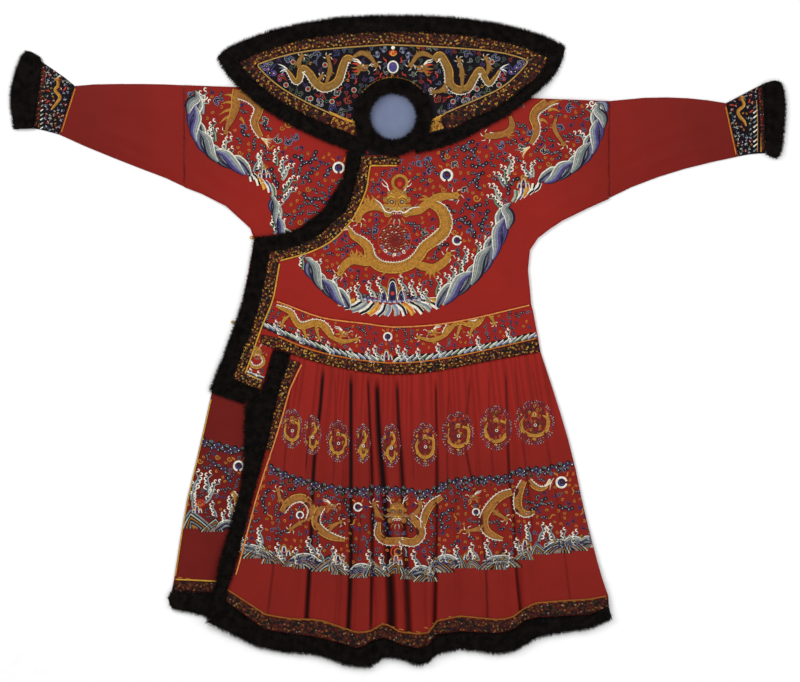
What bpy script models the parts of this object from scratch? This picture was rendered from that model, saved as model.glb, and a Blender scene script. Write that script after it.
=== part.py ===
"""Court robe of red silk with a winged cape collar and dark fur trim, laid flat on its back.

Every size below is in millimetres unless it says otherwise, and is turned into metres when a
mesh is made. X runs across the robe from sleeve to sleeve, Y runs up from the hem to the neck
and Z rises from the surface that the robe lies on. The origin is the middle of the robe's
outline on that surface.
"""
import math
from bisect import bisect_right

import bmesh
import bpy

MM = 0.001

# Driving dimensions
CLOTH = 2.0            # wall of a lined silk panel
LINING = 1.0           # pale silk lining at the back of the neck
BROCADE = 1.2          # woven border band
CORD_WIDE = 5.0        # flat gold cord couched beside the borders
CORD_HIGH = 2.0
SEAM = 0.3             # gap between pieces that meet
RIDE = 0.6             # gap under a trim that follows a curved surface
FUR = 12.0             # height of the fur pile
LAYER_BACK = 0.0       # underside of each layer, from the surface up
LAYER_UNDER = 2.3
LAYER_FRONT = 4.6
LAYER_TRIM = 6.9
CAPE_REST = 7.4        # underside of the cape where it lies on the chest
CAPE_FALL_START = 20.0  # how far past the shoulders the cape starts to sink
CAPE_FALL_END = 95.0   # and where it lies on the surface
RIDE_CAPE = 1.0        # gap under a trim on the cape's slope
RIDE_NECK = 1.4        # gap under the neck ring, whose facets cross the cape's own

SEAM_TRIM = 0.3        # and what is taken off a trim's edges where two trims lie side by side
TUBE_EDGE = 4.6        # height of a flat-lying tube at its folded edges
TUBE_ROUND = 3.5       # width of the rounding there
TUBE_WALL = 2.2        # width of the wall there
CUFF_FUR_REST = 3.2    # underside of the upper strip of a cuff's fur
CUFF_FUR_HIGH = 9.8
CUFF_FUR_UNDER = 2.9   # height of the strip under it
HEM_FUR_OVER = 2.5     # how far the hem's fur stands above its cloth

NECK = (-12.0, 551.0)  # middle of the neck opening
NECK_HOLE = 59.0       # radius inside the fur ring
NECK_CUT = 66.0        # radius cut from the panels
NECK_RING = 93.0       # radius outside the fur ring
NECK_CLEAR = 2.5       # how far the cape's fur ends outside that
NECK_CORD_GAP = 1.0
NECK_CORD_WIDE = 4.0
NECK_CORD_FROM = 35.0  # the slim cord's ends round the neck, in degrees
NECK_CORD_TO = 145.0
SHOULDER_Y = 608.6     # the shoulder fold at x = 0
SHOULDER_SLOPE = -0.0374
SEAM_LEFT = -525.0     # where the sleeves are set on
SEAM_RIGHT = 518.0
WAIST_BACK = -8.0      # seam between the back and its skirt

RED = (0.300, 0.020, 0.015)
RED_DEEP = (0.230, 0.016, 0.014)
FUR_BROWN = (0.006, 0.004, 0.003)
GOLD = (0.680, 0.330, 0.075)
WOVEN = (0.065, 0.012, 0.008)
MIDNIGHT = (0.010, 0.009, 0.016)
PALE_BLUE = (0.240, 0.300, 0.500)

# Hidden edges: the back's neckline, the under front's edge below the closing, and the corner
# of the closing front under the neck's fur
BACK_NECK = [(66, 606), (36, 626), (-12, 634), (-60, 628), (-90, 612)]
UNDER_CLOSING = [(-351, 256), (-316.5, 226), (-313, 222), (-327, 145), (-336, 104), (-20, 60),
                 (-20, 483)]
FRONT_CORNER = (-59, 505)

# The cape collar: a row for each section, round its edge from the left of the neck
CAPE_LEFT = [
    # fur outer edge, fur inner edge, gold cord
    ((-42, 457), (-40, 492), (-38, 520)),
    ((-125, 471), (-113, 504), (-104, 531)),
    ((-241, 520), (-226, 552), (-213, 577)),
    ((-322, 567), (-302, 596), (-283, 616)),
    ((-363, 599), (-340, 625), (-321, 646)),
    ((-412, 646), (-374, 659), (-338, 664)),
    ((-444, 697), (-394, 685), (-351, 679)),
]
CAPE_TOP = [
    ((-444, 697), (-394, 685), (-351, 679)),
    ((-417, 719), (-368, 698), (-328, 688)),
    ((-380, 736), (-336, 711), (-298, 698)),
    ((-307, 763), (-281, 730), (-255, 709)),
    ((-241, 778), (-226, 743), (-210, 716)),
    ((-147, 793), (-140, 756), (-133, 723)),
    ((-32, 798), (-30, 761), (-28, 730)),
    ((60, 797), (57, 760), (54, 727)),
    ((140, 793), (134, 756), (127, 723)),
    ((248, 778), (232, 743), (217, 716)),
    ((309, 763), (285, 731), (262, 709)),
    ((356, 749), (325, 718), (295, 700)),
    ((412, 722), (371, 700), (326, 689)),
]
CAPE_RIGHT = [
    ((412, 722), (371, 700), (326, 689)),
    ((388, 660), (354, 657), (303, 661)),
    ((346, 616), (322, 630), (276, 635)),
    ((304, 582), (286, 601), (244, 613)),
    ((263, 552), (246, 573), (206, 596)),
    ((201, 520), (187, 547), (158, 575)),
    ((137, 486), (124, 514), (104, 551)),
    ((71, 469), (64, 500), (50, 520)),
    ((17, 457), (14, 490), (10, 515)),
]

# The front's curved opening: a row for each section, from the neck to the underarm
OPENING = [
    # fur outer edge, fur inner edge, gold cord
    ((-123, 465), (-92, 453), (-70, 433)),
    ((-130, 412), (-101, 412), (-75, 404)),
    ((-142, 385), (-110, 373), (-80, 372)),
    ((-164, 349), (-130, 322), (-103, 318)),
    ((-187, 316), (-160, 295), (-130, 280)),
    ((-216, 295), (-193, 265), (-168, 245)),
    ((-238, 277), (-232, 243), (-215, 221)),
    ((-290, 260), (-272, 228), (-258, 208)),
    ((-351, 253), (-317, 223), (-292, 199)),
]
NECKLINE = [((5, 455), (5, 433)), ((-92, 453), (-70, 433))]

# The side closing below the underarm, down past the waist to the corner of the flap
SIDE = [
    # fur outer edge, fur inner edge, gold cord
    ((-351, 253), (-317, 223), (-292, 199)),
    ((-363, 174), (-330, 145), (-301, 145)),
    ((-378, 108), (-342, 98), (-309, 104)),
    ((-384, 86), (-349, 72), (-321, 72)),
    ((-397, 45), (-363, 22), (-337, 35)),
    ((-410, 12), (-380, -15), (-351, -5)),
    ((-427, -36), (-392, -49), (-363, -40)),
    ((-462, -123), (-410, -93), (-378, -81)),
]
FLAP_END = [((-462, -123), (-410, -93), (-378, -81)), ((-378, -152), (-338, -122), (-327, -103))]

# Curves across the waist, left to right
WAIST_TOP = [(-308, 103), (-216, 66), (-160, 52), (-74, 42), (-12, 34), (86, 39), (179, 54),
             (265, 74), (327, 89)]
WAIST_CORD = [(-333, 29), (-250, -8), (-167, -34), (-29, -54), (86, -47), (194, -27), (342, 7)]
WAIST_LOW = [(-350, -2), (-263, -32), (-167, -61), (-29, -83), (86, -76), (194, -55), (350, -27)]

WAIST_BROCADE_START = [(-336, 16), (-339, -5)]
WAIST_CORD_ENDS = [(-300, 98), (325, 88.4)]
WAIST_CORD_LOW_FROM = -326.0
FLAP_TOP_TO = -306.0
FLAP_CORNER = [(-339, -120), (-330, -103), (-306, -20)]
TRIM_END = 6.5         # how far a cord stops short where the next one turns away

# The outline of the body below the sleeves
BODY_LEFT = [(-525, 378), (-481, 361), (-422, 331), (-363, 277), (-353, 250)]
SIDE_BACK = [(-361, 199), (-371, 150), (-380, 101), (-388, 52), (-397, -8)]
BODY_RIGHT = [(518, 349), (462, 324), (403, 295), (373, 275), (344, 253), (324, 223),
              (319, 174), (324, 125), (327, 89)]
SIDE_WAIST = [(331, 76), (344, 7), (350, -27)]

# Sleeves and cuffs: a row for each section, upper edge then lower edge then height
SLEEVE_LEFT = [
    ((-525.5, 628), (-525.5, 379), 7.0), ((-570, 630), (-570, 400), 8.0),
    ((-628, 631), (-636, 425), 8.4), ((-687, 631), (-702, 451), 8.0),
    ((-746, 630), (-768, 478), 7.6), ((-793, 626), (-832, 507), 7.0),
]
SLEEVE_RIGHT = [
    ((518.5, 589), (518.5, 351), 7.4), ((604, 597), (574, 378), 8.2),
    ((660, 598), (640, 403), 8.4), ((712, 596), (705, 423), 8.2),
    ((760, 591), (770, 439), 7.6), ((805, 584), (835, 453), 7.0),
]
CUFF_LEFT = [
    ((-793.6, 626.4), (-832.6, 507.2), 6.6), ((-817, 646), (-850, 512), 6.8),
    ((-850, 669), (-873, 518), 6.8), ((-874, 685), (-894, 522), 6.6),
]
CUFF_RIGHT = [
    ((805.6, 584.2), (835.6, 453.2), 6.6), ((840, 602), (860, 458), 6.8),
    ((872, 619), (884, 460), 6.8), ((896, 631), (903, 461), 6.6),
]
CUFF_FUR_LEFT = [
    # outer edge, inner edge
    ((-884, 700), (-874.5, 687)), ((-913, 712), (-876.1, 672)), ((-933, 680), (-878.4, 653)),
    ((-941, 653), (-880.6, 635)), ((-950, 616), (-884.3, 605)), ((-950, 572), (-888, 575)),
    ((-945, 543), (-891.3, 548)), ((-944, 520), (-894.5, 522)),
]
CUFF_FUR_RIGHT = [
    ((906, 635), (896.6, 629)), ((928, 639), (897.3, 612)), ((943, 628), (898, 594)),
    ((950, 592), (899, 570)), ((950, 557), (900, 545)), ((945, 498), (901.4, 512)),
    ((938, 458), (902.6, 484)), ((925, 448), (903.5, 460)),
]

# The front skirt's edges. The fur's outer edge has a row for each section, with the share
# of the way down the cloth's own edge that it is sewn to
SKIRT_EDGE = [
    # share, x, y
    (0.0, -303.5, -21), (0.15, -324, -103), (0.20, -333, -125), (0.27, -372, -157),
    (0.41, -376, -258), (0.52, -380, -339), (0.61, -398, -412), (0.73, -417, -481),
    (0.85, -437, -543), (0.96, -447, -604), (1.05, -470, -690),
]
EDGE_BETWEEN = [0.09, 0.16, 0.20, 0.28, 0.42, 0.54, 0.66, 0.78]   # further sections of that fur
SKIRT_LEFT_LINE = [(0.0, -264), (0.17, -299), (0.27, -308), (0.39, -323), (0.49, -340),
                   (0.59, -357), (0.70, -373), (0.81, -388), (0.92, -405), (1.0, -422)]
SKIRT_RIGHT_LINE = [(0.0, 350), (0.15, 380), (0.31, 410), (0.43, 430), (0.56, 446),
                    (0.67, 460), (0.79, 479), (0.91, 498), (1.0, 517)]
EDGE_CORD_IN = [(0.0, 35), (0.10, 26), (0.22, 24), (0.42, 12), (0.75, 9), (1.0, 8)]
EDGE_TRIM_ROWS = [0.02, 0.05, 0.09, 0.13, 0.18, 0.24, 0.30, 0.36, 0.40]
EDGE_CORD_ROWS = EDGE_TRIM_ROWS[:-1] + [0.48, 0.60, 0.72, 0.84, 0.93]
EDGE_CORD_HALF = 2.0
EDGE_GAP = 0.6         # between that fur and the cloth
HEM_CORNER_FROM = -330.0   # where the hem's fur starts to climb over the edge's fur
HEM_CORNER_WIDE = 43.0
HEM_CORNER_LIFT = 9.8

# The hem: a row for each section
HEM = [
    # x, top of the brocade, edge of the cloth, outer edge of the fur as (x, y)
    (-420, -612, -640, (-470, -690)),
    (-373, -651, -682, (-407, -714)),
    (-324, -675, -709, (-344, -749)),
    (-263, -685, -717, (-270, -763)),
    (-194, -687, -727, (-194, -768)),
    (-130, -709, -744, (-130, -793)),
    (-96, -720, -756, (-96, -798)),
    (-66, -714, -736, (-66, -798)),
    (-34, -695, -727, (-34, -773)),
    (5, -717, -744, (5, -778)),
    (49, -722, -754, (49, -795)),
    (74, -719, -746, (74, -786)),
    (96, -690, -719, (96, -766)),
    (152, -678, -712, (152, -754)),
    (245, -687, -717, (245, -766)),
    (280, -682, -709, (280, -761)),
    (309, -660, -687, (309, -746)),
    (339, -646, -678, (339, -727)),
    (398, -641, -675, (398, -714)),
    (486, -636, -670, (486, -702)),
    (517, -628, -652, (525, -680)),
]

# The front skirt's pleats: a row for each fold line, left to right
FOLDS = [
    # x at the waist, x at the hem, depth at the waist, depth at the middle, depth at the hem
    (-208, -318, 1.5, 3.0, 3.0),
    (-186, -262, 2.0, 7.5, 4.0),
    (-166, -216, 2.0, 5.0, 4.0),
    (-120, -152, 2.0, 9.0, 7.0),
    (-98, -112, 1.8, 5.0, 7.0),
    (-78, -58, 2.5, 7.0, 8.0),
    (-54, -17, 2.5, 9.0, 9.0),
    (-12, 27, 2.0, 7.0, 4.0),
    (30, 60, 1.5, 3.0, 3.0),
    (92, 88, 2.0, 6.0, 9.0),
    (126, 150, 2.0, 6.0, 4.0),
    (174, 215, 2.5, 7.0, 4.0),
    (218, 262, 1.5, 3.5, 3.5),
    (264, 306, 2.0, 6.5, 7.0),
    (288, 346, 2.0, 5.0, 3.0),
    (322, 420, 1.5, 3.0, 3.0),
]
FOLD_HALF_WAIST = 5.0   # half the width of a fold's groove
FOLD_HALF_HEM = 8.0
SKIRT_ROWS = [0.0, 0.05, 0.13, 0.24, 0.36, 0.48, 0.60, 0.72, 0.84, 0.93, 1.0]
PLEAT_GROWTH = [(0.0, 0.5), (0.12, 0.8), (0.35, 1.0), (1.0, 1.0)]
HEM_LIFT = 5.8          # how far the front hem climbs over the back hem's fur
FUR_LIFT = 7.5          # and how far the fur on its edge climbs
HEM_LIFT_FROM = -480.0
HEM_LIFT_TO = -575.0

# The back skirt's outline, which shows beside the front skirt
BACK_LEFT = [(-402, -9), (-426, -60), (-455, -122), (-457, -126), (-489, -268), (-518, -390),
             (-535, -489), (-550, -587), (-556, -615)]
BACK_RIGHT = [(495, -587), (474, -513), (454, -439), (440, -366), (424, -292), (403, -218),
              (373, -120), (344, -27), (341, -9)]
BACK_HEM = [
    # edge of the cloth, outer edge of the fur, height of the fur
    ((-556, -616), (-565, -638), 11.0), ((-530, -617), (-552, -657), 11.5),
    ((-497, -618), (-511, -665), 11.0), ((-470, -619), (-471, -675), 8.0),
    ((-400, -622), (-400, -676), 7.0), ((-200, -634), (-200, -686), 7.0),
    ((0, -642), (0, -692), 7.0), ((200, -634), (200, -680), 7.0),
    ((330, -608), (330, -660), 7.0), ((440, -596), (440, -650), 7.0),
    ((494, -588), (497, -636), 7.0),
]
BACK_BROCADE = [((-549, -588), (-555, -614.5)), ((-500, -590), (-504, -616)),
                ((-424, -594), (-424, -618))]
BACK_CORD_IN = 3.0
BACK_CORD_WIDE = 4.0
PIPING_WIDE = 3.6
PIPING_IN = 2.2
PIPING_ENDS = [(-458, -140), (-547, -580)]

# The buttons: where each is sewn on and which way it points, then its profile along the shank
BUTTONS = [("upper", (-352.2, 249.2), (-365, 258)), ("lower", (-396.2, 47.2), (-410, 46))]
BUTTON_PROFILE = [(0.0, 1.1), (4.5, 1.1), (5.5, 3.2), (9.0, 4.3), (12.5, 3.2), (13.6, 1.2)]
BUTTON_SIDES = 10
BUTTON_HIGH = 4.4      # height of its axis


def clear_scene():
    """Remove every object so that the script starts from nothing."""
    for item in list(bpy.data.objects):
        bpy.data.objects.remove(item, do_unlink=True)


def clamp(value, low=0.0, high=1.0):
    """Keep a value between two limits."""
    return max(low, min(high, value))


def ease(value):
    """A smooth step from 0 to 1."""
    value = clamp(value)
    return value * value * (3.0 - 2.0 * value)


def read(table, key):
    """Read a value between the rows of a two-column table."""
    keys = [row[0] for row in table]
    place = clamp(bisect_right(keys, key), 1, len(table) - 1)
    low, high = table[place - 1], table[place]
    share = clamp((key - low[0]) / (high[0] - low[0]))
    return low[1] + share * (high[1] - low[1])


def mix(first, second, share):
    """A point part of the way between two points."""
    return tuple(a + share * (b - a) for a, b in zip(first, second))


def smooth(points, steps):
    """Run a smooth curve through the points, with some steps between each two."""
    line = []
    last = len(points) - 1
    for place in range(last):
        before = points[max(place - 1, 0)]
        start, end = points[place], points[place + 1]
        after = points[min(place + 2, last)]
        for step in range(steps):
            t = step / steps
            line.append(tuple(
                0.5 * (2 * b + (c - a) * t + (2 * a - 5 * b + 4 * c - d) * t * t
                       + (3 * b - a - 3 * c + d) * t ** 3)
                for a, b, c, d in zip(before, start, end, after)))
    line.append(tuple(points[last]))
    return line


def column(table, place):
    """One column of points of a table."""
    return [row[place] for row in table]


def smooth_rows(table, steps):
    """Smooth the columns of points of a table together, so that they stay matched."""
    flat = smooth([tuple(value for point in row for value in point) for row in table], steps)
    return [[(row[place], row[place + 1]) for row in flat] for place in range(0, len(flat[0]), 2)]


def neck_arc(radius, start, end, count):
    """Points on a circle round the neck, by angle in degrees."""
    points = []
    for step in range(count + 1):
        angle = math.radians(start + (end - start) * step / count)
        points.append((NECK[0] + radius * math.cos(angle), NECK[1] + radius * math.sin(angle)))
    return points


def shoulder_line(x):
    """The shoulder fold's height on the page at a place across the robe."""
    return SHOULDER_Y + SHOULDER_SLOPE * x


def cape_base(x, y):
    """Underside of the cape: on the chest, then down to the surface past the shoulders."""
    beyond = y - shoulder_line(x)
    fall = ease((beyond - CAPE_FALL_START) / (CAPE_FALL_END - CAPE_FALL_START))
    return CAPE_REST * (1.0 - fall)


def finish(name, colour, roughness, metallic=0.0):
    """A plain material in the piece's own colour."""
    material = bpy.data.materials.new(name)
    material.use_nodes = True
    shader = material.node_tree.nodes["Principled BSDF"]
    shader.inputs["Base Color"].default_value = (*colour, 1.0)
    shader.inputs["Roughness"].default_value = roughness
    shader.inputs["Metallic"].default_value = metallic
    material.diffuse_color = (*colour, 1.0)
    return material


def add_object(name, data, colour, roughness, metallic=0.0):
    """Put a mesh or curve in the robe's collection with its own material."""
    data.materials.append(finish(name + "_finish", colour, roughness, metallic))
    item = bpy.data.objects.new(name, data)
    ROBE.objects.link(item)
    return item


def add_mesh(name, points, faces, colour, roughness, metallic=0.0):
    """Make a closed mesh from points in millimetres, with its faces turned outwards."""
    data = bpy.data.meshes.new(name)
    data.from_pydata([(x * MM, y * MM, z * MM) for x, y, z in points], [], faces)
    shape = bmesh.new()
    shape.from_mesh(data)
    bmesh.ops.recalc_face_normals(shape, faces=shape.faces)
    if shape.calc_volume(signed=True) < 0.0:
        bmesh.ops.reverse_faces(shape, faces=shape.faces)
    shape.to_mesh(data)
    shape.free()
    return add_object(name, data, colour, roughness, metallic)


def flat_panel(name, outline, bottom, thick, colour, roughness):
    """A flat piece of cloth cut to an outline."""
    curve = bpy.data.curves.new(name, "CURVE")
    curve.dimensions = "2D"
    curve.fill_mode = "BOTH"
    curve.extrude = 0.5 * thick * MM
    line = curve.splines.new("POLY")
    line.points.add(len(outline) - 1)
    for place, (x, y) in enumerate(outline):
        line.points[place].co = (x * MM, y * MM, 0.0, 1.0)
    line.use_cyclic_u = True
    item = add_object(name, curve, colour, roughness)
    item.location.z = (bottom + 0.5 * thick) * MM
    return item


def loft(name, rings, colour, roughness, metallic=0.0, closed=False):
    """Join rings of points into one closed body, with an end face at each end."""
    size = len(rings[0])
    points = [point for ring in rings for point in ring]
    faces = []
    spans = len(rings) if closed else len(rings) - 1
    for span in range(spans):
        first = span * size
        second = ((span + 1) % len(rings)) * size
        for place in range(size):
            after = (place + 1) % size
            faces.append((first + place, first + after, second + after, second + place))
    if not closed:
        faces.append(tuple(range(size)))
        faces.append(tuple(range(len(points) - size, len(points))))
    return add_mesh(name, points, faces, colour, roughness, metallic)


FUR_SHAPE = [(0.0, 0.0), (0.08, 0.66), (0.38, 1.0), (0.76, 0.95), (1.0, 0.62), (1.0, 0.0)]
BAND_SHAPE = [(0.0, 0.0), (0.0, 1.0), (1.0, 1.0), (1.0, 0.0)]
CORD_SHAPE = [(0.0, 0.0), (0.2, 1.0), (0.8, 1.0), (1.0, 0.0)]


def strip_ring(outer, inner, base_outer, base_inner, high, shape):
    """One section of a trim between its two edges."""
    ring = []
    for across, up in shape:
        x, y = mix(outer, inner, across)
        ring.append((x, y, base_outer + across * (base_inner - base_outer) + up * high))
    return ring


def strip(name, outer, inner, base, high, shape, colour, roughness, metallic=0.0, closed=False):
    """A trim lofted between two matched edge lines.

    base is a height or a function of the place, and high is a height or a list of them.
    """
    rings = []
    for place, (out_point, in_point) in enumerate(zip(outer, inner)):
        if callable(base):
            base_outer, base_inner = base(*out_point), base(*in_point)
        else:
            base_outer = base_inner = base
        tall = high[place] if isinstance(high, list) else high
        rings.append(strip_ring(out_point, in_point, base_outer, base_inner, tall, shape))
    return loft(name, rings, colour, roughness, metallic, closed)


def beside(line, width):
    """The two edges of a band of some width along a line."""
    left, right = [], []
    for place, point in enumerate(line):
        before = line[max(place - 1, 0)]
        after = line[min(place + 1, len(line) - 1)]
        length = math.dist(before, after)
        across = ((after[1] - before[1]) / length, (before[0] - after[0]) / length)
        left.append((point[0] - 0.5 * width * across[0], point[1] - 0.5 * width * across[1]))
        right.append((point[0] + 0.5 * width * across[0], point[1] + 0.5 * width * across[1]))
    return left, right


def fur_strip(name, outer, inner, base, high=FUR, closed=False):
    """A strip of fur between two edges."""
    return strip(name, outer, inner, base, high, FUR_SHAPE, FUR_BROWN, 0.9, closed=closed)


def brocade_strip(name, outer, inner, base):
    """A woven border between two edges."""
    return strip(name, outer, inner, base, BROCADE, BAND_SHAPE, WOVEN, 0.6)


def cord_strip(name, line, base, width=CORD_WIDE):
    """A couched gold cord along a line."""
    left, right = beside(line, width)
    return strip(name, left, right, base, CORD_HIGH, CORD_SHAPE, GOLD, 0.45, 0.2)


def tighten(outer, inner, gap):
    """Take a gap off both edges of a strip, so that it stays clear of its neighbours."""
    new_outer, new_inner = [], []
    for out_point, in_point in zip(outer, inner):
        share = gap / math.dist(out_point, in_point)
        new_outer.append(mix(out_point, in_point, share))
        new_inner.append(mix(in_point, out_point, share))
    return new_outer, new_inner


def shorten(outer, inner, gap, ends=(True, True)):
    """Take a gap off one or both ends of a strip."""
    outer, inner = list(outer), list(inner)
    for end, used in zip((0, -1), ends):
        if used:
            step = 1 if end == 0 else -2
            for edge in (outer, inner):
                edge[end] = mix(edge[end], edge[step], gap / math.dist(edge[end], edge[step]))
    return outer, inner


def tube_top(row, across):
    """A point on the upper side of a flattened tube, from its upper edge to its lower edge."""
    upper, lower, high = row
    x, y = mix(upper, lower, across)
    z = TUBE_EDGE + (high - TUBE_EDGE) * (1.0 - abs(2.0 * across - 1.0) ** 2.5)
    return (x, y, z)


def tube_rings(row):
    """The outer and inner section of a flattened tube of cloth."""
    upper, lower, high = row
    width = math.dist(upper, lower)
    edge = TUBE_EDGE
    round_in = TUBE_ROUND / width
    wall_in = TUBE_WALL / width
    across = [0.1, 0.3, 0.5, 0.7, 0.9]
    outer = [(0.0, 1.0), (0.0, edge - 1.0), (round_in, edge)]
    outer += [(share, tube_top(row, share)[2]) for share in across]
    outer += [(1.0 - round_in, edge), (1.0, edge - 1.0), (1.0, 1.0)]
    outer += [(1.0 - round_in, 0.0), (0.5, 0.0), (round_in, 0.0)]
    inner = [(wall_in, CLOTH + 0.15), (wall_in, CLOTH + 0.45), (wall_in + round_in, CLOTH + 0.6)]
    inner += [(share, tube_top(row, share)[2] - CLOTH) for share in across]
    inner += [(1 - wall_in - round_in, CLOTH + 0.6), (1 - wall_in, CLOTH + 0.45),
              (1 - wall_in, CLOTH + 0.15), (1 - wall_in - round_in, CLOTH), (0.5, CLOTH),
              (wall_in + round_in, CLOTH)]
    return tuple([(*mix(upper, lower, share), z) for share, z in ring] for ring in (outer, inner))


def cloth_tube(name, rows, steps, colour, roughness):
    """A sleeve or cuff: a tube of cloth lying flat, open at both ends."""
    flat = [(*upper, *lower, high) for upper, lower, high in rows]
    fine = [((a, b), (c, d), high) for a, b, c, d, high in smooth(flat, steps)]
    outers, inners = zip(*[tube_rings(row) for row in fine])
    size = len(outers[0])
    points = [point for ring in outers for point in ring]
    inside = len(points)
    points += [point for ring in inners for point in ring]
    faces = []
    for span in range(len(fine) - 1):
        for place in range(size):
            after = (place + 1) % size
            low, high = span * size, (span + 1) * size
            faces.append((low + place, low + after, high + after, high + place))
            faces.append((inside + low + after, inside + low + place,
                          inside + high + place, inside + high + after))
    for start in (0, (len(fine) - 1) * size):
        for place in range(size):
            after = (place + 1) % size
            faces.append((start + place, start + after,
                          inside + start + after, inside + start + place))
    add_mesh(name, points, faces, colour, roughness)
    return fine


def side_edge(top, bottom):
    """The edge of the cloth beside the side's fur, between two heights on the page."""
    line = smooth(column(SIDE, 1), 2)
    across = [(-y, x) for x, y in line]
    inside = [(x + 0.5, y) for x, y in line if bottom < y < top]
    return ([(read(across, -top) + 0.5, top)] + inside + [(read(across, -bottom) + 0.5, bottom)])


def add_body():
    """The back, the front that lies under, the front that closes over it and the neck lining."""
    shoulders = [(SEAM_LEFT, shoulder_line(SEAM_LEFT)), (SEAM_RIGHT, shoulder_line(SEAM_RIGHT))]
    back = shoulders[:1] + BODY_LEFT + SIDE_BACK + [(BACK_RIGHT[-1][0], WAIST_BACK)]
    back += SIDE_WAIST[1::-1] + BODY_RIGHT[::-1] + shoulders[1:] + BACK_NECK
    flat_panel("back_body", back, LAYER_BACK, CLOTH, RED_DEEP, 0.5)

    under = shoulders[:1] + BODY_LEFT[:-1] + UNDER_CLOSING
    under += neck_arc(NECK_CUT + 2, 263, 119, 10)
    flat_panel("front_under", under, LAYER_UNDER, CLOTH, RED, 0.5)

    edge = smooth(column(OPENING, 1), 2)
    waist = smooth(WAIST_TOP, 2)
    start = waist[0][1] + 0.5
    front = [FRONT_CORNER]
    front += [(x + 0.5, y - 0.4) for x, y in edge[:-1]]
    front += side_edge(edge[-1][1] - 0.4, start) + [(waist[0][0], start)]
    front += [(x, y + SEAM) for x, y in waist[1:]]
    front += BODY_RIGHT[-2::-1] + shoulders[1:] + [(60, shoulder_line(60))]
    front += neck_arc(NECK_CUT, 48, -130, 14)
    flat_panel("front_main", front, LAYER_FRONT, CLOTH, RED, 0.5)

    bpy.ops.mesh.primitive_cylinder_add(
        vertices=40, radius=(NECK_CUT - 2) * MM, depth=LINING * MM,
        location=(NECK[0] * MM, NECK[1] * MM, (LAYER_UNDER + 0.5 * LINING) * MM))
    lining = bpy.context.active_object
    lining.name = "neck_lining"
    lining.data.materials.append(finish("neck_lining_finish", PALE_BLUE, 0.35))
    for owner in list(lining.users_collection):
        owner.objects.unlink(lining)
    ROBE.objects.link(lining)


def add_sleeves():
    """Each sleeve with its horse-hoof cuff, gold seam cord, band and fur."""
    sides = (("left", SLEEVE_LEFT, CUFF_LEFT, CUFF_FUR_LEFT),
             ("right", SLEEVE_RIGHT, CUFF_RIGHT, CUFF_FUR_RIGHT))
    across = [0.03, 0.1, 0.2, 0.3, 0.4, 0.5, 0.6, 0.7, 0.8, 0.9, 0.97]
    for side, sleeve_rows, cuff_rows, fur_rows in sides:
        sleeve = cloth_tube(f"sleeve_{side}", sleeve_rows, 1, RED, 0.5)
        cuff = cloth_tube(f"cuff_{side}", cuff_rows, 1, MIDNIGHT, 0.55)
        trims = (("seam_cord", sleeve[-2], sleeve[-1], 0.90, 0.99, CORD_HIGH, CORD_SHAPE, GOLD),
                 ("band", cuff[-2], cuff[-1], 0.50, 0.97, BROCADE, BAND_SHAPE, GOLD))
        for word, first, last, start, end, high, shape, colour in trims:
            rings = []
            for share in across:
                near, far = tube_top(first, share), tube_top(last, share)
                low, top = mix(near, far, start), mix(near, far, end)
                rings.append(strip_ring(low[:2], top[:2], low[2] + RIDE, top[2] + RIDE,
                                        high, shape))
            loft(f"cuff_{word}_{side}", rings, colour, 0.5, 0.2)
        outer = smooth(column(fur_rows, 0), 2)
        inner = smooth(column(fur_rows, 1), 2)
        fur_strip(f"cuff_fur_{side}", outer, inner, CUFF_FUR_REST, CUFF_FUR_HIGH)
        strip(f"cuff_fur_under_{side}", outer, inner, LAYER_BACK, CUFF_FUR_UNDER, BAND_SHAPE,
              FUR_BROWN, 0.9)


def outside_neck(point, radius):
    """Push a point out to a circle round the neck if it lies inside."""
    away = math.dist(point, NECK)
    if away >= radius:
        return point
    return mix(NECK, point, radius / away)


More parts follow.
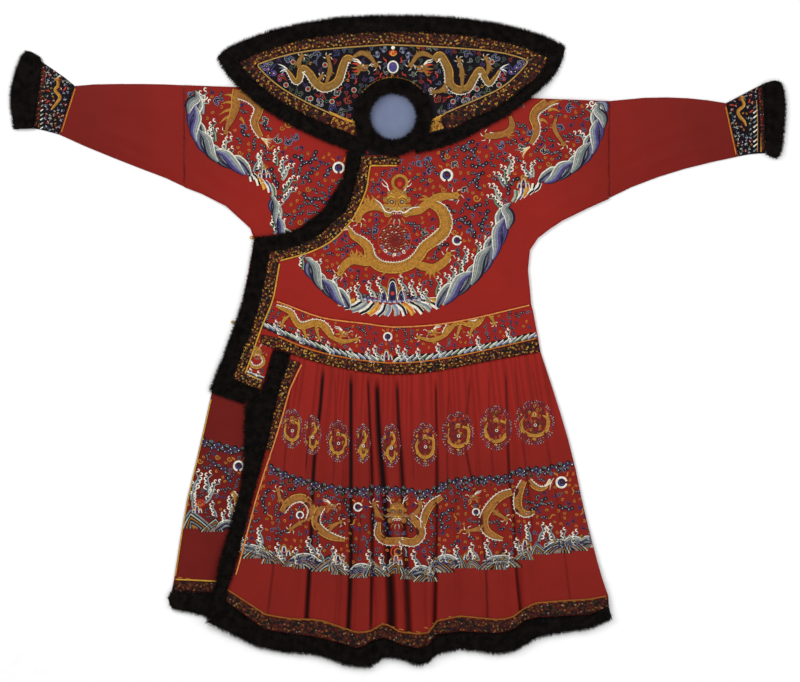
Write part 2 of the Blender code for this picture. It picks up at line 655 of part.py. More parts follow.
def add_cape():
    """The winged cape collar: its panel, border, cord and fur, and the fur ring at the neck."""
    left, right = smooth_rows(CAPE_LEFT, 2), smooth_rows(CAPE_RIGHT, 2)
    top = smooth_rows(CAPE_TOP, 1)
    outer, fur_in, cord_at = (left[place][:-1] + top[place][:-1] + right[place]
                              for place in range(3))
    tip_left = len(left[0]) - 1
    tip_right = tip_left + len(top[0]) - 1
    inner = [outside_neck(point, NECK_RING + NECK_CLEAR) for point in fur_in]
    parts = (("left", 1, tip_left), ("top", tip_left, tip_right),
             ("right", tip_right, len(outer) - 2))
    for word, start, end in parts:
        edge_out, edge_in = outer[start:end + 1], inner[start:end + 1]
        edge_out, edge_in = shorten(edge_out, edge_in, SEAM)
        fur_strip(f"cape_fur_{word}", edge_out, edge_in, cape_base)

    cloth = [mix(point, NECK, 1.5 / math.dist(point, NECK)) for point in fur_in]
    rays = [outside_neck(point, NECK_RING - 2) for point in cloth]
    shares = [0.0, 0.1, 0.22, 0.36, 0.52, 0.68, 0.84, 1.0]
    points, faces = [], []
    for height in (0.0, CLOTH):
        for ray in rays:
            near = mix(NECK, ray, (NECK_CUT - 2) / math.dist(ray, NECK))
            for share in shares:
                x, y = mix(near, ray, share)
                points.append((x, y, cape_base(x, y) + height))
    size, count = len(shares), len(rays)
    top = count * size
    for place in range(count):
        after = (place + 1) % count
        for ring in range(size - 1):
            low, high = place * size + ring, after * size + ring
            faces.append((low, low + 1, high + 1, high))
            faces.append((top + low, top + high, top + high + 1, top + low + 1))
        for ring in (0, size - 1):
            low, high = place * size + ring, after * size + ring
            faces.append((low, high, top + high, top + low))
    add_mesh("cape_panel", points, faces, MIDNIGHT, 0.55)

    def on_cape(x, y):
        """Underside of a trim that lies on the cape."""
        return cape_base(x, y) + CLOTH + RIDE_CAPE

    def on_cape_neck(x, y):
        """Underside of the trims round the neck."""
        return cape_base(x, y) + CLOTH + RIDE_NECK

    outside = [place for place, point in enumerate(cord_at)
               if math.dist(point, NECK) > NECK_RING + 8]
    run = range(min(outside), max(outside) + 1)
    band_out, band_in = tighten([fur_in[place] for place in run],
                                [cord_at[place] for place in run], 0.5)
    brocade_strip("cape_brocade", band_out, band_in, on_cape)
    cord_out = [cord_at[place] for place in run]
    cord_in = inset_line(cord_out[::-1], CORD_WIDE)[::-1]
    strip("cape_cord", cord_out, cord_in, on_cape, CORD_HIGH, CORD_SHAPE, GOLD, 0.45, 0.2)

    ring_out = neck_arc(NECK_RING, 0, 350, 35)
    ring_in = neck_arc(NECK_HOLE, 0, 350, 35)
    fur_strip("neck_fur", ring_out, ring_in, on_cape_neck, FUR, closed=True)
    near = NECK_RING + NECK_CORD_GAP
    arc_out, arc_in = (neck_arc(radius, NECK_CORD_FROM, NECK_CORD_TO, 14)
                       for radius in (near + NECK_CORD_WIDE, near))
    strip("neck_cord", arc_out, arc_in, on_cape_neck, 1.5, CORD_SHAPE, GOLD, 0.45, 0.2)


def add_closing():
    """The fur, border and cord along the curved opening, down the side and round the flap."""
    fur_out, fur_in, cord = (smooth(column(OPENING, place), 2) for place in range(3))
    edges = shorten(*tighten(fur_out, fur_in, 0.5 * SEAM), SEAM, (False, True))
    fur_strip("opening_fur", *edges, LAYER_FRONT)
    neck_out, neck_in = column(NECKLINE, 0), column(NECKLINE, 1)
    edges = tighten(neck_out[:1] + fur_in, neck_in[:1] + cord, SEAM_TRIM)
    brocade_strip("opening_brocade", *shorten(*edges, SEAM, (False, True)), LAYER_TRIM)
    cord_in = inset_line(neck_in[:1] + cord, CORD_WIDE)
    strip("opening_cord", neck_in[:1] + cord, cord_in, LAYER_TRIM, CORD_HIGH, CORD_SHAPE,
          GOLD, 0.45, 0.2)

    fur_out, fur_in, cord = (smooth(column(SIDE, place), 2) for place in range(3))
    fur_strip("side_fur", *shorten(*tighten(fur_out, fur_in, 0.5 * SEAM), SEAM), LAYER_UNDER)
    brocade_strip("side_brocade", *shorten(*tighten(fur_in, cord, SEAM_TRIM), SEAM), LAYER_TRIM)
    inner = inset_line(cord, CORD_WIDE)
    strip("side_cord", *shorten(cord, inner, TRIM_END, (True, False)), LAYER_TRIM, CORD_HIGH,
          CORD_SHAPE, GOLD, 0.45, 0.2)

    fur_out, fur_in, cord = (column(FLAP_END, place) for place in range(3))
    fur_strip("flap_fur", *shorten(*tighten(fur_out, fur_in, 0.5 * SEAM), SEAM), LAYER_UNDER)
    brocade_strip("flap_brocade", *shorten(*tighten(fur_in, cord, SEAM_TRIM), SEAM), LAYER_TRIM)
    inner = inset_line(cord, CORD_WIDE)
    strip("flap_cord", *shorten(cord, inner, TRIM_END), LAYER_TRIM, CORD_HIGH, CORD_SHAPE,
          GOLD, 0.45, 0.2)
    low_line = [(x, y - 0.6) for x, y in smooth(WAIST_LOW, 2) if x < FLAP_TOP_TO]
    flap = side_edge(low_line[0][1] + 5.0, fur_in[0][1] + 0.8) + FLAP_CORNER + low_line[::-1]
    flat_panel("flap", flap, LAYER_FRONT, CLOTH, RED, 0.5)


def inset_line(line, width):
    """Move an open line to the left of its direction, mitred at its bends."""
    moved = []
    for place, point in enumerate(line):
        spans = []
        if place > 0:
            spans.append((line[place - 1], point))
        if place < len(line) - 1:
            spans.append((point, line[place + 1]))
        across = [0.0, 0.0]
        for start, end in spans:
            length = math.dist(start, end)
            across[0] -= (end[1] - start[1]) / length / len(spans)
            across[1] += (end[0] - start[0]) / length / len(spans)
        size = across[0] ** 2 + across[1] ** 2
        moved.append((point[0] + width * across[0] / size, point[1] + width * across[1] / size))
    return moved


def add_waist():
    """The waist band with its two cords and its border."""
    top, low = smooth(WAIST_TOP, 2), smooth(WAIST_LOW, 2)
    band = [(x, y - 0.5 * SEAM) for x, y in top] + SIDE_WAIST[:2] + low[::-1]
    band += side_edge(top[0][1] + 0.1, low[0][1] + 5.0)[::-1]
    flat_panel("waist_band", band, LAYER_FRONT, CLOTH, RED, 0.5)
    start, end = WAIST_CORD_ENDS
    upper = [point for point in top if start[0] < point[0] < end[0]]
    cord_strip("waist_cord_top", [start] + upper + [end], LAYER_TRIM)
    lower = [point for point in smooth(WAIST_CORD, 2) if point[0] > WAIST_CORD_LOW_FROM]
    cord_strip("waist_cord_low", lower, LAYER_TRIM)
    border_top = [(x, y - 0.5 * CORD_WIDE - 0.6) for x, y in smooth(WAIST_CORD, 2)]
    border_low = [(x, y + 0.5) for x, y in low]
    brocade_strip("waist_brocade", WAIST_BROCADE_START[:1] + border_top[1:],
                  WAIST_BROCADE_START[1:] + border_low[1:], LAYER_TRIM)


def hem_climb(y):
    """How far a place down the front skirt has climbed over the back hem, from 0 to 1."""
    return ease((HEM_LIFT_FROM - y) / (HEM_LIFT_FROM - HEM_LIFT_TO))


def skirt_base(y):
    """Underside of the front skirt's fold lines over the back skirt and its hem."""
    return LAYER_FRONT + HEM_LIFT * hem_climb(y)


def skirt_columns():
    """The front skirt's lines from waist to hem: x at both ends, depths and a mark."""
    start, end = SKIRT_LEFT_LINE[0][1], SKIRT_LEFT_LINE[-1][1]
    lines = [(start, end, 0.8, 0.8, 0.8, "edge")]
    lines.append((start + EDGE_CORD_IN[0][1], end + EDGE_CORD_IN[-1][1], 1.2, 1.2, 1.2, "cord"))
    previous = None
    for fold in FOLDS:
        waist, hem, depth_waist, depth_middle, depth_hem = fold
        depths = (depth_waist, depth_middle, depth_hem)
        if previous is not None:
            crest = [max(a, b) for a, b in zip(previous[2:], depths)]
            lines.append((0.5 * (previous[0] + waist), 0.5 * (previous[1] + hem), *crest, "crest"))
        side = [0.75 * depth for depth in depths]
        lines.append((waist - FOLD_HALF_WAIST, hem - FOLD_HALF_HEM, *side, "side"))
        lines.append((waist, hem, 0.0, 0.0, 0.0, "fold"))
        lines.append((waist + FOLD_HALF_WAIST, hem + FOLD_HALF_HEM, *side, "side"))
        previous = fold
    start, end = SKIRT_RIGHT_LINE[0][1], SKIRT_RIGHT_LINE[-1][1]
    lines.append((start - 13, end - 47, 1.5, 3.0, 3.0, "crest"))
    lines.append((start, end, 0.6, 0.6, 0.6, "edge"))
    return lines


def skirt_point(line, down, below=False):
    """A point on the underside of the front skirt.

    down runs from 0 at the waist to 1 at the top of the hem's brocade, and below takes the
    point on to the edge of the cloth.
    """
    waist_x, hem_x, depth_waist, depth_middle, depth_hem, mark = line
    low = smooth(WAIST_LOW, 2)
    moved = []
    for table in (SKIRT_LEFT_LINE, SKIRT_RIGHT_LINE):
        start, end = table[0][1], table[-1][1]
        moved.append(read(table, down) - (start + down * (end - start)))
    left, right = moved
    start, end = SKIRT_LEFT_LINE[0][1], SKIRT_RIGHT_LINE[0][1]
    share = clamp((waist_x - start) / (end - start))
    x = waist_x + down * (hem_x - waist_x) + left + share * (right - left)
    if mark == "cord":
        x = read(SKIRT_LEFT_LINE, down) + read(EDGE_CORD_IN, down)
    hem_top = read([(row[0], row[1]) for row in HEM], hem_x)
    hem_edge = read([(row[0], row[2]) for row in HEM], hem_x)
    start = read(low, waist_x) - 0.5
    y = start + down * (hem_top - start)
    if below:
        y = hem_edge
    if down < 0.5:
        depth = depth_waist + 2 * down * (depth_middle - depth_waist)
    else:
        depth = depth_middle + 2 * (down - 0.5) * (depth_hem - depth_middle)
    return (x, y, skirt_base(y) + depth * read(PLEAT_GROWTH, down))


def along(run, down):
    """A point on one line of the front skirt's grid."""
    return tuple(read(list(zip(SKIRT_ROWS, column(run, place))), down) for place in range(3))


def raised(point, height):
    """A point moved up."""
    return (point[0], point[1], point[2] + height)


def add_front_skirt():
    """The pleated front skirt with the fur, border and cord on its edge and hem."""
    lines = skirt_columns()
    grid = []
    for line in lines:
        run = [skirt_point(line, down) for down in SKIRT_ROWS]
        run.append(skirt_point(line, 1.0, below=True))
        grid.append(run)
    points, faces = [], []
    for height in (0.0, CLOTH):
        for run in grid:
            points += [raised(point, height) for point in run]
    size, count = len(grid[0]), len(grid)
    top = size * count
    for place in range(count - 1):
        for row in range(size - 1):
            low, high = place * size + row, (place + 1) * size + row
            faces.append((low, low + 1, high + 1, high))
            faces.append((top + low, top + high, top + high + 1, top + low + 1))
        for row in (0, size - 1):
            low, high = place * size + row, (place + 1) * size + row
            faces.append((low, high, top + high, top + low))
    for place in (0, count - 1):
        for row in range(size - 1):
            low = place * size + row
            faces.append((low, low + 1, top + low + 1, top + low))
    add_mesh("skirt_front", points, faces, RED, 0.5)

    rise = CLOTH + RIDE
    rings = []
    for run, line in zip(grid, lines):
        upper, lower = raised(run[-2], rise), raised(run[-1], rise)
        near = mix(upper, lower, 0.04)
        far = mix(upper, lower, 0.98)
        rings.append(strip_ring(near[:2], far[:2], near[2], far[2], BROCADE, BAND_SHAPE))
    loft("hem_brocade", rings, WOVEN, 0.6)
    rings = []
    for run in grid:
        upper, lower = raised(run[-3], rise), raised(run[-2], rise)
        length = math.dist(upper, lower)
        near = mix(lower, upper, (CORD_WIDE + 0.3) / length)
        far = mix(lower, upper, 0.3 / length)
        rings.append(strip_ring(near[:2], far[:2], near[2], far[2], CORD_HIGH, CORD_SHAPE))
    loft("hem_cord", rings, GOLD, 0.45, 0.2)

    fur_x = [(row[0], row[3][0]) for row in HEM]
    fur_y = [(row[0], row[3][1]) for row in HEM]
    rings = []
    for run in grid:
        x, y, z = run[-1]
        outer = (read(fur_x, x), read(fur_y, x))
        base = HEM_CORNER_LIFT * ease((HEM_CORNER_FROM - x) / HEM_CORNER_WIDE)
        rings.append(strip_ring(outer, (x, y - 0.5), base, base, z + CLOTH + HEM_FUR_OVER - base,
                                FUR_SHAPE))
    loft("hem_fur", rings, FUR_BROWN, 0.9)

    shares = SKIRT_ROWS + [SKIRT_EDGE[-1][0]]
    edge_x = [(share, point[0] - EDGE_GAP) for share, point in zip(shares, grid[0])]
    edge_y = [(share, point[1]) for share, point in zip(shares, grid[0])]
    fine = smooth(SKIRT_EDGE, 4)
    outer_x, outer_y = ([(row[0], row[place]) for row in fine] for place in (1, 2))
    outer, inner = [], []
    for share in sorted(shares + EDGE_BETWEEN):
        outer.append((read(outer_x, share), read(outer_y, share)))
        inner.append((read(edge_x, share), read(edge_y, share)))
    outer, inner = shorten(outer, inner, 0.9)

    def under_edge(x, y):
        """Underside of the edge's fur, over the back skirt and then over its hem."""
        return LAYER_UNDER + FUR_LIFT * hem_climb(y)

    fur_strip("skirt_edge_fur", outer, inner, under_edge)

    rings = []
    for down in EDGE_TRIM_ROWS:
        near, far = along(grid[0], down), along(grid[1], down)
        start, end = mix(near, far, 0.05), mix(near, far, 0.85)
        rings.append(strip_ring(start[:2], end[:2], start[2] + rise, end[2] + rise,
                                BROCADE, BAND_SHAPE))
    loft("skirt_edge_brocade", rings, WOVEN, 0.6)
    rings = []
    for down in EDGE_CORD_ROWS:
        x, y, z = along(grid[1], down)
        rings.append(strip_ring((x - EDGE_CORD_HALF, y), (x + EDGE_CORD_HALF, y), z + rise,
                                z + rise + 0.2, CORD_HIGH, CORD_SHAPE))
    loft("skirt_edge_cord", rings, GOLD, 0.45, 0.2)


def add_back_skirt():
    """The back skirt, which shows at the side, with its border, edge cord and hem fur."""
    cloth_edge = [(x, y + 0.5) for x, y in column(BACK_HEM, 0)]
    outline = BACK_LEFT[:-1] + cloth_edge + BACK_RIGHT
    flat_panel("skirt_back", outline, LAYER_BACK, CLOTH, RED, 0.5)
    fur_strip("back_hem_fur", column(BACK_HEM, 1), column(BACK_HEM, 0), LAYER_BACK,
              column(BACK_HEM, 2))
    upper, lower = column(BACK_BROCADE, 0), column(BACK_BROCADE, 1)
    brocade_strip("back_hem_brocade", upper, lower, LAYER_UNDER)
    above = [(x, y + BACK_CORD_IN) for x, y in upper]
    cord_strip("back_hem_cord", above, LAYER_UNDER, BACK_CORD_WIDE)
    edge = [(x + PIPING_IN, y) for x, y in smooth(BACK_LEFT[4:8], 3)]
    cord_strip("back_edge_cord", PIPING_ENDS[:1] + edge[:-1] + PIPING_ENDS[1:], LAYER_UNDER,
               PIPING_WIDE)


def add_buttons():
    """Two small ball buttons at the side closing, each on a short shank."""
    for word, root, end in BUTTONS:
        length = math.dist(root, end)
        along_x, along_y = (end[0] - root[0]) / length, (end[1] - root[1]) / length
        rings = []
        for out, radius in BUTTON_PROFILE:
            ring = []
            for step in range(BUTTON_SIDES):
                angle = 2 * math.pi * step / BUTTON_SIDES
                side = radius * math.cos(angle)
                ring.append((root[0] + out * along_x - side * along_y,
                             root[1] + out * along_y + side * along_x,
                             BUTTON_HIGH + radius * math.sin(angle)))
            rings.append(ring)
        loft(f"button_{word}", rings, GOLD, 0.4, 0.5)


clear_scene()
ROBE = bpy.data.collections.new("court_robe")
bpy.context.scene.collection.children.link(ROBE)
add_body()
add_sleeves()
add_cape()
add_closing()
add_waist()
add_front_skirt()
add_back_skirt()
add_buttons()
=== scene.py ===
"""Looks of a red silk court robe with a winged cape collar and dark fur, laid flat on its back.

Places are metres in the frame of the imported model: X across the sleeves, Y from the hem to the
neck and Z up from the surface. Embroidery is laid out in pixels of the photograph, which spot()
turns into metres, and every raised shape is then laid on the dressed cloth below it.
"""
import logging
import math
from dataclasses import dataclass, field
from enum import Enum

import bmesh
import bpy
import numpy as np
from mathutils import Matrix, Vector, noise
from mathutils.bvhtree import BVHTree
from mathutils.geometry import delaunay_2d_cdt


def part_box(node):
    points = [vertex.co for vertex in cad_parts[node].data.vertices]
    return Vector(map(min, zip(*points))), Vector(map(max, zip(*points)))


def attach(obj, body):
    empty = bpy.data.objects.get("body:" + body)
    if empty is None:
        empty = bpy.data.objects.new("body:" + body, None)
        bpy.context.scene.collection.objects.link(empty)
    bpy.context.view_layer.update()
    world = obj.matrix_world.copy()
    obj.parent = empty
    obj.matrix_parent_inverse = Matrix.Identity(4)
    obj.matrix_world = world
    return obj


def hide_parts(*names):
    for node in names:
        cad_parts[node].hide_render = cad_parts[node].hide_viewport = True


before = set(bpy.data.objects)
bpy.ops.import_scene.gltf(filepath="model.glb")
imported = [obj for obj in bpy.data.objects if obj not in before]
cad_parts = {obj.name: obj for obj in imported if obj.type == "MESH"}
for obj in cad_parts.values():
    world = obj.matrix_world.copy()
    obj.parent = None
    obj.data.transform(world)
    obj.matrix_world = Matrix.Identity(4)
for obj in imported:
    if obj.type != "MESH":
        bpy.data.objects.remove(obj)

LOG = logging.getLogger("court_robe")
MM = 0.001
SLEEVE_SPAN = 1.90
SLEEVE_SPAN_PIXELS = 774.0
PIXEL = SLEEVE_SPAN / SLEEVE_SPAN_PIXELS
PHOTO_MIDDLE = (398.0, 341.0)
PHOTO_SIZE = (800, 682)
SKY_HIGH = 0.5
BODY = "root"
FIRST_LAYER = 0.25
LAYER = 0.3

Point = tuple[float, float]
Tone = tuple[float, float, float]
Tree = bpy.types.NodeTree
Socket = bpy.types.NodeSocket
Shader = bpy.types.ShaderNode


def spot(px: float, py: float) -> Point:
    """Turn a pixel of the photograph into metres on the robe."""
    return ((px - PHOTO_MIDDLE[0]) * PIXEL, (PHOTO_MIDDLE[1] - py) * PIXEL)


def pixel(x: float, y: float) -> Point:
    """Turn metres on the robe into a pixel of the photograph."""
    return (PHOTO_MIDDLE[0] + x / PIXEL, PHOTO_MIDDLE[1] - y / PIXEL)


def spots(places: list[Point]) -> np.ndarray:
    """Turn several pixels of the photograph into metres on the robe."""
    return np.array([spot(*place) for place in places])


def mirrored(places: list[Point], middle: float) -> list[Point]:
    """Mirror pixels of the photograph about an upright line."""
    return [(2.0 * middle - x, y) for x, y in places]


def ease(value: float) -> float:
    """A smooth step from 0 to 1."""
    value = min(max(value, 0.0), 1.0)
    return value * value * (3.0 - 2.0 * value)


def lengths(line: np.ndarray) -> np.ndarray:
    """Distance along a line to each of its points."""
    steps = np.linalg.norm(np.diff(line, axis=0), axis=1)
    return np.concatenate([[0.0], np.cumsum(steps)])


def resample(line: np.ndarray, step: float, least: int = 2) -> np.ndarray:
    """Space points evenly along a line.

    Args:
        line: the points of an open line.
        step: wanted distance between points.
        least: fewest points to return.

    Returns:
        The evenly spaced points, both ends included.
    """
    along = lengths(line)
    count = max(least, int(round(along[-1] / step)) + 1)
    places = np.linspace(0.0, along[-1], count)
    return np.stack([np.interp(places, along, line[:, k]) for k in range(line.shape[1])], axis=1)


def curve(points: np.ndarray, step: float) -> np.ndarray:
    """Run a smooth curve through points.

    Args:
        points: the points that the curve passes.
        step: distance between the points returned.

    Returns:
        Evenly spaced points on the curve.
    """
    points = np.asarray(points, float)
    if len(points) < 3:
        return resample(points, step)
    padded = np.vstack([2 * points[0] - points[1], points, 2 * points[-1] - points[-2]])
    shares = np.linspace(0.0, 1.0, 9)[:-1, None]
    parts = []
    for a, b, c, d in zip(padded, padded[1:], padded[2:], padded[3:]):
        parts.append(0.5 * (2 * b + (c - a) * shares + (2 * a - 5 * b + 4 * c - d) * shares ** 2
                            + (3 * b - a - 3 * c + d) * shares ** 3))
    parts.append(points[-1:])
    return resample(np.vstack(parts), step)


def unit(ways: np.ndarray) -> np.ndarray:
    """Scale each row to a length of one."""
    return ways / np.maximum(np.linalg.norm(ways, axis=1, keepdims=True), 1e-9)


def across(line: np.ndarray) -> np.ndarray:
    """Unit vectors to the left of a line's direction at each point."""
    ahead = unit(np.gradient(line, axis=0))
    return np.stack([-ahead[:, 1], ahead[:, 0]], axis=1)


def drawn_in(places: np.ndarray, middle: np.ndarray, inset: float) -> np.ndarray:
    """Draw places in towards a middle, so that rays at them don't slip past a rim."""
    return places + inset * (middle - places) / np.linalg.norm(middle - places, axis=1)[:, None]


def inside(points: np.ndarray, loops: list[np.ndarray]) -> np.ndarray:
    """Say which points lie within an outline and outside its holes.

    Args:
        points: the points to test.
        loops: the outline and its holes.

    Returns:
        Whether each point lies inside.
    """
    found = np.zeros(len(points), bool)
    for loop in loops:
        after = np.roll(loop, -1, axis=0)
        for (x0, y0), (x1, y1) in zip(loop, after):
            if y0 == y1:
                continue
            spans = (points[:, 1] < y0) != (points[:, 1] < y1)
            cross = x0 + (points[:, 1] - y0) / (y1 - y0) * (x1 - x0)
            found ^= spans & (points[:, 0] < cross)
    return found


def flat_size(loop: np.ndarray) -> tuple[float, float, float]:
    """Length, width and area of an outline laid flat.

    Args:
        loop: the closed outline.

    Returns:
        The length, width and area.
    """
    after = np.roll(loop, -1, axis=0)
    area = abs(float((loop[:, 0] * after[:, 1] - loop[:, 1] * after[:, 0]).sum())) / 2
    size = loop.max(axis=0) - loop.min(axis=0)
    return float(size[0]), float(size[1]), area


class NodeShape:
    """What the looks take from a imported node: its outline from above and its heights."""

    def __init__(self, name: str) -> None:
        """Read a node of the frame.

        Args:
            name: the node's name.
        """
        self.name = name
        shape = bmesh.new()
        shape.from_mesh(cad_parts[name].data)
        bmesh.ops.remove_doubles(shape, verts=shape.verts, dist=1e-6)
        self.tree = BVHTree.FromBMesh(shape)
        self.low, self.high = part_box(name)
        self.loops = self._outline(shape)
        shape.free()

    def _outline(self, shape: bmesh.types.BMesh) -> list[np.ndarray]:
        """Follow the edges round the faces that look up, widest outline first.

        Args:
            shape: the node's mesh.

        Returns:
            The outlines.
        """
        shape.faces.index_update()
        shape.verts.index_update()
        shape.normal_update()
        upper = {face.index for face in shape.faces if face.normal.z > 0.12}
        links: dict[int, list[int]] = {}
        places = {}
        for edge in shape.edges:
            if sum(face.index in upper for face in edge.link_faces) != 1:
                continue
            a, b = edge.verts
            places[a.index], places[b.index] = a.co.xy, b.co.xy
            links.setdefault(a.index, []).append(b.index)
            links.setdefault(b.index, []).append(a.index)
        loops = []
        while links:
            start = next(iter(links))
            walk, here = [start], start
            while links.get(here):
                after = links[here].pop()
                links[after].remove(here)
                here = after
                walk.append(here)
            links = {key: ends for key, ends in links.items() if ends}
            if len(walk) > 4:
                loops.append(np.array([places[key] for key in walk[:-1]]))
        loops.sort(key=lambda loop: -flat_size(loop)[2])
        return loops

    def _height(self, x: float, y: float, side: int, near: float) -> float:
        """Height that a ray from above (side 1) or below (-1) meets, or the nearest one.

        Args:
            x: place across the robe, in metres.
            y: place along the robe, in metres.
            side: 1 for a ray from above or -1 from below.
            near: height to look near where the ray misses.

        Returns:
            The height.
        """
        hit = self.tree.ray_cast(Vector((x, y, side * SKY_HIGH)), Vector((0, 0, -side)))
        if hit[0] is None:
            hit = self.tree.find_nearest(Vector((x, y, near)))
        return hit[0].z

    def top(self, x: float, y: float) -> float:
        """Height of the node's upper side at a place."""
        return self._height(x, y, 1, self.high.z)

    def bottom(self, x: float, y: float) -> float:
        """Height of the node's underside at a place."""
        return self._height(x, y, -1, self.low.z)

    def edges(self, step: float) -> tuple[np.ndarray, np.ndarray, bool]:
        """Split a narrow piece's outline into its two long edges, matched place by place.

        Args:
            step: distance between the places along the piece.

        Returns:
            The two edges and whether they close on themselves.
        """
        if len(self.loops) > 1 and flat_size(self.loops[1])[2] > 0.2 * flat_size(self.loops[0])[2]:
            return (*self._ring_edges(step), True)
        loop = self.loops[0]
        closed = np.vstack([loop, loop[:1]])
        count = 2 * max(24, int(lengths(closed)[-1] / step / 2))
        even = resample(closed, lengths(closed)[-1] / count, count + 1)[:count]
        half = count // 2
        offsets = np.arange(1, half)
        best = min(range(half), key=lambda start: np.linalg.norm(
            even[(start + offsets) % count] - even[(start - offsets) % count], axis=1).sum())
        return even[(best + offsets) % count], even[(best - offsets) % count], False

    def _ring_edges(self, step: float) -> tuple[np.ndarray, np.ndarray]:
        """Match a ring's outer and inner edge by angle.

        Args:
            step: distance between the places along the ring.

        Returns:
            The outer and the inner edge.
        """
        middle = self.loops[1].mean(axis=0)
        count = max(24, int(lengths(self.loops[0])[-1] / step))
        angles = np.linspace(0.0, 2 * math.pi, count, endpoint=False)
        matched = []
        for loop in self.loops[:2]:
            away = loop - middle
            turn = np.arctan2(away[:, 1], away[:, 0]) % (2 * math.pi)
            order = np.argsort(turn)
            size = np.interp(angles, turn[order], np.linalg.norm(away, axis=1)[order],
                             period=2 * math.pi)
            matched.append(middle + size[:, None] * np.stack([np.cos(angles), np.sin(angles)], 1))
        return matched[0], matched[1]


def surface_tree(items: list[bpy.types.Object]) -> BVHTree:
    """Gather the faces of several meshes for ray casts.

    Args:
        items: the meshes.

    Returns:
        The tree of their faces.
    """
    points: list = []
    faces: list = []
    for item in items:
        start = len(points)
        points += [vertex.co.copy() for vertex in item.data.vertices]
        faces += [[start + k for k in face.vertices] for face in item.data.polygons]
    return BVHTree.FromPolygons(points, faces)


def make_object(name: str, points: np.ndarray, faces: list, materials: list,
                slots: list[int] | None = None) -> bpy.types.Object:
    """Make a smooth mesh object that rides on the robe.

    Args:
        name: name of the piece.
        points: its points, in metres.
        faces: lists of point numbers.
        materials: its finishes.
        slots: which finish each face has.

    Returns:
        The new object.
    """
    data = bpy.data.meshes.new(name)
    data.from_pydata(np.asarray(points).tolist(), [], faces)
    for material in materials:
        data.materials.append(material)
    if slots is not None:
        data.polygons.foreach_set("material_index", slots)
    data.polygons.foreach_set("use_smooth", [True] * len(data.polygons))
    item = bpy.data.objects.new(name, data)
    bpy.context.scene.collection.objects.link(item)
    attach(item, BODY)
    return item


def set_inputs(node: bpy.types.Node, values: dict) -> None:
    """Set a node's inputs by name."""
    for word, value in values.items():
        node.inputs[word].default_value = value


def noise_mask(tree: Tree, values: dict[str, float]) -> Socket:
    """Add a noise texture over the object's own coordinates.

    Args:
        tree: the material's node tree.
        values: the texture's inputs by name.

    Returns:
        The mask's socket.
    """
    place = tree.nodes.new("ShaderNodeTexCoord").outputs["Object"]
    node = tree.nodes.new("ShaderNodeTexNoise")
    set_inputs(node, values)
    tree.links.new(place, node.inputs["Vector"])
    return node.outputs["Fac"]


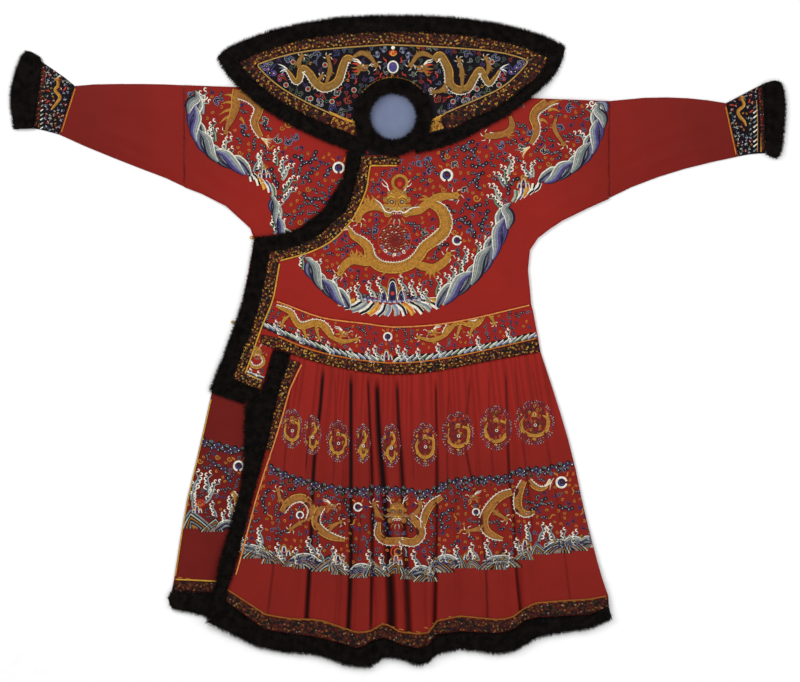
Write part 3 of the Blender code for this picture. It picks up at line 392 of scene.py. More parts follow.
class NodeGroups:
    """Shader node groups that several finishes share, each built once."""

    @staticmethod
    def _new(name: str, inputs: dict[str, float],
             outputs: dict[str, str]) -> tuple[Tree, bpy.types.Node, bpy.types.Node]:
        """Start a group with named float inputs and typed outputs.

        Args:
            name: the group's name.
            inputs: its inputs and their values.
            outputs: its outputs and their types.

        Returns:
            The group, its input node and its output node.
        """
        tree = bpy.data.node_groups.new(name, "ShaderNodeTree")
        for word, value in inputs.items():
            socket = tree.interface.new_socket(word, in_out="INPUT", socket_type="NodeSocketFloat")
            socket.default_value = value
        for word, kind in outputs.items():
            tree.interface.new_socket(word, in_out="OUTPUT", socket_type=kind)
        return tree, tree.nodes.new("NodeGroupInput"), tree.nodes.new("NodeGroupOutput")

    @staticmethod
    def get(name: str) -> Tree:
        """Return a group by name, building it when it is first asked for.

        Args:
            name: the group's name.

        Returns:
            The group.
        """
        found = bpy.data.node_groups.get(name)
        if found is None:
            found = getattr(NodeGroups, "_build_" + name)()
        return found

    @staticmethod
    def _math(tree: Tree, operation: str, first: Socket | float,
              second: Socket | float) -> Socket:
        """Add a math node; each side is a socket or a number.

        Args:
            tree: the material's node tree.
            operation: the sum to do.
            first: a socket or a number.
            second: a socket or a number.

        Returns:
            The result's socket.
        """
        node = tree.nodes.new("ShaderNodeMath")
        node.operation = operation
        for place, value in enumerate((first, second)):
            if isinstance(value, Socket):
                tree.links.new(value, node.inputs[place])
            else:
                node.inputs[place].default_value = value
        return node.outputs[0]

    @staticmethod
    def _build_woven_silk() -> Tree:
        """Fine crossing threads, soft cloudy wear and faint creases.

        Returns:
            The group.
        """
        tree, given, result = NodeGroups._new(
            "woven_silk", {"Threads": 900.0, "Cloud Size": 5.0},
            {"Weave": "NodeSocketFloat", "Cloud": "NodeSocketFloat", "Crease": "NodeSocketFloat"})
        place = tree.nodes.new("ShaderNodeTexCoord").outputs["Object"]
        waves = []
        for direction in ("X", "Y"):
            wave = tree.nodes.new("ShaderNodeTexWave")
            wave.bands_direction = direction
            wave.inputs["Distortion"].default_value = 0.6
            tree.links.new(place, wave.inputs["Vector"])
            tree.links.new(given.outputs["Threads"], wave.inputs["Scale"])
            waves.append(wave.outputs["Fac"])
        tree.links.new(NodeGroups._math(tree, "MULTIPLY", *waves), result.inputs["Weave"])
        cloud = tree.nodes.new("ShaderNodeTexNoise")
        set_inputs(cloud, {"Detail": 5.0, "Roughness": 0.62})
        tree.links.new(place, cloud.inputs["Vector"])
        tree.links.new(given.outputs["Cloud Size"], cloud.inputs["Scale"])
        tree.links.new(cloud.outputs["Fac"], result.inputs["Cloud"])
        crease = noise_mask(tree, {"Scale": 26.0, "Detail": 3.0, "Distortion": 1.2})
        tree.links.new(crease, result.inputs["Crease"])
        return tree

    @staticmethod
    def _build_stitches() -> Tree:
        """Rows of fine satin stitches with uneven thread colour.

        Returns:
            The group.
        """
        tree, given, result = NodeGroups._new(
            "stitches", {"Rows": 520.0},
            {"Thread": "NodeSocketFloat", "Mottle": "NodeSocketFloat"})
        place = tree.nodes.new("ShaderNodeTexCoord").outputs["Object"]
        wave = tree.nodes.new("ShaderNodeTexWave")
        wave.bands_direction = "DIAGONAL"
        set_inputs(wave, {"Distortion": 3.0, "Detail": 1.0})
        tree.links.new(place, wave.inputs["Vector"])
        tree.links.new(given.outputs["Rows"], wave.inputs["Scale"])
        tree.links.new(wave.outputs["Fac"], result.inputs["Thread"])
        mottle = noise_mask(tree, {"Scale": 160.0, "Detail": 2.0})
        tree.links.new(mottle, result.inputs["Mottle"])
        return tree


def ramp_between(tree: Tree, mask: Socket, dark: Tone, light: Tone, low: float,
                 high: float) -> Socket:
    """Colour a mask between two tones.

    Args:
        tree: the material's node tree.
        mask: the socket to read.
        dark: tone where the mask is low.
        light: tone where it is high.
        low: mask value of the dark tone.
        high: mask value of the light tone.

    Returns:
        The colour socket.
    """
    ramp = tree.nodes.new("ShaderNodeValToRGB")
    ramp.color_ramp.elements[0].position = low
    ramp.color_ramp.elements[0].color = (*dark, 1.0)
    ramp.color_ramp.elements[1].position = high
    ramp.color_ramp.elements[1].color = (*light, 1.0)
    tree.links.new(mask, ramp.inputs["Fac"])
    return ramp.outputs["Color"]


def bump(tree: Tree, height: Socket, strength: float, distance: float, shader: Shader) -> None:
    """Feed a height into a shader's normal.

    Args:
        tree: the material's node tree.
        height: the socket to read.
        strength: strength of the bump.
        distance: its height, in metres.
        shader: the material's shader.
    """
    node = tree.nodes.new("ShaderNodeBump")
    set_inputs(node, {"Strength": strength, "Distance": distance})
    tree.links.new(height, node.inputs["Height"])
    tree.links.new(node.outputs["Normal"], shader.inputs["Normal"])


def new_material(name: str) -> tuple[bpy.types.Material, Tree, Shader]:
    """Start a material; returns it, its node tree and its shader."""
    material = bpy.data.materials.new(name)
    material.use_nodes = True
    return material, material.node_tree, material.node_tree.nodes["Principled BSDF"]


@dataclass(frozen=True)
class Finish:
    """What every finish shares: a name and one material."""

    name: str

    def material(self) -> bpy.types.Material:
        """Return the finish's material, made once.

        Returns:
            The material.
        """
        found = bpy.data.materials.get(self.name)
        if found is None:
            found, tree, shader = new_material(self.name)
            self.dress(tree, shader)
        return found

    def dress(self, tree: Tree, shader: Shader) -> None:
        """Add the finish's nodes to a new material."""
        raise NotImplementedError


@dataclass(frozen=True)
class SilkFinish(Finish):
    """A woven silk: its two tones, weave and sheen."""

    light: Tone
    dark: Tone
    roughness: float = 0.5
    sheen: float = 0.25
    threads: float = 900.0
    weave_bump: float = 0.25
    shaded: bool = False
    # Painted shade: darkens the silk towards the far ends of one axis (axis, start, end, share).
    fade: tuple[str, float, float, float] | None = None
    gloss: float = 0.06
    fold_shade_tone: float = 0.02

    def dress(self, tree: Tree, shader: Shader) -> None:
        """Weave the silk.

        Args:
            tree: the material's node tree.
            shader: the material's shader.
        """
        group = tree.nodes.new("ShaderNodeGroup")
        group.node_tree = NodeGroups.get("woven_silk")
        group.inputs["Threads"].default_value = self.threads
        colour = ramp_between(tree, group.outputs["Cloud"], self.dark, self.light, 0.32, 0.62)
        # Painted shade towards the far ends of one axis.
        if self.fade:
            colour = self._painted_falloff(tree, colour)
        # Painted shade: the fold_shade attribute darkens the colour in the skirt's fold grooves and
        # gather troughs.
        if self.shaded:
            fold = tree.nodes.new("ShaderNodeAttribute")
            fold.attribute_name = "fold_shade"
            mix = tree.nodes.new("ShaderNodeMix")
            mix.data_type = "RGBA"
            mix.inputs["B"].default_value = (*(self.fold_shade_tone * value for value in self.dark), 1.0)
            tree.links.new(fold.outputs["Fac"], mix.inputs["Factor"])
            tree.links.new(colour, mix.inputs["A"])
            colour = mix.outputs["Result"]
        tree.links.new(colour, shader.inputs["Base Color"])
        set_inputs(shader, {"Roughness": self.roughness, "Specular IOR Level": self.gloss,
                            "Sheen Weight": self.sheen, "Sheen Roughness": 0.4,
                            "Sheen Tint": (*self.light, 1.0)})
        height = NodeGroups._math(tree, "MULTIPLY", group.outputs["Weave"], self.weave_bump)
        creases = NodeGroups._math(tree, "MULTIPLY", group.outputs["Crease"], 0.8)
        bump(tree, NodeGroups._math(tree, "ADD", height, creases), 0.35, 0.0012, shader)

    def _painted_falloff(self, tree: Tree, colour: Socket) -> Socket:
        """Painted shade: darken a tone towards the far ends of one axis.

        Args:
            tree: the material's nodes.
            colour: the tone.

        Returns:
            The darkened tone.
        """
        axis, start, end, share = self.fade
        place = tree.nodes.new("ShaderNodeTexCoord").outputs["Object"]
        parts = tree.nodes.new("ShaderNodeSeparateXYZ")
        tree.links.new(place, parts.inputs["Vector"])
        away = tree.nodes.new("ShaderNodeMath")
        away.operation = "ABSOLUTE"
        tree.links.new(parts.outputs[axis], away.inputs[0])
        span = tree.nodes.new("ShaderNodeMapRange")
        span.interpolation_type = "SMOOTHSTEP"
        set_inputs(span, {"From Min": start, "From Max": end})
        tree.links.new(away.outputs["Value"], span.inputs["Value"])
        mix = tree.nodes.new("ShaderNodeMix")
        mix.data_type = "RGBA"
        mix.blend_type = "MULTIPLY"
        mix.inputs["B"].default_value = (share, 0.5 + 0.5 * share, 0.5 + 0.5 * share, 1.0)
        tree.links.new(span.outputs["Result"], mix.inputs["Factor"])
        tree.links.new(colour, mix.inputs["A"])
        return mix.outputs["Result"]


@dataclass(frozen=True)
class ThreadFinish(Finish):
    """Embroidery thread: colour, gloss and how much it glints like metal."""

    colour: Tone
    roughness: float = 0.45
    metallic: float = 0.0
    rows: float = 520.0
    gloss: float = 0.14

    def dress(self, tree: Tree, shader: Shader) -> None:
        """Lay the thread's rows and uneven colour.

        Args:
            tree: the material's node tree.
            shader: the material's shader.
        """
        group = tree.nodes.new("ShaderNodeGroup")
        group.node_tree = NodeGroups.get("stitches")
        group.inputs["Rows"].default_value = self.rows
        dark = tuple(0.72 * value for value in self.colour)
        light = tuple(min(1.0, 1.12 * value) for value in self.colour)
        colour = ramp_between(tree, group.outputs["Mottle"], dark, light, 0.3, 0.65)
        tree.links.new(colour, shader.inputs["Base Color"])
        set_inputs(shader, {"Roughness": self.roughness, "Metallic": self.metallic,
                            "Specular IOR Level": self.gloss})
        bump(tree, group.outputs["Thread"], 0.4, 0.0006, shader)


@dataclass(frozen=True)
class FurFinish(Finish):
    """Short near-black fur with faint brown tips."""

    name: str = "dark_fur_hair"
    root: Tone = (0.0016, 0.0011, 0.0009)
    tip: Tone = (0.0095, 0.0066, 0.0052)

    def dress(self, tree: Tree, shader: Shader) -> None:
        """Mix the fur's two tones in patches.

        Args:
            tree: the material's node tree.
            shader: the material's shader.
        """
        patch = noise_mask(tree, {"Scale": 60.0, "Detail": 4.0})
        colour = ramp_between(tree, patch, self.root, self.tip, 0.35, 0.7)
        tree.links.new(colour, shader.inputs["Base Color"])
        set_inputs(shader, {"Roughness": 0.6, "Specular IOR Level": 0.06})


@dataclass(frozen=True)
class BrocadeFinish(Finish):
    """Woven ground of the borders, part black and part dark red."""

    name: str = "brocade_ground"
    black: Tone = (0.006, 0.0035, 0.003)
    red: Tone = (0.070, 0.008, 0.005)

    def dress(self, tree: Tree, shader: Shader) -> None:
        """Set black cells in the red ground, with the weave over both.

        Args:
            tree: the material's node tree.
            shader: the material's shader.
        """
        place = tree.nodes.new("ShaderNodeTexCoord").outputs["Object"]
        cells = tree.nodes.new("ShaderNodeTexVoronoi")
        cells.inputs["Scale"].default_value = 120.0
        tree.links.new(place, cells.inputs["Vector"])
        colour = ramp_between(tree, cells.outputs["Distance"], self.red, self.black, 0.25, 0.6)
        tree.links.new(colour, shader.inputs["Base Color"])
        set_inputs(shader, {"Roughness": 0.6, "Specular IOR Level": 0.1})
        group = tree.nodes.new("ShaderNodeGroup")
        group.node_tree = NodeGroups.get("woven_silk")
        bump(tree, group.outputs["Weave"], 0.4, 0.0006, shader)


class Thread(Enum):
    """The embroidery's threads, by colour."""

    GOLD = ThreadFinish("gold_thread", (0.360, 0.162, 0.021), 0.42, 0.15)
    WARM_GOLD = ThreadFinish("warm_gold_thread", (0.285, 0.112, 0.021), 0.45, 0.12)
    AMBER = ThreadFinish("amber_thread", (0.65, 0.235, 0.060), 0.42, 0.1)
    PALE_GOLD = ThreadFinish("pale_gold_thread", (0.40, 0.235, 0.062), 0.42, 0.1)
    OLD_GOLD = ThreadFinish("old_gold_thread", (0.220, 0.112, 0.022), 0.45, 0.12)
    DEEP_GOLD = ThreadFinish("deep_gold_thread", (0.095, 0.038, 0.006), 0.5, 0.1)
    YELLOW = ThreadFinish("yellow_thread", (0.56, 0.31, 0.038), 0.42, 0.1)
    ORANGE = ThreadFinish("orange_thread", (0.48, 0.155, 0.018), 0.45)
    WHITE = ThreadFinish("white_thread", (0.68, 0.65, 0.54), 0.5)
    PALE = ThreadFinish("pale_thread", (0.33, 0.35, 0.28), 0.5)
    GREY = ThreadFinish("grey_thread", (0.150, 0.165, 0.190), 0.5)
    SKY = ThreadFinish("sky_thread", (0.170, 0.190, 0.300), 0.5)
    BLUE = ThreadFinish("blue_thread", (0.050, 0.048, 0.180), 0.5)
    PURPLE = ThreadFinish("purple_thread", (0.085, 0.037, 0.125), 0.5)
    NAVY = ThreadFinish("navy_thread", (0.010, 0.008, 0.034), 0.5)
    BLACK = ThreadFinish("black_thread", (0.0035, 0.0025, 0.003), 0.5)
    RED = ThreadFinish("red_thread", (0.20, 0.009, 0.007), 0.5)
    DARK_RED = ThreadFinish("dark_red_thread", (0.055, 0.0035, 0.003), 0.5)
    CORAL = ThreadFinish("coral_thread", (0.42, 0.037, 0.014), 0.5)
    GREEN = ThreadFinish("green_thread", (0.082, 0.120, 0.062), 0.5)
    BRONZE = ThreadFinish("bronze_thread", (0.24, 0.085, 0.012), 0.5)
    MAROON = ThreadFinish("maroon_thread", (0.125, 0.0065, 0.0055), 0.5)
    SEAM = ThreadFinish("seam_silk", (0.185, 0.0105, 0.0080), 0.5)


# Painted shade: these red silks darken towards the sleeve ends and towards the hem.
RED_SILK = SilkFinish("red_silk_cloth", (0.242, 0.0124, 0.0082), (0.212, 0.0110, 0.0074), 0.5, 0.02,
                      fade=("X", 0.30, 0.52, 0.79))
# The sleeves' lower tones are painted shade that carries on the body's darkening towards the cuffs.
RED_SLEEVES = SilkFinish("red_silk_sleeves", (0.193, 0.0112, 0.0080), (0.170, 0.0100, 0.0072),
                         0.5, 0.02, fade=("X", 0.50, 0.80, 0.76))
RED_BACK = SilkFinish("red_silk_back", (0.124, 0.0086, 0.0064), (0.104, 0.0074, 0.0056), 0.5, 0.02)
RED_PLEATS = SilkFinish("red_silk_pleats", (0.250, 0.0130, 0.0088), (0.212, 0.0115, 0.0078), 0.5, 0.02,
                        shaded=True, fade=("Y", 0.09, 0.36, 0.74))
DARK_SILK = SilkFinish("dark_silk_cloth", (0.006, 0.0045, 0.007), (0.003, 0.0025, 0.004), 0.6, 0.0)
PALE_SILK = SilkFinish("pale_silk_lining", (0.172, 0.205, 0.305), (0.127, 0.148, 0.244), 0.4, 0.05,
                       threads=420.0, weave_bump=0.8)
FUR = FurFinish()
BROCADE_GROUND = BrocadeFinish()


def densify(loop: np.ndarray, step: float) -> np.ndarray:
    """Divide a closed outline's sides so that no gap is longer than a step.

    Args:
        loop: the closed outline.
        step: longest gap to leave.

    Returns:
        The divided outline.
    """
    parts = []
    for a, b in zip(loop, np.roll(loop, -1, axis=0)):
        count = max(1, int(math.ceil(np.linalg.norm(b - a) / step)))
        parts.append(a + (b - a) * np.linspace(0.0, 1.0, count, endpoint=False)[:, None])
    return np.vstack(parts)


def four_sides(loop: np.ndarray, corners: list[Point]) -> list[np.ndarray]:
    """Split an outline at its four corners, in their order.

    Args:
        loop: the closed outline.
        corners: places near the corners, in order round the outline.

    Returns:
        The four sides, each from one corner to the next.
    """
    near = [int(np.argmin(np.linalg.norm(loop - np.array(corner), axis=1))) for corner in corners]
    count = len(loop)
    if (near[1] - near[0]) % count > (near[2] - near[0]) % count:
        loop = loop[::-1]
        near = [count - 1 - place for place in near]
    sides = []
    for first, last in zip(near, near[1:] + near[:1]):
        steps = (last - first) % count
        sides.append(loop[(first + np.arange(steps + 1)) % count])
    return sides


def between_sides(sides: list[np.ndarray], columns: np.ndarray, rows: np.ndarray) -> np.ndarray:
    """Fill the space between four sides with a grid.

    Args:
        sides: top, right, bottom and left, in order round the patch.
        columns: shares from left to right.
        rows: shares from top to bottom.

    Returns:
        Points by row and column.
    """
    def read(side: np.ndarray, shares: np.ndarray) -> np.ndarray:
        """Points at shares of a side's length."""
        along = lengths(side) / lengths(side)[-1]
        return np.stack([np.interp(shares, along, side[:, k]) for k in range(2)], axis=1)

    upper, lower = read(sides[0], columns)[None], read(sides[2][::-1], columns)[None]
    right, left = read(sides[1], rows)[:, None], read(sides[3][::-1], rows)[:, None]
    u, v = columns[None, :, None], rows[:, None, None]
    corners = ((1 - u) * (1 - v) * sides[0][0] + u * (1 - v) * sides[0][-1]
               + u * v * sides[2][0] + (1 - u) * v * sides[2][-1])
    return (1 - v) * upper + v * lower + (1 - u) * left + u * right - corners


@dataclass(frozen=True)
class Crease:
    """A crease: its line in pixels of the photograph, and its form."""

    line: tuple[Point, ...]
    width: float = 9 * MM
    rise: float = 2.5 * MM

    def heights(self, places: np.ndarray) -> np.ndarray:
        """How far the crease lifts the cloth at each place.

        Args:
            places: the places, in metres.

        Returns:
            A height for each place.
        """
        line = curve(spots(list(self.line)), 12 * MM)
        total = max(lengths(line)[-1], 1e-6)
        best = np.full(len(places), 1e9)
        share = np.zeros(len(places))
        for a, b, start in zip(line, line[1:], lengths(line)):
            side = b - a
            size = np.linalg.norm(side)
            t = np.clip((places - a) @ side / size ** 2, 0.0, 1.0)
            away = np.linalg.norm(places - (a + t[:, None] * side), axis=1)
            nearer = away < best
            best = np.where(nearer, away, best)
            share = np.where(nearer, (start + t * size) / total, share)
        fade = np.sin(math.pi * np.clip(share, 0.02, 0.98)) ** 0.6
        return self.rise * fade * np.exp(-(best / self.width) ** 2)


def crease_heights(creases: tuple[Crease, ...], places: np.ndarray) -> np.ndarray:
    """How far several creases together lift the cloth at each place."""
    return sum((crease.heights(places) for crease in creases), np.zeros(len(places)))


class Cover:
    """Knows where other pieces lie on a sheet, so that its creases stop beside them."""

    def __init__(self, node: str) -> None:
        """Gather the surfaces of every other node."""
        self.tree = surface_tree([item for name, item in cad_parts.items() if name != node])

    def free(self, x: float, y: float, z: float, reach: float = 16 * MM) -> float:
        """Share of the surroundings that has nothing on it.

        Args:
            x: place across the robe, in metres.
            y: place along the robe, in metres.
            z: height of the cloth there.
            reach: how far to look about it.

        Returns:
            The share, from 0 to 1.
        """
        open_places = 0
        around = [(0.0, 0.0)]
        around += [(reach * size * math.cos(turn), reach * size * math.sin(turn))
                   for size in (0.5, 1.0) for turn in (0.3, 1.35, 2.4, 3.44, 4.49, 5.54)]
        for dx, dy in around:
            hit = self.tree.ray_cast(Vector((x + dx, y + dy, z + 0.25 * MM)), Vector((0, 0, 1)))
            if hit[0] is None:
                open_places += 1
            elif (dx, dy) == (0.0, 0.0):
                return 0.0
        return ease((open_places / len(around) - 0.45) / 0.55)


def shell(name: str, plan: np.ndarray, tris: list, top: np.ndarray, bottom: np.ndarray,
          materials: list) -> bpy.types.Object:
    """Make a thin closed shell from a flat plan and the heights of its two sides.

    Args:
        name: name of the piece.
        plan: its points from above.
        tris: faces of the plan.
        top: heights of the upper side.
        bottom: heights of the underside.
        materials: its finishes.

    Returns:
        The shell.
    """
    count = len(plan)
    points = np.vstack([np.column_stack([plan, top]), np.column_stack([plan, bottom])])
    directed = {}
    faces = []
    for face in tris:
        area = sum(plan[a][0] * plan[b][1] - plan[b][0] * plan[a][1]
                   for a, b in zip(face, face[1:] + face[:1]))
        face = list(face) if area > 0 else list(face)[::-1]
        faces.append(face)
        faces.append([count + k for k in reversed(face)])
        for a, b in zip(face, face[1:] + face[:1]):
            directed[(a, b)] = True
    for a, b in directed:
        if (b, a) not in directed:
            faces.append([b, a, count + a, count + b])
    return make_object(name, points, faces, materials)


@dataclass
class Panel:
    """A flat-lying sheet of lined silk on its node's outline."""

    node: str
    finish: SilkFinish
    slot: str
    spacing: float = 7 * MM
    creases: tuple[Crease, ...] = ()
    ripple: float = 0.8 * MM
    rests_on: tuple[str, ...] = ()
    under_creases: tuple[Crease, ...] = ()
    seed: float = 0.0
    inset: float = 0.0004
    row_share: float = 0.866
    hollow: float = 0.8 * MM
    thinnest: float = 0.7 * MM

    def build(self) -> bpy.types.Object:
        """Build the sheet over its node.

        Returns:
            The sheet.
        """
        shape = NodeShape(self.node)
        loops = [shape.loops[0]]
        loops += [loop for loop in shape.loops[1:] if inside(loop[:1], loops)[0]]
        plan, tris = self._plan(loops)
        inner = drawn_in(plan, loops[0].mean(axis=0), self.inset)
        top = np.array([shape.top(*place) for place in inner])
        bottom = np.array([shape.bottom(*place) for place in inner])
        lift = crease_heights(self.creases, plan)
        if self.ripple or self.creases:
            cover = Cover(self.node)
            free = np.array([cover.free(x, y, z) for (x, y), z in zip(plan, top)])
            for k, (x, y) in enumerate(plan):
                soft = noise.noise(Vector((7 * x, 9 * y, self.seed)))
                fine = noise.noise(Vector((24 * x, 30 * y, self.seed + 5)))
                lift[k] += self.ripple * max(0.0, 0.45 + 0.9 * soft + 0.35 * fine)
            lift = np.maximum(lift, -self.hollow) * free
        under = crease_heights(self.under_creases, plan)
        top = top + lift
        bottom = np.minimum(bottom + under, top - self.thinnest)
        item = shell(self.node + "_cloth", plan, tris, top, bottom, [self.finish.material()])
        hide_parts(self.node)
        wide, high, area = flat_size(loops[0])
        for hole in loops[1:]:
            area -= flat_size(hole)[2]
        return item

    def _plan(self, loops: list[np.ndarray]) -> tuple[np.ndarray, list[list[int]]]:
        """Divide the outline into small faces.

        Args:
            loops: the outline and its holes.

        Returns:
            Their points and the faces.
        """
        edges: list[tuple[int, int]] = []
        rims = [densify(loop, self.spacing) for loop in loops]
        start = 0
        for rim in rims:
            count = len(rim)
            edges += [(start + k, start + (k + 1) % count) for k in range(count)]
            start += count
        rim_points = np.vstack(rims)
        plan = np.vstack([rim_points, self._fill(loops, rim_points)])
        found = delaunay_2d_cdt([Vector(place) for place in plan], edges, [], 0, 1e-7)
        plan = np.array([place[:] for place in found[0]])
        middles = np.array([plan[list(face)].mean(axis=0) for face in found[2]])
        keep = inside(middles, loops)
        return plan, [list(face) for face, kept in zip(found[2], keep) if kept]

    def _fill(self, loops: list[np.ndarray], rim: np.ndarray) -> np.ndarray:
        """Evenly spaced points within the outline, clear of its rim.

        Args:
            loops: the outline and its holes.
            rim: the outline's points.

        Returns:
            The points.
        """
        low, high = loops[0].min(axis=0), loops[0].max(axis=0)
        rows = np.arange(low[1], high[1], self.spacing * self.row_share)
        places = []
        for index, y in enumerate(rows):
            xs = np.arange(low[0] + (index % 2) * self.spacing / 2, high[0], self.spacing)
            places.append(np.column_stack([xs, np.full(len(xs), y)]))
        places = np.vstack(places)
        places = places[inside(places, loops)]
        gap = np.array([np.min(np.hypot(*(rim - place).T)) for place in places])
        return places[gap > 0.55 * self.spacing]


@dataclass
class Tube:
    """A sleeve or cuff: an open tube of cloth that lies flat."""

    node: str
    corners: tuple[Point, Point, Point, Point]
    finish: SilkFinish
    slot: str
    rests_on: tuple[str, ...]
    creases: tuple[Crease, ...] = ()
    under_creases: tuple[Crease, ...] = ()
    spacing: float = 6 * MM
    wall: float = 1.1 * MM
    seed: float = 0.0
    middle_height: float = 2.3 * MM
    fold_radius: float = 5 * MM
    lowest_top: float = 4.4 * MM
    highest_bottom: float = 1.0 * MM

    def build(self) -> bpy.types.Object:
        """Build the tube over its node.

        Returns:
            The tube.
        """
        shape = NodeShape(self.node)
        sides = four_sides(shape.loops[0], [(x * MM, y * MM) for x, y in self.corners])
        long_way = max(lengths(sides[0])[-1], lengths(sides[2])[-1])
        wide = max(lengths(sides[1])[-1], lengths(sides[3])[-1])
        along = np.linspace(0.0, 1.0, int(long_way / self.spacing) + 2)
        near = np.array([0.0, 0.5, 1.5, 3.0, 5.0]) * MM / wide
        middle = np.linspace(near[-1], 1 - near[-1], int(wide / self.spacing))
        over = np.concatenate([near[:-1], middle, 1 - near[:-1][::-1]])
        outer = between_sides(sides, along, over)
        inner_over = self.wall / wide + over * (1 - 2 * self.wall / wide)
        inner = between_sides(sides, along, inner_over)
        top, bottom = self._heights(shape, outer, over, wide)
        size = (len(over), len(along))
        rings, inner_rings = [], []
        for k in range(size[1]):
            rings.append([(*outer[j, k], top[j, k]) for j in range(size[0])]
                         + [(*outer[j, k], bottom[j, k]) for j in range(size[0] - 2, 0, -1)])
            inner_rings.append(
                [(*inner[j, k], max(top[j, k] - self.wall, self.middle_height))
                 for j in range(size[0])]
                + [(*inner[j, k], min(bottom[j, k] + self.wall, self.middle_height - 0.1 * MM))
                   for j in range(size[0] - 2, 0, -1)])
        item = self._mesh(rings, inner_rings)
        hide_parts(self.node)
        return item

    def _heights(self, shape: NodeShape, outer: np.ndarray, over: np.ndarray,
                 wide: float) -> tuple[np.ndarray, np.ndarray]:
        """Heights of the tube's two sides, rounded at its folded edges.

        Args:
            shape: the node's shape.
            outer: the outline by row and column.
            over: share of the width at each row.
            wide: the tube's width.

        Returns:
            The upper and the lower heights.
        """
        rows, columns = outer.shape[:2]
        flat = outer.reshape(-1, 2)
        middle = flat.mean(axis=0)
        places = flat + 1.2 * MM * unit(middle - flat)
        top = np.array([shape.top(*place) for place in places])
        lift = crease_heights(self.creases, flat)
        under = crease_heights(self.under_creases, flat)
        cover = Cover(self.node)
        for k, (x, y) in enumerate(flat):
            soft = noise.noise(Vector((8 * x, 8 * y, self.seed)))
            free = cover.free(x, y, top[k])
            lift[k] = free * (lift[k] + 1.4 * MM * max(0.0, 0.4 + soft))
        top = (np.maximum(top, self.lowest_top) + lift).reshape(rows, columns)
        bottom = np.minimum(under, self.highest_bottom).reshape(rows, columns)
        edge = np.minimum(over, 1 - over) * wide
        bow = np.sqrt(np.clip(1 - (1 - np.minimum(edge / self.fold_radius, 1.0)) ** 2, 0, 1))
        top = self.middle_height + (top - self.middle_height) * bow[:, None]
        bottom = self.middle_height + (bottom - self.middle_height) * bow[:, None]
        return top, bottom

    def _mesh(self, rings: list, inner_rings: list) -> bpy.types.Object:
        """Join the outer and inner rings into one open tube.

        Args:
            rings: the outer points, ring by ring.
            inner_rings: the inner points, ring by ring.

        Returns:
            The tube.
        """
        size, count = len(rings[0]), len(rings)
        points = [point for ring in rings + inner_rings for point in ring]
        inner = size * count
        faces = []
        for k in range(count - 1):
            for j in range(size):
                a, b = k * size + j, k * size + (j + 1) % size
                c, d = b + size, a + size
                faces.append([a, b, c, d])
                faces.append([inner + d, inner + c, inner + b, inner + a])
        for start, flip in ((0, False), ((count - 1) * size, True)):
            for j in range(size):
                a, b = start + j, start + (j + 1) % size
                face = [b, a, inner + a, inner + b]
                faces.append(face[::-1] if flip else face)
        item = make_object(self.node + "_cloth", points, faces, [self.finish.material()])
        turn_outward(item)
        return item


def turn_outward(item: bpy.types.Object) -> None:
    """Point a closed mesh's faces outward.

    Args:
        item: the mesh.
    """
    shape = bmesh.new()
    shape.from_mesh(item.data)
    bmesh.ops.recalc_face_normals(shape, faces=shape.faces)
    shape.to_mesh(item.data)
    shape.free()


@dataclass
class Strip:
    """What every narrow trim shares: its node's long edges and its heights."""

    node: str
    step: float = 5 * MM

    def frame_lines(self) -> tuple[NodeShape, np.ndarray, np.ndarray, bool]:
        """The node's shape, its two long edges and whether they close."""
        shape = NodeShape(self.node)
        first, second, closed = shape.edges(self.step)
        return shape, first, second, closed


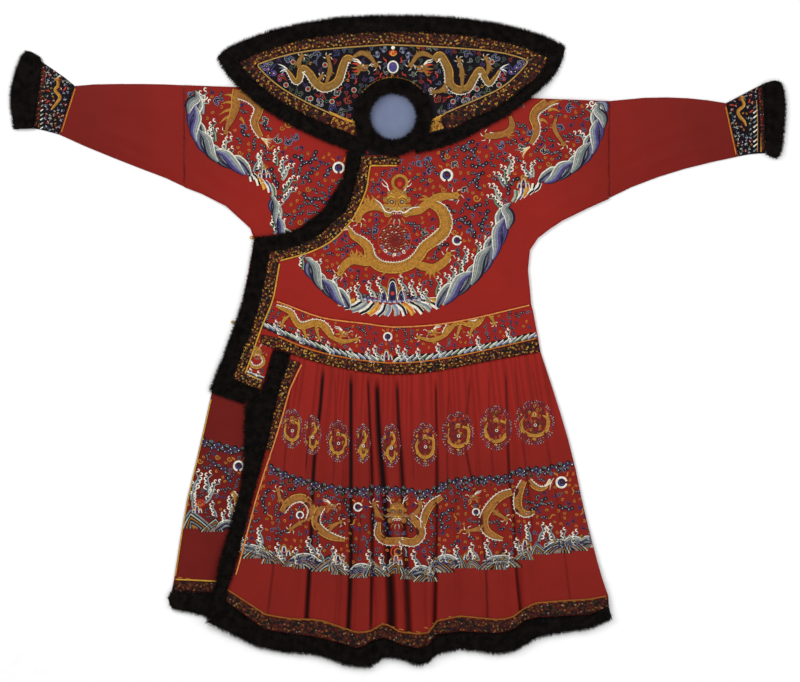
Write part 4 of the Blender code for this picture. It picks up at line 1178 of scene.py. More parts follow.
@dataclass
class FurStrip(Strip):
    """A strip of short dark fur: a soft core with hairs that lean outward."""

    seed: int = 1
    hair: float = 10 * MM
    gap: float = 1.55 * MM
    inset: float = 0.7 * MM
    core_height: float = 0.78
    hair_half: float = 0.42 * MM
    shares: tuple[float, ...] = (0.0, 0.1, 0.25, 0.42, 0.58, 0.75, 0.9, 1.0)

    def build(self) -> bpy.types.Object:
        """Build the fur over its node.

        Returns:
            The fur.
        """
        shape, first, second, closed = self.frame_lines()
        side = second - first
        width = np.maximum(np.linalg.norm(side, axis=1), 1e-6)
        inset = np.minimum(self.inset / width, 0.3)[:, None]
        near, far = first + side * inset, second - side * inset
        grid = np.zeros((len(first), len(self.shares), 3))
        low = np.zeros((len(first), len(self.shares)))
        for j, share in enumerate(self.shares):
            line = near + (far - near) * share
            for k, place in enumerate(line):
                bottom, top = shape.bottom(*place), shape.top(*place)
                rim = 0.45 if share in (0.0, 1.0) else 1.0
                grid[k, j] = (*place, bottom + (top - bottom) * self.core_height * rim)
                low[k, j] = bottom + 0.3 * MM
        points, faces = self._core(grid, low, closed)
        hairs, hair_faces = self._hairs(grid, closed, len(points))
        item = make_object(self.node + "_pile", np.vstack([points, hairs]), faces + hair_faces,
                           [FUR.material()])
        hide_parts(self.node)
        return item

    def _core(self, grid: np.ndarray, low: np.ndarray, closed: bool) -> tuple[np.ndarray, list]:
        """The closed body under the hairs.

        Args:
            grid: its upper points by row and column.
            low: heights of its underside.
            closed: whether its ends meet.

        Returns:
            Its points and faces.
        """
        rows, columns = low.shape
        under = np.dstack([grid[:, :, :2], low])
        points = np.vstack([grid.reshape(-1, 3), under.reshape(-1, 3)])
        plan_turn = np.cross(grid[1, 0, :2] - grid[0, 0, :2], grid[0, -1, :2] - grid[0, 0, :2])
        count = rows * columns
        faces = []

        def add(face: list[int]) -> None:
            """Keep a face with its outer side outward."""
            faces.append(face if plan_turn > 0 else face[::-1])

        spans = rows if closed else rows - 1
        for k in range(spans):
            after = (k + 1) % rows
            for j in range(columns - 1):
                a, b = k * columns + j, after * columns + j
                add([a, b, b + 1, a + 1])
                add([count + a, count + a + 1, count + b + 1, count + b])
            for j, order in ((0, 1), (columns - 1, -1)):
                a, b = k * columns + j, after * columns + j
                add([a, count + a, count + b, b][::order])
        if not closed:
            for k, order in ((0, 1), (rows - 1, -1)):
                for j in range(columns - 1):
                    a = k * columns + j
                    add([a, a + 1, count + a + 1, count + a][::order])
        return points, faces

    def _hairs(self, grid: np.ndarray, closed: bool, start: int) -> tuple[np.ndarray, list]:
        """Bent hairs rooted over the core.

        Args:
            grid: the core's upper points by row and column.
            closed: whether its ends meet.
            start: number of the first hair's first point.

        Returns:
            Their points and faces.
        """
        random = np.random.default_rng(self.seed)
        if closed:
            grid = np.concatenate([grid, grid[:1]], axis=0)
        side_a = grid[1:, :-1] - grid[:-1, :-1]
        side_b = grid[:-1, 1:] - grid[:-1, :-1]
        areas = np.linalg.norm(np.cross(side_a, side_b), axis=2)
        count = int(areas.sum() / self.gap ** 2)
        cells = random.choice(areas.size, count, p=(areas / areas.sum()).ravel())
        k, j = np.divmod(cells, grid.shape[1] - 1)
        u, v = random.random((2, count, 1))
        roots = ((1 - u) * (1 - v) * grid[k, j] + u * (1 - v) * grid[k + 1, j]
                 + u * v * grid[k + 1, j + 1] + (1 - u) * v * grid[k, j + 1])
        ahead = unit(grid[k + 1, j] - grid[k, j])
        over = unit(grid[k, -1] - grid[k, 0])
        shares = np.array(self.shares)
        place = shares[j][:, None] + v * (shares[j + 1] - shares[j])[:, None]
        lean = np.clip((place - 0.5) * 3.2, -1, 1) + random.normal(0, 0.35, (count, 1))
        turn = random.normal(0.15, 0.55, (count, 1))
        rise = 0.45 + 0.35 * random.random((count, 1))
        flat = over * lean + ahead * turn
        flat[:, 2] = 0.0
        size = self.hair * (0.65 + 0.5 * random.random((count, 1)))
        up = np.array([[0.0, 0.0, 1.0]])
        middle = roots + unit(flat * 0.75 + up * rise) * size * 0.5
        tip = middle + unit(flat + up * (rise - 0.55)) * size * 0.5
        tip[:, 2] = np.maximum(tip[:, 2], 0.6 * MM)
        broad = unit(np.stack([-flat[:, 1], flat[:, 0], np.zeros(count)], axis=1))
        broad[:, 2] = random.normal(0, 0.3, count)
        half = self.hair_half
        points = np.stack([roots - broad * half, roots + broad * half,
                           middle + broad * half * 0.8, middle - broad * half * 0.8, tip], axis=1)
        faces = []
        for index in range(count):
            base = start + 5 * index
            faces.append([base, base + 1, base + 2, base + 3])
            faces.append([base + 3, base + 2, base + 4])
        return points.reshape(-1, 3), faces


@dataclass
class Cord(Strip):
    """A couched cord of two strands twisted together."""

    thread: Thread = Thread.YELLOW
    pitch: float = 9 * MM
    strand: float = 1.35 * MM
    spread: float = 1.05 * MM
    sides: int = 5
    fine: float = 2.2 * MM

    def build(self) -> bpy.types.Object:
        """Build the cord over its node.

        Returns:
            The cord.
        """
        shape, first, second, _ = self.frame_lines()
        middle = (first + second) / 2
        line = resample(middle, self.fine)
        line = curve(line[::3] if len(line) > 12 else line, self.fine)
        base = np.array([shape.bottom(*place) for place in line])
        kernel = np.ones(5) / 5
        if len(base) > 12:
            padded = np.pad(base, 2, mode="edge")
            base = np.maximum(np.convolve(padded, kernel, "valid"), base)
        left = across(line)
        along = lengths(line)
        points: list = []
        faces: list = []
        for phase in (0.0, math.pi):
            turn = 2 * math.pi * along / self.pitch + phase
            aside = line + left * (self.spread * np.sin(turn))[:, None]
            height = base + self.strand + 0.6 * self.spread * (1 + np.cos(turn)) * 0.5
            start = len(points)
            for k in range(len(line)):
                for side in range(self.sides):
                    angle = 2 * math.pi * side / self.sides
                    place = aside[k] + left[k] * self.strand * math.cos(angle)
                    points.append((*place, height[k] + self.strand * 0.9 * math.sin(angle)))
            for k in range(len(line) - 1):
                for side in range(self.sides):
                    after = (side + 1) % self.sides
                    low, high = start + k * self.sides, start + (k + 1) * self.sides
                    faces.append([low + side, high + side, high + after, low + after])
            last = start + (len(line) - 1) * self.sides
            faces.append([start + side for side in range(self.sides)])
            faces.append([last + side for side in reversed(range(self.sides))])
        item = make_object(self.node + "_twist", np.array(points), faces,
                           [self.thread.value.material()])
        turn_outward(item)
        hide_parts(self.node)
        return item


class Ground:
    """The dressed surfaces that stitches lie on."""

    def __init__(self, items: list[bpy.types.Object]) -> None:
        """Gather the surfaces of finished pieces."""
        self.tree = surface_tree(items)

    def height(self, x: float, y: float) -> float | None:
        """Height of the surface at a place, or None beside the cloth."""
        hit = self.tree.ray_cast(Vector((x, y, SKY_HIGH)), Vector((0, 0, -1)))
        return None if hit[0] is None else hit[0].z


class Stitchery:
    """Raised stitches on one ground, gathered into one mesh. Places and widths are in pixels."""

    def __init__(self, name: str, ground: Ground) -> None:
        """Start with no stitches.

        Args:
            name: the mesh's name.
            ground: what the stitches lie on.
        """
        self.name = name
        self.ground = ground
        self.points: list[tuple[float, float, float]] = []
        self.faces: list[list[int]] = []
        self.slots: list[int] = []
        self.threads: list[Thread] = []

    def _slot(self, thread: Thread) -> int:
        """Number of a thread's finish on this mesh."""
        if thread not in self.threads:
            self.threads.append(thread)
        return self.threads.index(thread)

    @staticmethod
    def _rise(level: int) -> float:
        """Height of a layer of stitches above the cloth."""
        return (FIRST_LAYER + LAYER * level) * MM

    def _put(self, x: float, y: float, rise: float) -> int:
        """Add a point above the ground.

        Args:
            x: place across the robe, in metres.
            y: place along the robe, in metres.
            rise: height above the ground.

        Returns:
            The point's number.
        """
        height = self.ground.height(x, y)
        if height is None:
            return -1
        self.points.append((x, y, height + rise))
        return len(self.points) - 1

    def _face(self, corners: list[int], slot: int) -> None:
        """Add a face, unless one of its corners lies beside the cloth."""
        if min(corners) >= 0:
            self.faces.append(corners)
            self.slots.append(slot)

    def stroke(self, places: list[Point], width: float | list[float], thread: Thread,
               level: int = 0, fine: float = 1.3, smooth: bool = True) -> None:
        """Lay a rounded row of satin stitches.

        Args:
            places: where it runs, in pixels.
            width: its width, or one width for each place.
            thread: its thread.
            level: how many layers of stitches lie below it.
            fine: distance between its sections, in pixels.
            smooth: whether it runs in a smooth curve.
        """
        given = np.array(places, float)
        line = curve(given, fine) if smooth and len(given) > 2 else resample(given, fine)
        at = lengths(line) / max(lengths(line)[-1], 1e-9)
        if isinstance(width, (int, float)):
            widths = np.full(len(line), float(width))
        else:
            known = lengths(given) / max(lengths(given)[-1], 1e-9)
            widths = np.interp(at, known, width)
        left = across(line)
        rise = self._rise(level)
        slot = self._slot(thread)
        before = None
        for place, side, wide in zip(line, left, widths):
            ends = [place - side * wide / 2, place, place + side * wide / 2]
            crown = min(0.7 * MM, 0.16 * wide * PIXEL)
            row = [self._put(*spot(*end), rise + (crown if k == 1 else 0.0))
                   for k, end in enumerate(ends)]
            if before is not None:
                self._face([before[1], before[0], row[0], row[1]], slot)
                self._face([before[2], before[1], row[1], row[2]], slot)
            before = row

    def patch(self, outline: list[Point], thread: Thread, level: int = 0,
              smooth: bool = True, fine: float = 1.6) -> None:
        """Fill an outline with stitches, crowned in the middle.

        Args:
            outline: the outline, in pixels.
            thread: its thread.
            level: how many layers of stitches lie below it.
            smooth: whether the outline is a smooth curve.
            fine: distance between points on it, in pixels.
        """
        closed = np.array(outline + outline[:1], float)
        rim = (curve(closed, fine) if smooth else resample(closed, fine))[:-1]
        middle = rim.mean(axis=0)
        rise = self._rise(level)
        slot = self._slot(thread)
        outer = [self._put(*spot(*place), rise) for place in rim]
        inner = [self._put(*spot(*(middle + 0.6 * (place - middle))), rise + 0.35 * MM)
                 for place in rim]
        hub = self._put(*spot(*middle), rise + 0.45 * MM)
        count = len(rim)
        turn = np.sum(rim[:, 0] * np.roll(rim[:, 1], -1) - np.roll(rim[:, 0], -1) * rim[:, 1])
        for k in range(count):
            after = (k + 1) % count
            wall = [outer[k], outer[after], inner[after], inner[k]]
            roof = [inner[k], inner[after], hub]
            self._face(wall[::-1] if turn > 0 else wall, slot)
            self._face(roof[::-1] if turn > 0 else roof, slot)

    def dot(self, x: float, y: float, radius: float, thread: Thread, level: int = 0,
            sides: int = 7, squash: float = 1.0) -> None:
        """Lay a round or oval knot of stitches.

        Args:
            x: its place to the right, in pixels.
            y: its place downward, in pixels.
            radius: its radius.
            thread: its thread.
            level: how many layers of stitches lie below it.
            sides: how many corners it has.
            squash: its height as a share of its width.
        """
        angles = [2 * math.pi * k / sides for k in range(sides)]
        rim = [(x + radius * math.cos(angle), y + radius * squash * math.sin(angle))
               for angle in angles]
        rise = self._rise(level)
        slot = self._slot(thread)
        outer = [self._put(*spot(*place), rise) for place in rim]
        hub = self._put(*spot(x, y), rise + min(0.6 * MM, 0.3 * radius * PIXEL))
        for k in range(sides):
            self._face([outer[(k + 1) % sides], outer[k], hub], slot)

    def ring(self, x: float, y: float, radius: float, width: float, thread: Thread,
             level: int = 0, start: float = 0.0, end: float = 360.0, tall: float = 1.0) -> None:
        """Lay a ring or an arc of stitches; angles are in degrees, clockwise as seen.

        Args:
            x: its place to the right, in pixels.
            y: its place downward, in pixels.
            radius: its radius.
            width: its width.
            thread: its thread.
            level: how many layers of stitches lie below it.
            start: angle of its start.
            end: angle of its end.
            tall: its height as a share of its width.
        """
        steps = max(7, int(abs(end - start) / 26))
        turns = np.radians(np.linspace(start, end, steps))
        self.stroke([(x + radius * math.cos(turn), y + radius * tall * math.sin(turn))
                     for turn in turns], width, thread, level, fine=1.2)

    def finish(self, slot: str) -> bpy.types.Object:
        """Make the mesh of all stitches so far.

        Args:
            slot: not used.

        Returns:
            The mesh.
        """
        item = make_object(self.name, np.array(self.points), self.faces,
                           [thread.value.material() for thread in self.threads], self.slots)
        return item


DULL_THREADS = (Thread.DEEP_GOLD, Thread.DARK_RED, Thread.BRONZE, Thread.DEEP_GOLD)
RED_THREADS = (Thread.CORAL, Thread.DARK_RED, Thread.RED, Thread.BRONZE)


@dataclass
class Brocade(Strip):
    """A woven border: a dark band with small gold scrolls."""

    pitch: float = 7.2 * MM
    seed: int = 1
    shares: tuple[float, ...] = (0.0, 0.06, 0.5, 0.94, 1.0)
    threads: tuple[Thread, ...] = (Thread.GOLD, Thread.DEEP_GOLD, Thread.YELLOW, Thread.BRONZE)

    def build(self) -> list[bpy.types.Object]:
        """Build the band over its node and its scrolls.

        Returns:
            The band and its scrolls.
        """
        shape, first, second, _ = self.frame_lines()
        middle = shape.loops[0].mean(axis=0)
        side = second - first
        rows, columns = len(first), len(self.shares)
        top, low = np.zeros((rows, columns, 3)), np.zeros((rows, columns, 3))
        for j, share in enumerate(self.shares):
            for k, place in enumerate(first + side * share):
                away = middle - place
                probe = place + 0.5 * MM * away / max(np.linalg.norm(away), 1e-9)
                rim = 0.5 * MM if share in (0.0, 1.0) else 0.0
                high, bottom = shape.top(*probe), shape.bottom(*probe)
                top[k, j] = (*place, max(high - rim, bottom + 0.2 * MM))
                low[k, j] = (*place, bottom)
        points = np.vstack([top.reshape(-1, 3), low.reshape(-1, 3)])
        faces = []
        count = rows * columns
        for k in range(rows - 1):
            for j in range(columns - 1):
                a, b = k * columns + j, (k + 1) * columns + j
                faces.append([a, b, b + 1, a + 1])
                faces.append([count + a, count + a + 1, count + b + 1, count + b])
            for j in (0, columns - 1):
                a, b = k * columns + j, (k + 1) * columns + j
                faces.append([a, count + a, count + b, b])
        for k in (0, rows - 1):
            for j in range(columns - 1):
                a = k * columns + j
                faces.append([a, a + 1, count + a + 1, count + a])
        band = make_object(self.node + "_band", points, faces, [BROCADE_GROUND.material()])
        turn_outward(band)
        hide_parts(self.node)
        return [band, self._scrolls(band, first, second)]

    def _scrolls(self, band: bpy.types.Object, first: np.ndarray,
                 second: np.ndarray) -> bpy.types.Object:
        """Rows of small curls with buds between them.

        Args:
            band: the band that they lie on.
            first: its one long edge.
            second: its other long edge.

        Returns:
            The scrolls.
        """
        random = np.random.default_rng(self.seed)
        work = Stitchery(self.node + "_scrolls", Ground([band]))
        middle = (first + second) / 2
        along = lengths(middle)
        wide = np.linalg.norm(second - first, axis=1)
        rows = 3 if np.median(wide) > 17 * MM else 2
        count = max(2, int(along[-1] / self.pitch))
        for index in range(count):
            for row in range(rows):
                at = (index + 0.5 + 0.4 * (row - 0.5) + random.uniform(-0.4, 0.4)) * self.pitch
                if not self.pitch * 0.5 < at < along[-1] - self.pitch * 0.45:
                    continue
                share = (row + 0.5) / rows + random.uniform(-0.12, 0.12)
                a = np.array([np.interp(at, along, first[:, k]) for k in range(2)])
                b = np.array([np.interp(at, along, second[:, k]) for k in range(2)])
                centre = a + (b - a) * share
                size = 0.46 * min(np.linalg.norm(b - a) / rows, self.pitch)
                start = random.uniform(0, 2 * math.pi)
                way = random.choice([-1.0, 1.0])
                turns = np.linspace(0.0, random.uniform(1.0, 1.7) * math.pi, 6)
                radii = size * np.linspace(1.0, 0.3, 6)
                line = [(centre[0] + radius * math.cos(start + way * turn),
                         centre[1] + radius * math.sin(start + way * turn))
                        for turn, radius in zip(turns, radii)]
                thread = self.threads[random.integers(len(self.threads))]
                work.stroke([pixel(x, y) for x, y in line], [0.35, 0.55, 0.7, 0.65, 0.5, 0.35],
                            thread, fine=1.0)
                if random.random() < 0.35:
                    bud = Thread.PALE if random.random() < 0.25 else thread
                    work.dot(*pixel(*centre), 0.5, bud, 1, 5)
        return work.finish("brocade")


@dataclass(frozen=True)
class Fold:
    """A pressed fold of the front skirt, by pixels of the photograph."""

    line: tuple[Point, ...]
    width: tuple[float, float] = (2.0, 3.0)
    depth: float = 6.0 * MM
    shade: float = 0.85
    step: float = 0.0

    def lay(self, places: np.ndarray) -> tuple[np.ndarray, np.ndarray]:
        """Height change and shade that the fold gives at each place, in pixels.

        Args:
            places: the places, in pixels.

        Returns:
            The height changes and the shades.
        """
        line = curve(np.array(self.line, float), 6.0)
        order = np.argsort(line[:, 1])
        rows, xs = line[order, 1], line[order, 0]
        y = places[:, 1]
        share = np.clip((y - rows[0]) / (rows[-1] - rows[0]), 0, 1)
        away = places[:, 0] - np.interp(y, rows, xs)
        fade = np.clip((y - rows[0] + 8) / 14, 0, 1) * np.clip((rows[-1] + 8 - y) / 14, 0, 1)
        wide = (self.width[0] + share * (self.width[1] - self.width[0])) / 2
        groove = np.exp(-(np.abs(away) / (wide * 1.15)) ** 3)
        height = -self.depth * groove * fade
        if self.step:
            over = np.clip(1 - np.abs(away) / 26, 0, 1)
            height = height + self.step * fade * over * np.where(away < 0, 1.0, 0.0)
        return height, self.shade * groove * fade


@dataclass
class Body:
    """The robe's fronts and back, with the lining seen in the neck."""

    spacing: float = 6 * MM
    hidden_spacing: float = 13 * MM
    main_creases: tuple[Crease, ...] = (
        Crease(((604, 160), (590, 186), (560, 206), (535, 215)), 14 * MM, 2.2 * MM),
        Crease(((606, 178), (580, 205), (548, 224)), 10 * MM, 1.6 * MM),
        Crease(((610, 118), (600, 150), (607, 176)), 12 * MM, 1.4 * MM),
        Crease(((528, 225), (520, 250), (532, 300)), 9 * MM, 2.0 * MM),
        Crease(((470, 262), (492, 280), (520, 284)), 8 * MM, 1.2 * MM),
        Crease(((470, 120), (480, 170), (470, 225)), 16 * MM, 0.8 * MM),
    )
    under_creases: tuple[Crease, ...] = (
        Crease(((192, 150), (215, 175), (250, 196)), 12 * MM, 2.0 * MM),
        Crease(((186, 172), (214, 196), (250, 222)), 10 * MM, 1.8 * MM),
        Crease(((262, 240), (266, 262), (258, 290)), 8 * MM, 1.6 * MM),
        Crease(((205, 98), (225, 130), (232, 160)), 14 * MM, 0.9 * MM),
    )
    back_creases: tuple[Crease, ...] = (
        Crease(((400, 90), (404, 190), (398, 330)), 8 * MM, 1.2 * MM),
        Crease(((250, 100), (300, 190), (310, 320)), 16 * MM, 1.1 * MM),
        Crease(((560, 110), (500, 200), (492, 320)), 18 * MM, 1.1 * MM),
        Crease(((200, 120), (260, 200), (285, 290)), 12 * MM, 1.0 * MM),
        Crease(((600, 140), (552, 200), (530, 300)), 12 * MM, 1.0 * MM),
        Crease(((300, 300), (400, 316), (500, 298)), 9 * MM, 1.2 * MM),
    )
    pieces: list[bpy.types.Object] = field(default_factory=list)

    def build(self) -> "Body":
        """Build the panels.

        Returns:
            The body.
        """
        specs = (
            Panel("back_body", RED_SILK, "red_silk", self.hidden_spacing, (), 0.0, (),
                  self.back_creases, 1.0),
            Panel("front_under", RED_SILK, "red_silk", self.spacing, self.under_creases, 0.7 * MM,
                  ("back_body",), (), 2.0),
            Panel("front_main", RED_SILK, "red_silk", self.spacing, self.main_creases, 0.9 * MM,
                  ("front_under", "back_body"), (), 3.0),
            Panel("neck_lining", PALE_SILK, "pale_silk", 5 * MM, (), 0.5 * MM, ("back_body",),
                  (), 4.0),
        )
        for panel in specs:
            item = panel.build()
            self.pieces.append(item)
            LOG.info("built %s", item.name)
        return self


@dataclass
class Sleeves:
    """Both sleeves with their horse-hoof cuffs."""

    left_creases: tuple[Crease, ...] = (
        Crease(((88, 128), (118, 134), (152, 152), (186, 186)), 12 * MM, 1.6 * MM),
        Crease(((96, 96), (130, 104), (176, 112)), 18 * MM, 1.2 * MM),
        Crease(((150, 92), (164, 120), (188, 150)), 12 * MM, 1.3 * MM),
        Crease(((100, 140), (140, 160), (178, 176)), 6 * MM, 1.0 * MM),
    )
    right_creases: tuple[Crease, ...] = (
        Crease(((632, 178), (655, 164), (690, 151), (722, 144)), 9 * MM, 2.4 * MM),
        Crease(((612, 184), (634, 168), (668, 156), (706, 136)), 7 * MM, 1.8 * MM),
        Crease(((612, 170), (640, 146), (690, 128), (722, 118)), 12 * MM, 1.8 * MM),
        Crease(((612, 140), (650, 120), (700, 112)), 18 * MM, 1.2 * MM),
    )
    hidden_creases: tuple[Crease, ...] = (
        Crease(((640, 176), (668, 160), (722, 140)), 8 * MM, 1.0 * MM),
        Crease(((616, 130), (660, 120), (716, 116)), 12 * MM, 1.0 * MM),
        Crease(((180, 180), (150, 150), (90, 126)), 8 * MM, 1.0 * MM),
        Crease(((186, 120), (140, 108), (98, 100)), 12 * MM, 1.0 * MM),
    )
    pieces: dict[str, bpy.types.Object] = field(default_factory=dict)

    def build(self) -> "Sleeves":
        """Build the sleeves, cuffs and their trims.

        Returns:
            The sleeves.
        """
        left = ((-525.5, 628), (-793, 626), (-832, 507), (-525.5, 379))
        right = ((805, 584), (518.5, 589), (518.5, 351), (835, 453))
        cuff_left = ((-793.6, 626.4), (-874, 685), (-894, 522), (-832.6, 507.2))
        cuff_right = ((896, 631), (805.6, 584.2), (835.6, 453.2), (903, 461))
        tubes = (
            Tube("sleeve_left", left, RED_SLEEVES, "red_silk", (), self.left_creases,
                 self.hidden_creases, 6 * MM, seed=11.0),
            Tube("sleeve_right", right, RED_SLEEVES, "red_silk", (), self.right_creases,
                 self.hidden_creases, 6 * MM, seed=12.0),
            Tube("cuff_left", cuff_left, DARK_SILK, "dark_silk", (), (), (), 5 * MM, seed=13.0),
            Tube("cuff_right", cuff_right, DARK_SILK, "dark_silk", (), (), (), 5 * MM, seed=14.0),
        )
        for tube in tubes:
            self.pieces[tube.node] = tube.build()
            LOG.info("built %s", tube.node)
        for side, seed in (("left", 21), ("right", 31)):
            FurStrip(f"cuff_fur_{side}", seed=seed).build()
            FurStrip(f"cuff_fur_under_{side}", seed=seed + 1, hair=8 * MM, gap=2.6 * MM,
                     inset=4 * MM).build()
            Cord(f"cuff_seam_cord_{side}", thread=Thread.ORANGE, spread=0.8 * MM).build()
            Brocade(f"cuff_band_{side}", seed=seed + 2, threads=RED_THREADS).build()
            LOG.info("built the trims of the %s cuff", side)
        return self


@dataclass
class Cape:
    """The winged cape collar with its border and fur, and the fur ring round the neck."""

    fur_gap: float = 1.7 * MM
    creases: tuple[Crease, ...] = (
        Crease(((262, 66), (300, 70), (340, 64)), 10 * MM, 0.8 * MM),
        Crease(((520, 64), (480, 68), (446, 62)), 10 * MM, 0.8 * MM),
    )
    panel: bpy.types.Object | None = None

    def build(self) -> "Cape":
        """Build the cape and its trims.

        Returns:
            The cape.
        """
        self.panel = Panel("cape_panel", DARK_SILK, "dark_silk", 6 * MM, self.creases, 0.4 * MM,
                           ("front_main", "front_under", "back_body"), (), 5.0).build()
        for seed, node in enumerate(("cape_fur_left", "cape_fur_top", "cape_fur_right")):
            FurStrip(node, seed=41 + seed, gap=self.fur_gap).build()
        FurStrip("neck_fur", seed=45, gap=1.5 * MM, hair=11 * MM).build()
        Brocade("cape_brocade", seed=46).build()
        Cord("cape_cord", thread=Thread.PALE_GOLD).build()
        Cord("neck_cord", spread=0.8 * MM, strand=1.1 * MM).build()
        LOG.info("built the cape collar")
        return self


@dataclass
class Closing:
    """The strips of the curved closing, of the side below it and of the square flap."""

    def build(self) -> "Closing":
        """Build the strips.

        Returns:
            The closing.
        """
        for seed, word in enumerate(("opening", "side", "flap")):
            FurStrip(f"{word}_fur", seed=51 + seed, gap=1.5 * MM).build()
            Brocade(f"{word}_brocade", seed=61 + seed).build()
            Cord(f"{word}_cord").build()
            LOG.info("built the %s strips", word)
        return self


@dataclass
class Waist:
    """The waist band between two cords, the border below it and the flap's cloth."""

    creases: tuple[Crease, ...] = (
        Crease(((290, 322), (330, 340), (380, 350)), 7 * MM, 0.5 * MM),
        Crease(((420, 350), (470, 338), (520, 324)), 7 * MM, 0.5 * MM),
    )
    pieces: list[bpy.types.Object] = field(default_factory=list)

    def build(self) -> "Waist":
        """Build the band, the flap, the cords and the border.

        Returns:
            The waist.
        """
        self.pieces.append(Panel("waist_band", RED_SILK, "red_silk", 5 * MM, self.creases,
                                 0.4 * MM, ("front_main", "back_body"), (), 6.0).build())
        self.pieces.append(Panel("flap", RED_SILK, "red_silk", 4.5 * MM, (), 0.5 * MM,
                                 ("front_main", "back_body", "skirt_back"), (), 7.0).build())
        Cord("waist_cord_top", thread=Thread.AMBER).build()
        Cord("waist_cord_low", thread=Thread.ORANGE, spread=0.8 * MM, strand=1.1 * MM).build()
        Brocade("waist_brocade", seed=71).build()
        LOG.info("built the waist band")
        return self


@dataclass
class FrontSkirt:
    """The pleated front skirt with fur, border and cord on its edge and hem."""

    corners: tuple[Point, ...] = ((-264, -32.5), (350, -27.5), (517, -652), (-422, -640))
    columns: int = 300
    rows: int = 72
    folds: tuple[Fold, ...] = (
        Fold(((290, 366), (287, 430), (281, 500), (268, 612)), (1.2, 2.0), 3 * MM, 0.45),
        Fold(((323, 372), (320, 410), (316, 440), (313, 480), (311, 540), (306, 630)),
             (3.4, 4.2), 7 * MM, 1.0, 1.2 * MM),
        Fold(((309, 420), (308, 440), (306, 470)), (1.6, 1.2), 4 * MM, 0.7),
        Fold(((335, 380), (336, 430), (333, 480)), (1.0, 1.2), 3 * MM, 0.4),
        Fold(((351, 378), (351, 416), (351, 480), (351, 560), (348, 640)), (3.8, 4.4),
             7 * MM, 1.0, 1.0 * MM),
        Fold(((361, 500), (360, 530), (357, 560)), (1.2, 1.0), 3 * MM, 0.5),
        Fold(((368, 380), (370, 430), (372, 480), (372, 560), (371, 630)), (2.4, 2.8),
             6 * MM, 0.9),
        Fold(((377, 384), (379, 434), (384, 490), (388, 540), (391, 600), (391, 640)),
             (4.6, 8.5), 9 * MM, 1.0, 1.4 * MM),
        Fold(((397, 384), (399, 430), (402, 471), (405, 542), (409, 640)), (3.4, 5.4),
             7 * MM, 0.9),
        Fold(((411, 390), (412, 440), (414, 480)), (1.0, 1.0), 3 * MM, 0.4),
        Fold(((436, 386), (437, 485), (436, 563), (434, 650)), (2.0, 3.0), 7 * MM, 0.85, 2.2 * MM),
        Fold(((449, 390), (447, 440), (448, 490)), (1.2, 1.2), 3 * MM, 0.45),
        Fold(((470, 382), (466, 424), (466, 450), (476, 500), (485, 560), (488, 640)),
             (1.8, 1.6), 5 * MM, 0.6, 0.8 * MM),
        Fold(((489, 378), (490, 430), (494, 480)), (1.2, 1.2), 3 * MM, 0.4),
        Fold(((506, 374), (509, 470), (514, 520), (516, 562), (522, 625)), (2.0, 2.8),
             7 * MM, 0.8, 2.0 * MM),
        Fold(((515, 372), (520, 420), (527, 475), (533, 540)), (1.6, 1.2), 4 * MM, 0.5),
        Fold(((532, 370), (548, 450), (560, 520), (570, 600)), (1.2, 1.4), 3 * MM, 0.35),
    )
    gathers_end: float = 402.0
    gather_rise: float = 1.3 * MM
    gather_shade: float = 0.26
    inset: float = 0.0008
    thinnest: float = 0.9 * MM
    cloth: bpy.types.Object | None = None

    def build(self) -> "FrontSkirt":
        """Build the skirt and its trims.

        Returns:
            The skirt.
        """
        self.cloth = self._pleated_cloth()
        FurStrip("skirt_edge_fur", seed=81, gap=1.8 * MM, hair=12 * MM).build()
        FurStrip("hem_fur", seed=82, gap=1.8 * MM, hair=12 * MM).build()
        Brocade("skirt_edge_brocade", seed=83).build()
        Brocade("hem_brocade", seed=84, step=7 * MM, threads=DULL_THREADS).build()
        Cord("skirt_edge_cord", thread=Thread.AMBER).build()
        Cord("hem_cord", thread=Thread.BRONZE).build()
        LOG.info("built the front skirt")
        return self

    def _pleated_cloth(self) -> bpy.types.Object:
        """The pleated cloth itself.

        Returns:
            The cloth.
        """
        shape = NodeShape("skirt_front")
        corners = [(x * MM, y * MM) for x, y in self.corners]
        sides = four_sides(shape.loops[0], corners)
        u = np.linspace(0.0, 1.0, self.columns)
        v = np.linspace(0.0, 1.0, self.rows)
        plan = between_sides(sides, u, v).reshape(-1, 2)
        inner = drawn_in(plan, plan.mean(axis=0), self.inset)
        top = np.array([shape.top(*place) for place in inner])
        bottom = np.array([shape.bottom(*place) for place in inner])
        floor = shape.low.z
        places = np.column_stack(pixel(plan[:, 0], plan[:, 1]))
        lift = np.zeros(len(plan))
        shade = np.zeros(len(plan))
        # Painted shade in each fold's groove, kept for the fold_shade attribute.
        for fold in self.folds:
            height, dark = fold.lay(places)
            lift += height
            shade = np.maximum(shade, dark)
        gather = self._gathers(places)
        lift += gather * self.gather_rise
        # Painted shade in the troughs of the gathers.
        shade = np.maximum(shade, np.clip(-gather, 0, 1) * self.gather_shade)
        cover = Cover("skirt_front")
        free = np.array([1.0 if value < 0 else cover.free(x, y, z, 10 * MM)
                         for (x, y), z, value in zip(plan, top, lift)])
        top = top + lift * free
        lowest = np.minimum(bottom, floor + 2.2 * MM + 0.25 * (bottom - floor))
        top = np.maximum(top, lowest + 1.0 * MM)
        bottom = np.minimum(bottom, top - self.thinnest)
        tris = []
        for j in range(self.rows - 1):
            for i in range(self.columns - 1):
                a = j * self.columns + i
                tris.append([a, a + self.columns, a + self.columns + 1, a + 1])
        item = shell("skirt_front_cloth", plan, tris, top, bottom, [RED_PLEATS.material()])
        values = np.concatenate([shade, np.zeros(len(plan))]).astype(np.float32)
        layer = item.data.attributes.new("fold_shade", "FLOAT", "POINT")
        layer.data.foreach_set("value", values)
        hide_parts("skirt_front")
        return item

